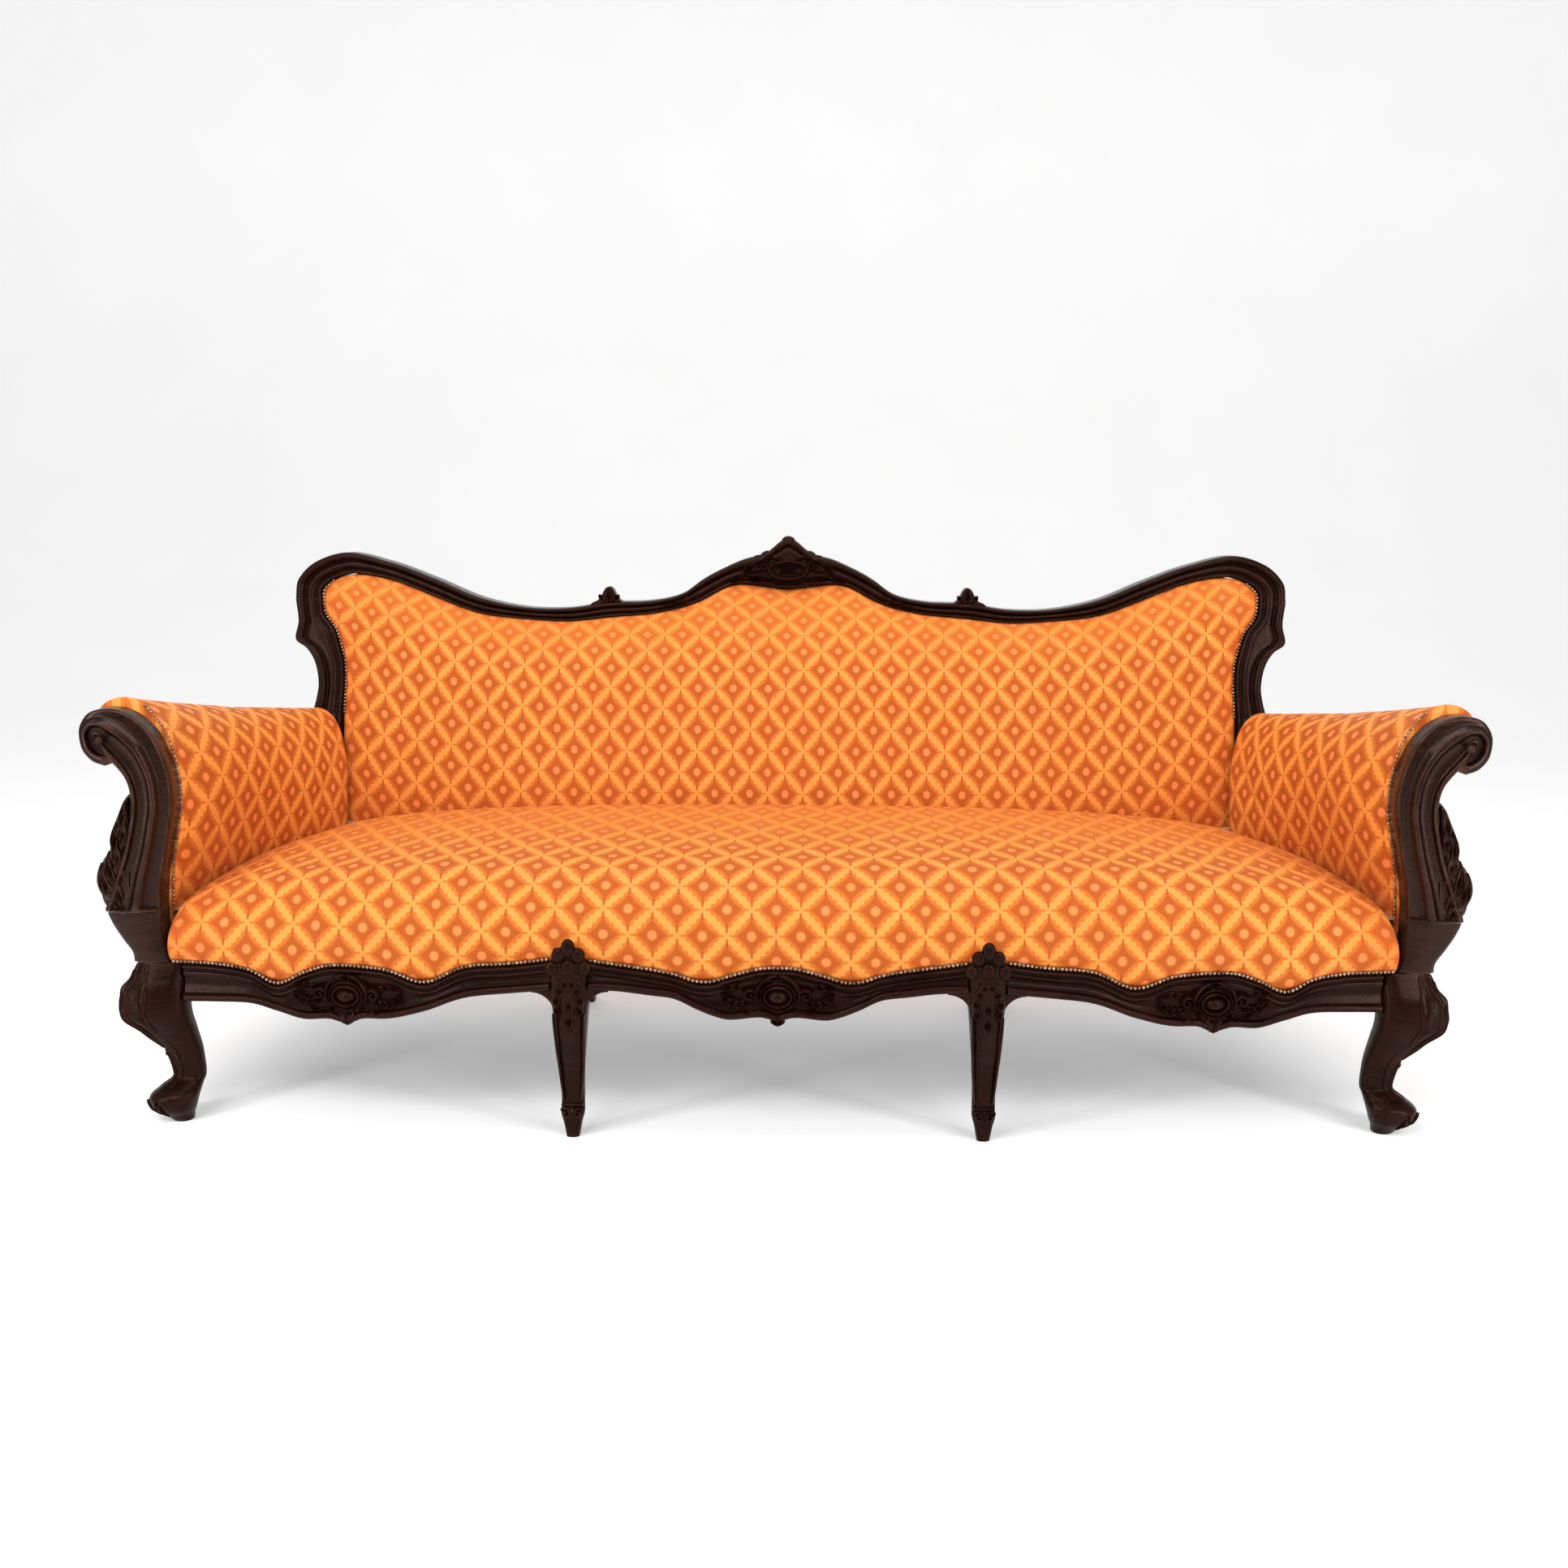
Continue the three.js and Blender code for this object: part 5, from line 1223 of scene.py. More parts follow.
def cartouche(x: float, share: float) -> list[Shell]:
    """Carves a cabochon in a ring under a crown arch, with a drop below and a leafy scroll on either side.

    Args:
        x: X of its middle.
        share: Level of its middle, as a share of the apron's depth.

    Returns:
        Its shells.
    """
    centre = np.array([x, LAYOUT.apron_low + share * LAYOUT.apron_depth])
    shells = [
        ridge_shell(on_front, oval(centre, (0.0205, 0.0155)), 0.0032, 0.0150),
        ridge_shell(on_front, oval(centre, (0.0265, 0.0215)), 0.0026, 0.0115),
        dome_shell(on_front, centre, (0.0175, 0.0125), 0.0175),
        *leaves(on_front, centre, (1, 1), (
            (((0, -0.016), (0, -0.027), (0, -0.038), (0, -0.049)), 0.0165, 0.014, 3),
            (((0, 0.016), (0, 0.023), (0, 0.029), (0, 0.034)), 0.010, 0.013, 2),
        )),
    ]
    arch = curve_through(((0.002, 0.033), (0.016, 0.029), (0.028, 0.017), (0.033, 0.002), (0.028, -0.013)), 22)
    for sign in (1, -1):
        turn = np.array([sign, 1.0])
        half, rise = tapered(22, 0.0036, 0.5), tapered(22, 0.0135, 0.6)
        shells.append(ridge_shell(on_front, centre + turn * arch, half, rise))
        scroll = spiral(centre + turn * (0.043, 0.0015), 0.0105, math.pi if sign > 0 else 0.0, -1.35 * sign)
        shells.append(ridge_shell(on_front, scroll, tapered(len(scroll), 0.0031, 0.6), 0.0135))
        shells += leaves(on_front, centre, turn, (
            (((0.046, -0.010), (0.060, -0.013), (0.074, -0.009), (0.088, 0.003)), 0.0085, 0.0135, 4),
            (((0.049, 0.010), (0.060, 0.014), (0.073, 0.014), (0.087, 0.009)), 0.0065, 0.0125, 3),
            (((0.022, -0.021), (0.034, -0.026), (0.047, -0.025), (0.061, -0.020)), 0.0060, 0.0120, 3),
        ))
    return shells


@dataclass
class SideApron(Carved):
    """One side bay of the front rail, with its serpentine edges and its cartouche."""

    stem: ClassVar[str] = "front_rail_{}"
    place_share: float = 0.546
    level_share: float = 0.42

    def shells(self) -> list[Shell]:
        """Draws the bay."""
        stations = SIDE_BAY.copy()
        stations[(0, -1), 0] += (HAIR, -HAIR)
        x = BAY_FROM + (LAYOUT.leg_inner - BAY_FROM) * self.place_share
        return [Shell.loft([apron_ring(*s) for s in stations]), *cartouche(x, self.level_share)]


@dataclass
class MiddleApron(Carved):
    """The middle bay of the front rail, with its arched edges and its cartouche."""

    stem: ClassVar[str] = "front_rail_center"
    level_share: float = 0.56

    def shells(self) -> list[Shell]:
        """Draws the bay."""
        half = MIDDLE_BAY.copy()
        half[-1, 0] -= HAIR
        stations = np.concatenate([half[:0:-1] * (-1, 1, 1), half])
        return [Shell.loft([apron_ring(*s) for s in stations]), *cartouche(0.0, self.level_share)]


MID_LEG_SHARES = (
    (1, 1, -0.3, 1), (0.83, 1, -0.38, 1), (0.7, 0.88, -0.35, 1), (0.5, 0.72, -0.05, 0.86),
    (0.36, 0.62, 0.22, 0.82), (0.2, 0.60, 0.26, 0.8), (0.13, 0.60, 0.05, 0.78), (0.08, 0.48, 0.08, 0.74),
    (0, 0.34, 0.12, 0.7),
)
CROWN_SHARES = (
    (-1, 0), (-0.95, 0.35), (-0.72, 0.5), (-0.5, 0.62), (-0.34, 0.86), (-0.14, 1), (0.14, 1), (0.34, 0.86),
    (0.5, 0.62), (0.72, 0.5), (0.95, 0.35), (1, 0),
)
# Domes of the shell on a middle leg's head: middle in shares of its half width and rise, then half width and height.
CROWN_DOMES = (
    (0, 0.76, 0.0105, 0.0140), (0.50, 0.56, 0.0105, 0.0115), (-0.50, 0.56, 0.0105, 0.0115),
    (0.84, 0.20, 0.0100, 0.0110), (-0.84, 0.20, 0.0100, 0.0110), (0.44, -0.12, 0.0090, 0.0100),
    (-0.44, -0.12, 0.0090, 0.0100), (0, 0.24, 0.0115, 0.0130),
)


@dataclass
class MiddleLeg(Carved):
    """One front leg between bays, with a fluted shell at its head and a scrolled foot."""

    stem: ClassVar[str] = "front_leg_mid_{}"
    crown_rise: float = 0.038
    columns: int = 36

    def __post_init__(self) -> None:
        """Places the leg's head on the front rails' face."""
        self.top = LAYOUT.apron_low + LAYOUT.apron_depth
        self.face = float(LAYOUT.face_y(LAYOUT.mid_leg_x))
        stations = curve_through(MID_LEG_SHARES, 60)[::-1]
        self.on_leg = face_map(
            lambda x, z: self.face + np.interp(z / self.top, stations[:, 0], stations[:, 2]) * LAYOUT.rail_thick,
            LAYOUT.mid_leg_x,
        )

    def section(self, level: float, half: float, front: float, rear: float) -> Points:
        """Draws one rounded section of the leg."""
        turn = 2 * math.pi * (np.arange(self.columns) + 0.5) / self.columns
        across, along = (np.sign(wave) * np.abs(wave) ** 0.55 for wave in (np.cos(turn), np.sin(turn)))
        w = half * LAYOUT.mid_leg_half
        y0, y1 = self.face + front * LAYOUT.rail_thick, self.face + rear * LAYOUT.rail_thick
        arris = 0.16 * w * np.exp(-((across / 0.3) ** 2)) * (along < 0)
        y = y0 + (y1 - y0) * (1 + along) / 2 - arris
        return np.stack([LAYOUT.mid_leg_x + w * across, y, np.full(len(turn), level * self.top)], 1)

    def head(self) -> list[Shell]:
        """Carves the head's shell and the husks under it."""
        base = self.top - LAYOUT.rail_thick / 2
        rise = self.crown_rise + LAYOUT.rail_thick / 2
        y = self.face - LAYOUT.proud
        crown = np.array(CROWN_SHARES) * (LAYOUT.mid_leg_half, rise) + (LAYOUT.mid_leg_x, base)
        shells = [plate_shell(crown, y + 0.003, y + 0.0204, 0.002)]
        on_crown = face_map(lambda x, z: y + 0.004, LAYOUT.mid_leg_x)
        for x, z, wide, high in CROWN_DOMES:
            place = (x * LAYOUT.mid_leg_half, base + z * rise)
            shells.append(dome_shell(on_crown, place, (wide, high), 0.0145 if x == 0 else 0.0115, 0.3))
        husk = ((0.004, -0.010), (0.014, -0.024), (0.019, -0.044), (0.015, -0.066))
        for sign in (1, -1):
            shells += leaves(self.on_leg, np.array((0, base)), (sign, 1), ((husk, 0.0075, 0.0085, 4),))
        return [*shells, leaf_shell(self.on_leg, ((0, 0.222), (0, 0.206), (0, 0.190), (0, 0.172)), 0.0105, 0.0085, 2)]

    def brackets(self) -> list[Shell]:
        """Draws the rounded brackets between the leg and the bays."""
        shells = []
        for sign, bay, end in ((1, SIDE_BAY, BAY_FROM), (-1, MIDDLE_BAY, BAY_TO)):
            level = float(np.interp(end + sign * 0.012, bay[:, 0], bay[:, 2])) + 0.004
            turn = np.linspace(math.pi / 2, math.pi, 11)
            inner, reach = 0.8 * LAYOUT.mid_leg_half, 0.036
            arc = np.stack([inner + reach * (1 + np.cos(turn)), level - 0.006 - reach * (1 - np.sin(turn))], 1)
            head, foot = [(0.012, level), (inner + reach, level)], [(0.012, arc[-1, 1] - 0.006)]
            corner = np.concatenate([head, arc, foot])
            front = float(LAYOUT.face_y(end + sign * 0.015))
            outline = corner * (sign, 1) + (LAYOUT.mid_leg_x, 0)
            shells.append(plate_shell(outline, front - 0.006, front + 0.022, 0.003))
        return shells

    def shaft(self) -> list[Shell]:
        """Carves the shaft's edges, the scrolls at its foot and their band."""
        shells = []
        for sign in (1, -1):
            rail = np.array([(0.024, 0.205), (0.021, 0.150), (0.017, 0.095), (0.0135, 0.060)])
            rail = curve_through(rail * (sign, 1), 26)
            shells.append(ridge_shell(self.on_leg, rail, tapered(26, 0.0024, 0.5), 0.0045))
            volute = spiral((sign * 0.0095, 0.040), 0.0085, 0.5 if sign > 0 else math.pi - 0.5, 1.2 * sign)
            shells.append(ridge_shell(self.on_leg, volute, 0.0022, 0.0055))
        band = np.array([(x, 0.052) for x in np.linspace(-0.0165, 0.0165, 9)])
        return [*shells, ridge_shell(self.on_leg, band, 0.0026, 0.0055)]

    def shells(self) -> list[Shell]:
        """Draws the leg."""
        rings = [self.section(*s) for s in curve_through(MID_LEG_SHARES, 57)]
        return [Shell.loft(rings), *self.head(), *self.brackets(), *self.shaft()]


CORNER_LEG_SHARES = (
    (1, 0, 0.68, 0.02, -0.38), (0.91, 0, 0.75, 0.12, -0.38), (0.83, 0, 0.87, 0.2, -0.38),
    (0.7, -0.01, 0.89, 0.24, -0.36), (0.57, -0.06, 0.62, 0.14, -0.34), (0.42, -0.13, 0.33, 0.04, -0.3),
    (0.28, -0.15, 0.26, 0, -0.29), (0.225, -0.13, 0.40, 0.14, -0.27), (0.155, -0.1, 0.56, 0.30, -0.24),
    (0.09, -0.06, 0.51, 0.27, -0.21), (0.045, -0.02, 0.37, 0.19, -0.18), (0, 0, 0.27, 0.12, -0.17),
)


@dataclass
class CornerLeg(Carved):
    """One scroll-toed corner leg with a leafed knee and a diagonal edge."""

    stem: ClassVar[str] = "front_leg_{}"
    columns: int = 48
    rows: int = 90

    def __post_init__(self) -> None:
        """Samples the leg's sections, from the foot up."""
        self.stations = curve_through(CORNER_LEG_SHARES, self.rows)[::-1]

    def on_leg(self, a: Points, b: Points, h: Points) -> Points:
        """Maps a turn about the leg and a level share to its skin.

        Args:
            a: Turn in quarter turns: 0 to the outer side, -1 to the front.
            b: Share of the leg's height.
            h: Height above the skin.

        Returns:
            The points.
        """
        a, b, h = np.broadcast_arrays(a, b, h)
        x0, x1, y0, y1 = (np.interp(b, self.stations[:, 0], self.stations[:, i]) for i in (1, 2, 3, 4))
        cos, sin = np.cos(a * math.pi / 2), np.sin(a * math.pi / 2)
        corner = np.exp(-(((a + 0.5) / 0.16) ** 2)) * smooth_step(0.02, 0.3, b)
        power = 0.72 + 0.16 * smooth_step(0.3, 0.12, b)
        across, along = (np.sign(wave) * np.abs(wave) ** power * (1 + 0.05 * corner) for wave in (cos, sin))
        reach, post = LAYOUT.leg_reach, LAYOUT.post_y
        left, right = LAYOUT.leg_inner + x0 * reach, LAYOUT.leg_inner + x1 * reach
        front, rear = post - y0 * reach, post - y1 * reach
        x = left + (right - left) * (1 + across) / 2 + h * cos
        y = rear + (front - rear) * (1 - along) / 2 + h * sin
        return np.stack([x, y, b * LAYOUT.leg_top - HAIR * b], -1)

    def carving(self) -> list[Shell]:
        """Carves the knee's leaves, the toe's scroll and the edges of the shaft."""
        shells = leaves(self.on_leg, 0.0, (1, 1), (
            (((-0.5, 0.93), (-0.5, 0.80), (-0.5, 0.64), (-0.5, 0.46)), 0.17, 0.0065, 3),
            (((-0.72, 0.95), (-0.86, 0.84), (-0.90, 0.70), (-0.84, 0.56)), 0.11, 0.0050, 3),
            (((-0.28, 0.95), (-0.14, 0.84), (-0.10, 0.70), (-0.16, 0.56)), 0.11, 0.0050, 3),
        ))
        shells.append(dome_shell(self.on_leg, (-0.3, 0.415), (0.3, 0.016), 0.0045))
        arris = curve_through(((-0.5, 0.45), (-0.5, 0.33), (-0.5, 0.22)), 26)
        shells.append(ridge_shell(self.on_leg, arris, tapered(26, 0.07, 0.4), tapered(26, 0.004, 0.3)))
        for sign in (1, -1):
            toe = spiral((-0.5 + sign * 0.24, 0.085), 0.05, 1.4, 1.2 * sign)
            toe[:, 0] = -0.5 + sign * 0.24 + (toe[:, 0] + 0.5 - sign * 0.24) * 3.0
            shells.append(ridge_shell(self.on_leg, toe, 0.016, 0.0045))
            edge = ((0.42, 0.50), (0.38, 0.36), (0.34, 0.22))
            edge = curve_through([(-0.5 + sign * out, up) for out, up in edge], 26)
            shells.append(ridge_shell(self.on_leg, edge, tapered(26, 0.05, 0.4), tapered(26, 0.003, 0.3)))
        return shells

    def shells(self) -> list[Shell]:
        """Draws the leg."""
        turns = np.linspace(-2, 2, self.columns, endpoint=False)
        rings = [self.on_leg(turns, level, 0.0) for level in np.linspace(0, 1, self.rows)]
        return [Shell.loft(rings), *self.carving()]


# --------------------------------------------------------------------------- the arms' wood

POST_BAND_SHARES = (
    (0, 0, 0.47, 0), (0.02, 0.03, 0.48, 0.03), (0.06, 0.09, 0.60, 0.085), (0.085, 0.15, 0.73, 0.15),
    (0.085, 0.205, 0.785, 0.20), (0.075, 0.26, 0.71, 0.255), (0.05, 0.32, 0.63, 0.32), (-0.02, 0.42, 0.50, 0.42),
    (-0.09, 0.52, 0.41, 0.52), (-0.14, 0.61, 0.36, 0.60), (-0.12, 0.71, 0.375, 0.665), (-0.045, 0.79, 0.42, 0.705),
    (0.07, 0.865, 0.50, 0.738), (0.26, 0.925, 0.59, 0.768), (0.48, 0.958, 0.66, 0.80), (0.70, 0.962, 0.70, 0.838),
    (0.90, 0.938, 0.72, 0.85), (1.0, 0.88, 0.72, 0.852), (0.985, 0.82, 0.70, 0.848), (0.87, 0.77, 0.68, 0.84),
    (0.70, 0.748, 0.64, 0.825),
)
BAND_PROFILE = (
    (0, -0.6), (0.03, -0.1), (0.10, 0.02), (0.22, 0.1), (0.30, 0.5), (0.37, 0.92), (0.43, 1.0), (0.48, 0.8),
    (0.52, 0.42), (0.58, 0.26), (0.68, 0.20), (0.78, 0.26), (0.84, 0.5), (0.89, 0.85),
    (0.94, 0.8), (0.98, 0.4), (1, -0.1),
)
POST_LEAF_SHARES = (
    (0.42, 0.20), (0.60, 0.195), (0.76, 0.21), (0.80, 0.25), (0.83, 0.29), (0.83, 0.345), (0.79, 0.39), (0.67, 0.43),
    (0.635, 0.47), (0.62, 0.52), (0.56, 0.565), (0.47, 0.62), (0.36, 0.64), (0.33, 0.50),
)


@dataclass
class ArmPost(Carved):
    """One carved post that faces an arm: a moulded band that runs up and winds into the scroll."""

    stem: ClassVar[str] = "arm_post_{}"
    # the posts' lighter wood holds painted highlight as well as rubbing wear
    finish: ClassVar[str] = "rubbed_wood"
    steps: int = 150

    def band(self) -> Shell:
        """Skins the moulded band from the foot to the eye of the scroll."""
        drawn = curve_through(POST_BAND_SHARES, self.steps)
        shape = curve_through(BAND_PROFILE, 44)
        plain = 0.75 * np.sin(math.pi * shape[:, 0]) ** 0.5 - 0.35
        floor = (-np.inf, LAYOUT.leg_top + 0.0002)
        rings = []
        for i, row in enumerate(drawn):
            moulded = float(smooth_step(3.85, 4.0, 20 * i / (self.steps - 1)))
            a, b = (np.maximum(LAYOUT.post_point(share), floor) for share in (row[:2], row[2:]))
            face = a + (b - a) * shape[:, :1]
            front = on_post(face[:, 0], face[:, 1], 0.014 * blend_of(plain, shape[:, 1], moulded) - 0.004)
            rear = a + (b - a) * np.array([[1.0], [0.97], [0.03], [0.0]])
            depth = LAYOUT.post_thick * np.array([-0.96, -1.0, -1.0, -0.96])
            rings.append(np.concatenate([front, on_post(rear[:, 0], rear[:, 1], depth)]))
        return Shell.loft(rings)

    def carving(self) -> list[Shell]:
        """Carves the scroll's eye, the leaves on the outer side and the ledge at the foot."""
        at = LAYOUT.post_point
        outline = at(curve_through((*POST_LEAF_SHARES, POST_LEAF_SHARES[0]), 90)[:-1])
        shells = [
            dome_shell(on_post, at((0.70, 0.848)), (0.0085, 0.0085), 0.0125),
            plate_shell(outline, LAYOUT.post_y + 0.001, LAYOUT.post_y + 0.9 * LAYOUT.post_thick, 0.006),
        ]
        for spine, width, height, lobes in (
            (((0.60, 0.215), (0.70, 0.25), (0.77, 0.31), (0.79, 0.385)), 0.0130, 0.0125, 2),
            (((0.56, 0.24), (0.63, 0.30), (0.69, 0.36), (0.68, 0.43)), 0.0095, 0.0125, 2),
            (((0.54, 0.33), (0.58, 0.39), (0.60, 0.45), (0.57, 0.54)), 0.0100, 0.0115, 3),
            (((0.46, 0.42), (0.49, 0.48), (0.49, 0.54), (0.43, 0.62)), 0.0090, 0.0110, 3),
        ):
            shells.append(leaf_shell(on_post, at(spine), width, height, lobes))
        ledge = at([(x, 0.207 - 0.006 * math.sin(math.pi * x)) for x in np.linspace(0.10, 0.70, 30)])
        return [*shells, ridge_shell(on_post, ledge, tapered(30, 0.0034, 0.5), tapered(30, 0.0115, 0.6))]

    def shells(self) -> list[Shell]:
        """Draws the post."""
        return [self.band(), *self.carving()]


def arm_point(front: Points, rear: Points, step: float) -> Points:
    """Places points of an arm's section.

    Args:
        front: Rows of X and level shares at the front.
        rear: The same rows at the rear.
        step: Share of the way along the arm, in the plan's own steps.

    Returns:
        The points.
    """
    along, inset = arm_plan(step)
    front, rear = np.atleast_2d(np.asarray(front, float)), np.atleast_2d(np.asarray(rear, float))
    front_z = LAYOUT.leg_top + front[:, 1] * (LAYOUT.arm_front_top - LAYOUT.leg_top)
    rear_z = LAYOUT.leg_top + rear[:, 1] * (LAYOUT.arm_rear_top - LAYOUT.leg_top)
    front_x = LAYOUT.seat_half + front[:, 0] * LAYOUT.arm_spread
    rear_x = LAYOUT.rear_inner + rear[:, 0] * LAYOUT.rear_spread
    z = front_z + (rear_z - front_z) * along
    end = LAYOUT.rake_y(z) - LAYOUT.proud - SEAM
    return np.stack([front_x + (rear_x - front_x) * inset, LAYOUT.arm_y + (end - LAYOUT.arm_y) * along, z], 1)


PLAN_LINE = curve_through(PLAN_SHARES, 401)


def arm_plan(step: float) -> tuple[float, float]:
    """Returns how far along and how far in the arm has come at a step."""
    at = np.linspace(0, 1, len(PLAN_LINE))
    return float(np.interp(step, at, PLAN_LINE[:, 0])), float(np.interp(step, at, PLAN_LINE[:, 1]))


@dataclass
class SideRail(Carved):
    """One side rail of the seat frame, with a bead along its lower edge."""

    stem: ClassVar[str] = "side_rail_{}"
    across: tuple[tuple[float, float], tuple[float, float]] = ((0.05, 0.02), (0.42, 0.8))
    tenon: float = 0.009

    def ring(self, step: float) -> Points:
        """Draws the rail's section at a step along the arm."""
        x0, x1 = (arm_point((f, 0), (r, 0), step)[0, 0] for f, r in self.across)
        shares = np.array([
            (0.06, 0), (0.9, 0), (0.97, 0.03), (1.0, 0.12), (0.97, 0.2), (0.93, 0.23), (0.95, 0.27), (0.95, 0.94),
            (0.9, 1), (0.06, 1), (0, 0.95), (0, 0.05),
        ])
        x = x0 + (x1 - x0) * shares[:, 0]
        z = LAYOUT.frame_bottom + (LAYOUT.leg_top - LAYOUT.frame_bottom) * shares[:, 1]
        end = float(LAYOUT.rake_y(LAYOUT.leg_top)) + self.tenon
        return np.stack([x, np.full(len(x), LAYOUT.arm_y + (end - LAYOUT.arm_y) * arm_plan(step)[0]), z], 1)

    def shells(self) -> list[Shell]:
        """Draws the rail."""
        return [Shell.loft([self.ring(step) for step in np.linspace(0, 1, 41)])]


# --------------------------------------------------------------------------- the upholstery


@dataclass
class Cloth:
    """How a tight cover is eased over its stuffing by a short simulation."""

    pressure: float = 4.0
    frames: int = 20
    cap: float = 0.008
    stiffness: float = 15.0

    def ease(self, piece: bpy.types.Object, pinned: Points) -> None:
        """Lets the cover settle over its stuffing and keeps its border where it is.

        Args:
            piece: The closed pad.
            pinned: How firmly each point is held, from 0 to 1.
        """
        mesh = piece.data
        before = read(mesh.vertices, "co", 3)
        group = piece.vertex_groups.new(name="held")
        for index, held in enumerate(pinned):
            if held > 0:
                group.add([index], float(held), "REPLACE")
        cloth = piece.modifiers.new("cover", "CLOTH")
        settings = cloth.settings
        settings.vertex_group_mass = "held"
        settings.use_pressure = True
        settings.uniform_pressure_force = self.pressure
        settings.tension_stiffness = settings.compression_stiffness = self.stiffness
        settings.bending_stiffness = 0.5
        settings.quality = 5
        settings.effector_weights.gravity = 0.0
        cloth.point_cache.frame_start, cloth.point_cache.frame_end = 1, self.frames
        scene = bpy.context.scene
        for number in range(1, self.frames + 1):
            scene.frame_set(number)
        shaped = piece.evaluated_get(bpy.context.evaluated_depsgraph_get())
        move = read(shaped.data.vertices, "co", 3) - before
        piece.modifiers.clear()
        piece.vertex_groups.clear()
        scene.frame_set(1)
        move *= np.minimum(1, self.cap / np.maximum(np.linalg.norm(move, axis=1, keepdims=True), 1e-9))
        move *= (1 - np.clip(pinned, 0, 1))[:, None]
        mesh.vertices.foreach_set("co", (before + move).ravel())
        mesh.update()
        LOG.info("eased %s by up to %.1f mm", piece.name, 1000 * float(np.linalg.norm(move, axis=1).max()))


def pad_shell(face: Points, back: Points, flat: Points) -> Shell:
    """Closes a cover's grid with the grid behind it.

    Args:
        face: Rows and columns of points over the cover.
        back: The same rows and columns behind it.
        flat: The cover's flat map.

    Returns:
        The shell, face points first.
    """
    rows, columns = face.shape[:2]
    offset = rows * columns
    at = np.arange(offset).reshape(rows, columns)
    quads = np.stack([at[:-1, :-1], at[:-1, 1:], at[1:, 1:], at[1:, :-1]], -1).reshape(-1, 4)
    faces = [tuple(q) for q in quads.tolist()] + [tuple(q) for q in (quads[:, ::-1] + offset).tolist()]
    border = np.concatenate([at[0, :], at[1:, -1], at[-1, -2::-1], at[-2:0:-1, 0]])
    for a, b in zip(border, np.roll(border, -1)):
        faces.append((int(b), int(a), int(a) + offset, int(b) + offset))
    verts = np.concatenate([face.reshape(-1, 3), back.reshape(-1, 3)])
    return Shell(verts, faces, np.concatenate([flat.reshape(-1, 2)] * 2))


def settled(piece: bpy.types.Object) -> None:
    """Turns a piece's modifiers into plain points and faces."""
    graph = bpy.context.evaluated_depsgraph_get()
    shaped = piece.evaluated_get(graph)
    mesh = bpy.data.meshes.new_from_object(shaped, preserve_all_data_layers=True, depsgraph=graph)
    piece.modifiers.clear()
    old, piece.data = piece.data, mesh
    bpy.data.meshes.remove(old)


@dataclass
class Stuffing:
    """How a closed pad's cover is held, where shade is painted on it and where a painted sheen flattens its pattern,
    with one share for each point of its face.
    """

    free: Points
    # share of painted shade for each point of the face
    recess: Points
    # share of painted sheen for each point of the face, or none
    faded: Points | None = None

    def fill(self, name: str, shell: Shell, finishes: Finishes, cloth: Cloth) -> bpy.types.Object:
        """Builds a pad, lets its cover settle and smooths it.

        Args:
            name: The pad's name.
            shell: Its closed surface, face points first.
            finishes: The settee's finishes.
            cloth: How its cover is eased.

        Returns:
            The pad.
        """
        piece = build(name, [shell], finishes.fabric, PAD_CREASE)
        behind = np.ones(self.free.size)
        cloth.ease(piece, np.concatenate([(1 - self.free).ravel(), behind]))
        # painted shade share on the cover's points; the hidden points behind get it in full
        store(piece, "recess", np.concatenate([self.recess.ravel(), behind]))
        # painted sheen share, on the cover's points only
        if self.faded is not None:
            store(piece, "faded", np.concatenate([self.faded.ravel(), np.zeros_like(behind)]))
        piece.modifiers.new("smooth", "SUBSURF").levels = 1
        settled(piece)
        piece.data.shade_smooth()
        return piece


def seat_side(y: Points) -> Points:
    """Returns X of the seat's side at a depth, clear of the arm."""
    steps = np.linspace(0, 1, 41)
    line = np.array([arm_point((0, 0.26), (-0.01, 0.34), s)[0] for s in steps])
    reach = np.interp(np.asarray(y), line[:, 1], line[:, 0]) - 0.003
    return np.where(np.asarray(y) <= LAYOUT.arm_y, LAYOUT.seat_half - SEAM, reach)


def opening_curves() -> tuple[Points, Points]:
    """Returns the sampled top and side lines of the back's opening, as shares."""
    top = curve_through([s[2:] for s in CREST_SHARES] + [s[2:] for s in TOP_RAIL_SHARES[1:11]], 321)
    inner = LAYOUT.stile_inner / LAYOUT.back_half
    side = [(inner, -0.63), (inner, -0.3)] + [s[2:] for s in STILE_SHARES[::-1]][1:]
    side += [s[2:] for s in TOP_RAIL_SHARES[10:12][::-1]]
    return top, curve_through(side, 321)


OPENING_TOP, OPENING_SIDE = opening_curves()


def opening_point(across: Points, up: Points) -> Points:
    """Returns X and Z inside the back's opening, from its middle to the stile and up."""
    at = np.linspace(0, 1, 321)
    top = np.stack([np.interp(across, at, OPENING_TOP[:, i]) for i in (0, 1)], -1)
    side = np.stack([np.interp(up, at, OPENING_SIDE[:, i]) for i in (0, 1)], -1)
    corner, low = OPENING_TOP[-1], OPENING_SIDE[0]
    chord = low + (corner - low) * np.asarray(up)[..., None]
    x = blend_of(low[0] * across, top[..., 0], up) + across * (side[..., 0] - chord[..., 0])
    z = blend_of(low[1], top[..., 1], up) + across * (side[..., 1] - chord[..., 1])
    return LAYOUT.back_point(np.stack([x, z], -1))


def back_swell(across: Points, up: Points) -> Points:
    """Returns how far the back's stuffing swells in front of the frame."""
    edge = np.minimum((1 - across**6) * 1.2, 1)
    rise = np.minimum(1.35 * np.sqrt(np.maximum(1 - up, 0)), 1) * (1 - 0.25 * up)
    return LAYOUT.back_crown * edge * rise


def seat_rear_y(x: Points) -> Points:
    """Returns Y of the seat's rear edge, against the back's swell."""
    across = np.minimum(np.abs(x) / LAYOUT.stile_inner, 1)
    return LAYOUT.rake_y(LAYOUT.back_base) - back_swell(across, 0.0) - SLIT


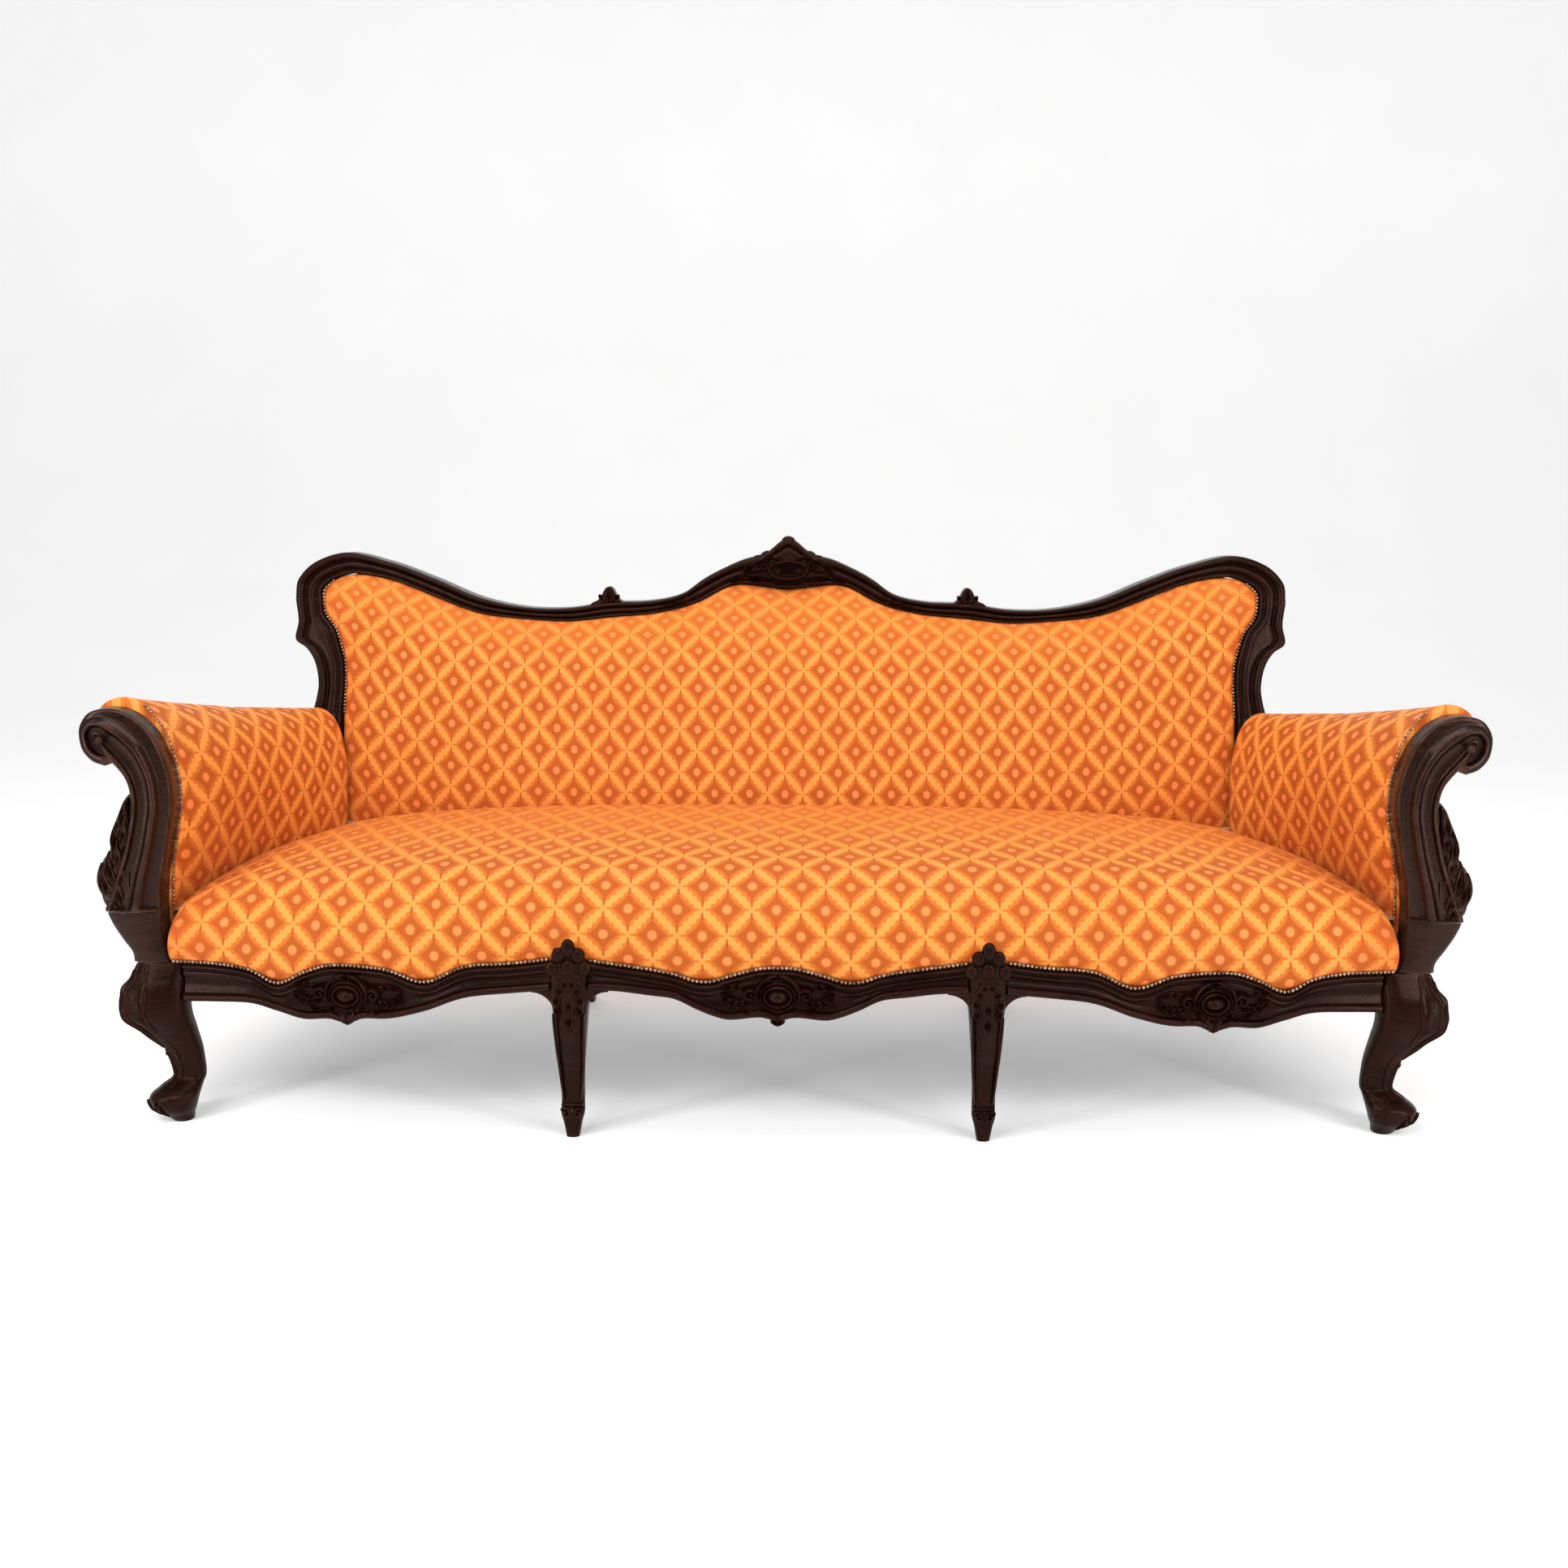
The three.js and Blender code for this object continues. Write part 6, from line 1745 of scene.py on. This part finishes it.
@dataclass
class SeatCushion:
    """The tight seat: sprung and stuffed, and rolled over the front rail."""

    columns: int = 75
    top_rows: int = 24
    roll_rows: int = 13
    roll_shares: tuple = ((0, 0), (0.6, 0.15), (1, 0.36), (0.67, 0.58), (-0.45, 0.78), (-2, 0.92))
    roll_back: float = 4.0

    def top_level(self, side: Points, back: Points) -> Points:
        """Returns the level of the seat's top at shares across and back."""
        edge = blend_of(LAYOUT.deck_level + 0.015, LAYOUT.deck_level + 0.046, back)
        crown = LAYOUT.seat_crown * np.sin(math.pi * np.minimum(0.25 + 0.35 * back, 0.5))
        return blend_of(edge, LAYOUT.seat_level + crown, np.maximum(1 - np.abs(side) ** 3, 0) ** 0.8)

    def line(self, side: float) -> Points:
        """Draws one line of the cover, from its foot on the front rail over the roll and to the back.

        Args:
            side: Place across the seat, from -1 to 1.

        Returns:
            The line's points.
        """
        x = side * float(seat_side(LAYOUT.post_y))
        foot = float(apron_top(x)) - HAIR
        lift = float(self.top_level(side, 0.0))
        face = float(LAYOUT.face_y(x))
        control = [
            (x, face + (0.002 if i == 0 else 0) - LAYOUT.front_roll * bulge, foot + (lift - foot) * up)
            for i, (bulge, up) in enumerate(self.roll_shares)
        ]
        back = np.linspace(0, 1, 13)
        start = face + self.roll_back * LAYOUT.front_roll
        y = start + (float(seat_rear_y(x)) - start) * back
        inner = side * seat_side(np.minimum(y, float(LAYOUT.rake_y(LAYOUT.deck_level))))
        control += list(zip(inner, np.minimum(y, seat_rear_y(inner)), self.top_level(side, back)))
        drawn = curve_through(control, 8 * len(control))
        length = running_length(drawn)
        knee = length[8 * len(self.roll_shares)]
        at = np.concatenate([np.linspace(0, knee, self.roll_rows)[:-1], np.linspace(knee, length[-1], self.top_rows)])
        return np.stack([np.interp(at, length, drawn[:, i]) for i in range(3)], 1)

    def underside(self, grid: Points, row: Points) -> Points:
        """Draws the points behind the cover's, on the rail and over the springs."""
        under = grid.copy()
        under[..., 2] = np.maximum(LAYOUT.deck_level, grid[:1, :, 2]) * np.ones_like(grid[..., 2])
        face = LAYOUT.face_y(grid[..., 0])
        shelf = face + LAYOUT.rail_thick * (0.35 + 0.6 * np.minimum(row / self.roll_rows, 1))
        under[..., 1] = np.where(row < self.roll_rows, shelf, np.maximum(grid[..., 1], face + LAYOUT.rail_thick))
        under[: self.roll_rows, :, 2] = grid[:1, :, 2]
        return under

    def make(self, finishes: Finishes, cloth: Cloth) -> bpy.types.Object:
        """Builds the seat.

        Args:
            finishes: The settee's finishes.
            cloth: How its cover is eased.

        Returns:
            The seat.
        """
        share = np.linspace(-1, 1, self.columns)
        grid = np.stack([self.line(side) for side in np.sign(share) * np.abs(share) ** 0.92], 1)
        row = np.arange(len(grid))[:, None]
        arc = running_length(grid, blend_of(1, 0.66, smooth_step(9, 17, row[1:])))
        seam = LAYOUT.seat_level + 0.02
        flat = np.stack([0.903 * grid[..., 0], 0.975 * (arc + (grid[0, :, 2] - seam)[None, :])], -1)
        side, back = np.abs(share)[None, :], row / (len(grid) - 1)
        rim = smooth_step(0.0, 0.1, back) * smooth_step(0.0, 0.06, 1 - back)
        # painted shade: darker at the sides against the arms, at the rear against the back and under the front roll
        shade = np.maximum(smooth_step(0.86, 1.0, side) * np.ones_like(back), smooth_step(0.84, 1.0, back))
        shade = np.maximum(shade, 0.7 * smooth_step(0.06, 0.0, back))
        # painted sheen: the pattern flattened towards the seat's rear
        faded = 0.5 * smooth_step(0.35, 0.8, back) * np.ones_like(side)
        stuffing = Stuffing(rim * smooth_step(0.0, 0.05, 1 - side), shade, faded)
        piece = stuffing.fill("seat_cushion", pad_shell(grid, self.underside(grid, row), flat), finishes, cloth)
        return declare(piece, "cover_fabric", "seat_cover", "seat_pad")


@dataclass
class BackCushion:
    """The tight inside back, swelling in its frame."""

    columns: int = 89
    rows: int = 33
    skirt: float = 0.034

    def make(self, finishes: Finishes, cloth: Cloth) -> bpy.types.Object:
        """Builds the inside back.

        Args:
            finishes: The settee's finishes.
            cloth: How its cover is eased.

        Returns:
            The back.
        """
        share = np.linspace(-1, 1, self.columns)
        share = np.sign(share) * (1 - (1 - np.abs(share)) ** 1.15)
        side, level = np.meshgrid(share, 1 - (1 - np.linspace(0, 1, self.rows)) ** 1.25)
        across = np.abs(side)
        place = opening_point(across, level)
        x = np.sign(side) * (place[..., 0] - SEAM * across**8)
        z = np.maximum(place[..., 1], LAYOUT.back_base)
        z[-1] -= SEAM
        front = np.stack([x, LAYOUT.rake_y(z) - back_swell(across, level) - HAIR, z], -1)
        rear = np.stack([x, LAYOUT.rake_y(z) + 0.012, z], -1)
        for sheet in (front, rear):
            sheet[0, :, 2] -= self.skirt
        crowd = np.interp(level, (0.4, 0.65, 0.75, 0.85, 0.92, 1.0), (1.0, 0.88, 0.80, 0.70, 0.58, 0.42))
        climb = np.diff(front[..., 2], axis=0) / math.cos(math.radians(14)) / (0.5 * (crowd[1:] + crowd[:-1]))
        rise = np.concatenate([front[:1, :, 2] - LAYOUT.seat_level, climb]).cumsum(axis=0)
        flat = np.stack([1.018 * x, 1.006 * (rise - 0.033 * (np.abs(x) / 0.815) ** 5) - 0.005], -1)
        free = smooth_step(0, 0.05, 1 - across) * smooth_step(0, 0.08, 1 - level) * smooth_step(0, 0.05, level)
        # painted shade: darker at the sides, at the foot and under the top rail
        shade = np.maximum(smooth_step(0.93, 1.0, across), smooth_step(0.1, 0.0, level))
        shade = np.maximum(shade, 0.8 * smooth_step(0.94, 1.0, level))
        # painted sheen: the pattern flattened towards the top
        stuffing = Stuffing(free, shade, 0.42 * smooth_step(0.55, 0.95, level))
        piece = stuffing.fill("back_cushion", pad_shell(front, rear, flat), finishes, cloth)
        return declare(piece, "cover_fabric", "back_cover", "back_pad")


CORE_FRONT_SHARES = (
    (0.72, 0.81), (0.72, 0.9), (0.35, 0.9), (0.35, 0.79), (0.18, 0.7), (0.14, 0.61), (0.2, 0.48),
    (0.3, 0.35), (0.34, 0.2), (0.34, 0.1),
)
CORE_REAR_SHARES = (
    (0.82, 0.84), (0.82, 0.906), (0.47, 0.906), (0.47, 0.862), (0.4, 0.78), (0.36, 0.66), (0.35, 0.54),
    (0.35, 0.42), (0.35, 0.245), (0.35, 0.125),
)


@dataclass
class ArmCushion:
    """One tight inside arm, stuffed over its roll."""

    side: Side
    columns: int = 41
    rows: int = 45

    def sheet(self, front: Sequence, rear: Sequence, way: int = 1) -> Points:
        """Skins the arm between a section at its front and one at its rear."""
        front, rear = (curve_through(shares, self.rows)[::way] for shares in (front, rear))
        return np.stack([arm_point(front, rear, step) for step in np.linspace(0, 1, self.columns)], 1)

    def make(self, finishes: Finishes, cloth: Cloth) -> bpy.types.Object:
        """Builds the arm's cover and stuffing.

        Args:
            finishes: The settee's finishes.
            cloth: How its cover is eased.

        Returns:
            The arm.
        """
        face = self.sheet(ARM_FRONT_SHARES, ARM_REAR_SHARES)
        core = self.sheet(CORE_FRONT_SHARES, CORE_REAR_SHARES, -1)
        arc, run = running_length(face), running_length(face[18])
        across = run * (0.44 + 0.41 * run / run[-1])
        flat = np.stack([np.broadcast_to(across, arc.shape) + 0.02, 0.975 * (arc - arc[20:21]) + 0.03], -1)
        along, row = np.linspace(0, 1, self.columns)[None, :], np.linspace(0, 1, self.rows)[:, None]
        free = smooth_step(0, 0.06, along) * smooth_step(0, 0.05, 1 - along)
        free = free * smooth_step(0.0, 0.15, row) * smooth_step(0, 0.12, 1 - row)
        # painted shade: darker at the foot against the seat, at the rear against the back and where the roll turns
        # under to the outside
        shade = np.maximum(smooth_step(0.22, 0.05, row) * np.ones_like(along), smooth_step(0.9, 1, along))
        shade = np.maximum(shade, 0.8 * smooth_step(0.9, 1.0, row))
        tag = self.side.name.lower()
        shell = pad_shell(face, core, flat).mirrored(self.side)
        piece = Stuffing(free, shade).fill(f"arm_cushion_{tag}", shell, finishes, cloth)
        return declare(piece, "cover_fabric", f"arm_cover_{tag}", f"arm_pad_{tag}")


def panel(name: str, shell: Shell, finishes: Finishes) -> bpy.types.Object:
    """Builds a flat covered panel with an even painted shade, and ties it to the solid of its own name."""
    piece = build(name, [shell], finishes.fabric, PANEL_CREASE)
    # painted shade: the whole panel a little darker
    store(piece, "recess", 0.2 * np.ones(len(piece.data.vertices)))
    return declare(piece, "cover_fabric", name)


@dataclass
class OutsideArm:
    """One covered panel that closes the outside of an arm."""

    side: Side
    thick: float = 0.006
    columns: int = 31
    rows: int = 13

    def make(self, finishes: Finishes) -> bpy.types.Object:
        """Builds the panel with a slight crown."""
        steps = np.linspace(0, 1, self.columns)
        up = np.linspace(0, 1, self.rows)[:, None, None]
        head = np.stack([arm_point((0.5, 0.735), (0.82, 0.815), s)[0] for s in steps])[None]
        foot = np.stack([arm_point((0.4, 0), (0.76, 0), s)[0] for s in steps])[None]
        foot = foot * (1, 1, 0) + (self.thick, 0, LAYOUT.leg_top + HAIR)
        outer = foot + (head - foot) * up
        inner = outer - (self.thick, 0, 0)
        outer[..., 0] += 0.004 * np.sin(math.pi * up[..., 0]) * np.sin(math.pi * steps)[None, :]
        flat = np.stack([np.broadcast_to(running_length(foot[0]), outer.shape[:2]), outer[..., 2]], -1)
        shell = pad_shell(outer, inner, flat).mirrored(self.side)
        return panel(f"outside_arm_{self.side.name.lower()}", shell, finishes)


@dataclass
class OutsideBack:
    """The covered panel that closes the back, behind the seat and the frame."""

    columns: int = 61
    rows: int = 25
    front: float = 0.036
    rear: float = 0.0425

    def make(self, finishes: Finishes) -> bpy.types.Object:
        """Builds the panel, from the rear rail up to the top rail."""
        side, level = np.meshgrid(np.linspace(-1, 1, self.columns), np.linspace(0, 1, self.rows))
        across = np.abs(side)
        place = opening_point(across, level)
        x = np.sign(side) * place[..., 0] * (1 - 0.0012)
        drop = LAYOUT.back_base - (LAYOUT.leg_top + SLIT)
        z = np.maximum(place[..., 1], LAYOUT.back_base) - np.where(level < 0.25, drop * (1 - level / 0.25), 0)
        crown = 0.004 * np.sin(math.pi * level) * (1 - across**4)
        outer = np.stack([x, LAYOUT.rake_y(z) + self.rear + crown, z], -1)
        inner = np.stack([x, LAYOUT.rake_y(z) + self.front, z], -1)
        return panel("outside_back", pad_shell(outer, inner, np.stack([x, z], -1)), finishes)


# --------------------------------------------------------------------------- the nails


def nail_group() -> bpy.types.NodeTree:
    """Builds the group that sets nail heads along the edges of a mesh."""
    group = bpy.data.node_groups.new("nail_line", "GeometryNodeTree")
    s = Sheet(group)
    for label, kind, default in (
        ("Geometry", "Geometry", None), ("Pitch", "Float", 0.0066), ("Head", "Float", 0.003),
        ("Seed", "Int", 7), ("Material", "Material", None),
    ):
        socket = group.interface.new_socket(name=label, in_out="INPUT", socket_type=f"NodeSocket{kind}")
        if default is not None:
            socket.default_value = default
    group.interface.new_socket(name="Geometry", in_out="OUTPUT", socket_type="NodeSocketGeometry")
    given, made = s.node("NodeGroupInput").outputs, s.node("NodeGroupOutput")
    curve = s.feed(s.node("GeometryNodeMeshToCurve"), "Curve", {"Mesh": given["Geometry"]})
    even = s.node("GeometryNodeResampleCurve")
    even.mode = "LENGTH"
    even = s.feed(even, "Curve", {"Curve": curve, "Length": given["Pitch"]})
    facing = s.node("GeometryNodeInputNamedAttribute", data_type="FLOAT_VECTOR")
    facing = s.feed(facing, "Attribute", {"Name": "facing"})
    turn = s.feed(s.node("FunctionNodeAlignRotationToVector", axis="Z"), "Rotation", {"Vector": facing})
    ball = {"Segments": 8, "Rings": 5, "Radius": given["Head"]}
    ball = s.feed(s.node("GeometryNodeMeshUVSphere"), "Mesh", ball)
    flat = s.feed(s.node("GeometryNodeTransform"), "Geometry", {"Geometry": ball, "Scale": (1.0, 1.0, 0.62)})
    random = {"Min": (0.94, 0.94, 0.9), "Max": (1.05, 1.05, 1.1), "Seed": given["Seed"]}
    random = s.feed(s.node("FunctionNodeRandomValue", data_type="FLOAT_VECTOR"), "Value", random)
    heads = {"Points": even, "Instance": flat, "Rotation": turn, "Scale": random}
    heads = s.feed(s.node("GeometryNodeInstanceOnPoints"), "Instances", heads)
    for kind in ("GeometryNodeRealizeInstances", "GeometryNodeSetShadeSmooth"):
        heads = s.feed(s.node(kind), "Geometry", {"Geometry": heads})
    coat = {"Geometry": heads, "Material": given["Material"]}
    s.put(made.inputs["Geometry"], s.feed(s.node("GeometryNodeSetMaterial"), "Geometry", coat))
    return group


@dataclass
class NailLine:
    """Close nail heads along one or more paths, each with a facing for every point."""

    name: str
    paths: Sequence[tuple[Points, Points]]
    head: float = 0.003
    pitch: float = 0.0066

    def make(self, finishes: Finishes, group: bpy.types.NodeTree) -> bpy.types.Object:
        """Builds the nails.

        Args:
            finishes: The settee's finishes.
            group: The group that sets nails along edges.

        Returns:
            The nails.
        """
        verts, facing = (np.concatenate(rows) for rows in zip(*self.paths))
        edges: list[tuple[int, int]] = []
        start = 0
        for path, _ in self.paths:
            edges += [(start + i, start + i + 1) for i in range(len(path) - 1)]
            start += len(path)
        mesh = bpy.data.meshes.new(self.name)
        mesh.from_pydata(verts.tolist(), edges, [])
        layer = mesh.attributes.new("facing", "FLOAT_VECTOR", "POINT")
        layer.data.foreach_set("vector", facing.astype(np.float32).ravel())
        piece = placed(self.name, mesh)
        setter = piece.modifiers.new("nails", "NODES")
        setter.node_group = group
        values = {"Pitch": self.pitch, "Head": self.head, "Seed": 7, "Material": finishes.nail}
        for item in group.interface.items_tree:
            if item.in_out == "INPUT" and item.name in values:
                setter[item.identifier] = values[item.name]
        settled(piece)
        return declare(piece, "spring_steel")


def facing_front(points: Points, tilt: float = 0.0) -> Points:
    """Returns a facing towards the front, tilted up by a share, for each point."""
    way = np.array([0.0, -1.0, tilt])
    return np.broadcast_to(way / np.linalg.norm(way), points.shape).copy()


def arm_nails(side: Side) -> list[tuple[Points, Points]]:
    """Draws the nails' path on the cover's front border, round one arm behind its post."""
    front, rear = (curve_through(shares, 120)[6:66] for shares in (ARM_FRONT_SHARES, ARM_REAR_SHARES))
    arm = arm_point(front, rear, 0.0)
    way = sway_of(arm[:, (0, 2)])
    facing = np.stack([way[:, 0], np.full(len(arm), -0.25), way[:, 1]], 1)
    arm[:, 1] += 0.004
    return [(arm * (side.value, 1, 1), facing * (side.value, 1, 1))]


def seat_nails() -> list[tuple[Points, Points]]:
    """Draws the nails' paths along the front rail, bay by bay."""
    lines = []
    spans = (
        (-LAYOUT.leg_inner - 0.015, -BAY_FROM - 0.004),
        (-BAY_TO + 0.004, BAY_TO - 0.004),
        (BAY_FROM + 0.004, LAYOUT.leg_inner + 0.015),
    )
    for start, end in spans:
        x = np.linspace(start, end, 160)
        z = apron_top(np.clip(x, -LAYOUT.leg_inner + 0.001, LAYOUT.leg_inner - 0.001)) + 0.0042
        path = np.stack([x, LAYOUT.face_y(x) - 0.0045, z], 1)
        lines.append((path, facing_front(path, 0.1)))
    return lines


def back_nails() -> list[tuple[Points, Points]]:
    """Draws the nails' paths along the stiles' inner edges."""
    lines = []
    for side in Side:
        half = LAYOUT.back_point(OPENING_SIDE)
        half = half[half[:, 1] > LAYOUT.arm_rear_top - 0.01] - (0.0036, 0)
        path = on_back(half[:, 0], half[:, 1], 0.004)
        lines.append((path * (side.value, 1, 1), facing_front(path, -0.1)))
    return lines


# --------------------------------------------------------------------------- what is inside


INNER_WOOD = (
    "back_bottom_rail", "back_upright_", "seat_brace_", "corner_block_", "arm_top_rail_", "arm_tack_rail_",
)


def dress(finishes: Finishes) -> None:
    """Gives the frame's own solids, which stay as they are, their finishes.

    Args:
        finishes: The settee's finishes.
    """
    for finish, stems in (
        (finishes.inner_wood, INNER_WOOD),
        (finishes.jute, ("seat_webbing", "back_webbing", "arm_webbing_")),
        (finishes.hessian, ("seat_hessian", "back_hessian")),
        (finishes.steel, ("spring_row_",)),
        (finishes.lining, ("dust_cover",)),
    ):
        for piece in bpy.data.objects:
            if piece.name.startswith(stems):
                piece.data.materials.clear()
                piece.data.materials.append(finish)


# --------------------------------------------------------------------------- the picture


@dataclass(frozen=True)
class View:
    """Where the picture is taken from, in metres and degrees."""

    place: tuple[float, float, float] = (0.0545, -2.7885, 0.950)
    left: float = 1.11
    down: float = 9.22
    roll: float = 0.21
    lens: float = 37.12

    def make(self) -> bpy.types.Object:
        """Sets the camera up."""
        yaw, pitch, roll = (math.radians(v) for v in (self.left, self.down, self.roll))
        ahead = Vector((-math.sin(yaw) * math.cos(pitch), math.cos(yaw) * math.cos(pitch), -math.sin(pitch)))
        right = Vector((math.cos(yaw), math.sin(yaw), 0.0))
        up = right.cross(ahead)
        across = right * math.cos(roll) + up * math.sin(roll)
        rise = up * math.cos(roll) - right * math.sin(roll)
        data = bpy.data.cameras.new("view")
        data.sensor_width, data.lens = 36.0, self.lens
        data.clip_start, data.clip_end = 0.05, 60.0
        camera = placed("view", data)
        turn = Matrix((across, rise, -ahead)).transposed().to_4x4()
        camera.matrix_world = Matrix.Translation(self.place) @ turn
        bpy.context.scene.camera = camera
        return camera


@dataclass(frozen=True)
class Lamp:
    """A soft rectangular light: its place, what it points at, its size in metres and its power in watts."""

    name: str
    place: tuple[float, float, float]
    towards: tuple[float, float, float]
    size: tuple[float, float]
    power: float

    def make(self) -> bpy.types.Object:
        """Adds the light."""
        data = bpy.data.lights.new(self.name, "AREA")
        data.shape = "RECTANGLE"
        data.size, data.size_y = self.size
        data.energy = self.power
        lamp = placed(self.name, data)
        lamp.location = self.place
        lamp.rotation_euler = (Vector(self.towards) - Vector(self.place)).to_track_quat("-Z", "Y").to_euler()
        return lamp


LAMPS = (
    Lamp("key", (-1.5, -2.6, 3.0), (0, 0, 0.45), (2.0, 1.2), 56),
    Lamp("fill", (1.9, -2.8, 2.4), (0, 0, 0.45), (1.6, 1.2), 34),
    Lamp("top", (0.0, -0.4, 3.0), (0, 0, 0.4), (3.0, 1.2), 48),
    Lamp("strip_left", (-2.3, -2.0, 1.1), (-0.6, 0, 0.45), (0.3, 1.8), 24),
    Lamp("strip_right", (2.3, -2.0, 1.1), (0.6, 0, 0.45), (0.3, 1.8), 24),
)


def make_stage() -> None:
    """Lays a pale floor that curves up behind the settee, and lights it softly from above and in front."""
    turn = np.linspace(0, math.pi / 2, 13)
    line = [(-14.0, 0.0), *((4.0 + 3.0 * math.sin(t), 3.0 - 3.0 * math.cos(t)) for t in turn), (7.0, 14.0)]
    mesh = bpy.data.meshes.new("floor")
    quads = [(2 * i, 2 * i + 1, 2 * i + 3, 2 * i + 2) for i in range(len(line) - 1)]
    mesh.from_pydata([(x, y, z) for y, z in line for x in (-18.0, 18.0)], [], quads)
    mesh.shade_smooth()
    s = Coat("pale_floor")
    pale = s.blend(s.noise(s.place, 2.0), (0.86, 0.86, 0.86), (0.90, 0.90, 0.90))
    s.shade(Base_Color=pale, Emission_Color=pale, Emission_Strength=0.30, Roughness=0.9, Specular_IOR_Level=0.1)
    mesh.materials.append(s.material)
    floor = placed("floor", mesh)
    scene = bpy.context.scene
    scene.world = scene.world or bpy.data.worlds.new("studio")
    scene.world.use_nodes = True
    tree = scene.world.node_tree
    back = tree.nodes.get("Background") or tree.nodes.new("ShaderNodeBackground")
    Sheet(tree).feed(back, 0, {"Color": (1.0, 1.0, 1.0), "Strength": 0.52})
    for lamp in LAMPS:
        lamp.make()
    scene.view_settings.view_transform = "Standard"


def main() -> None:
    """Builds the settee's pieces in order and sets the picture up."""
    finishes = Finishes()
    cloth = Cloth()
    for kind in (CrestRail, RearRail, MiddleApron):
        kind().make(finishes)
    for side in Side:
        for kind in (TopRail, RailFinial, BackPost, RearMiddleLeg, SideApron, MiddleLeg, CornerLeg, ArmPost, SideRail):
            kind(side).make(finishes)
        ArmCushion(side).make(finishes, cloth)
        OutsideArm(side).make(finishes)
    SeatCushion().make(finishes, cloth)
    BackCushion().make(finishes, cloth)
    OutsideBack().make(finishes)
    nails = nail_group()
    NailLine("seat_nails", seat_nails()).make(finishes, nails)
    NailLine("back_nails", back_nails(), 0.0026).make(finishes, nails)
    for side in Side:
        NailLine(f"arm_nails_{side.name.lower()}", arm_nails(side)).make(finishes, nails)
    dress(finishes)
    make_stage()
    View().make()


if __name__ == "__main__":
    main()
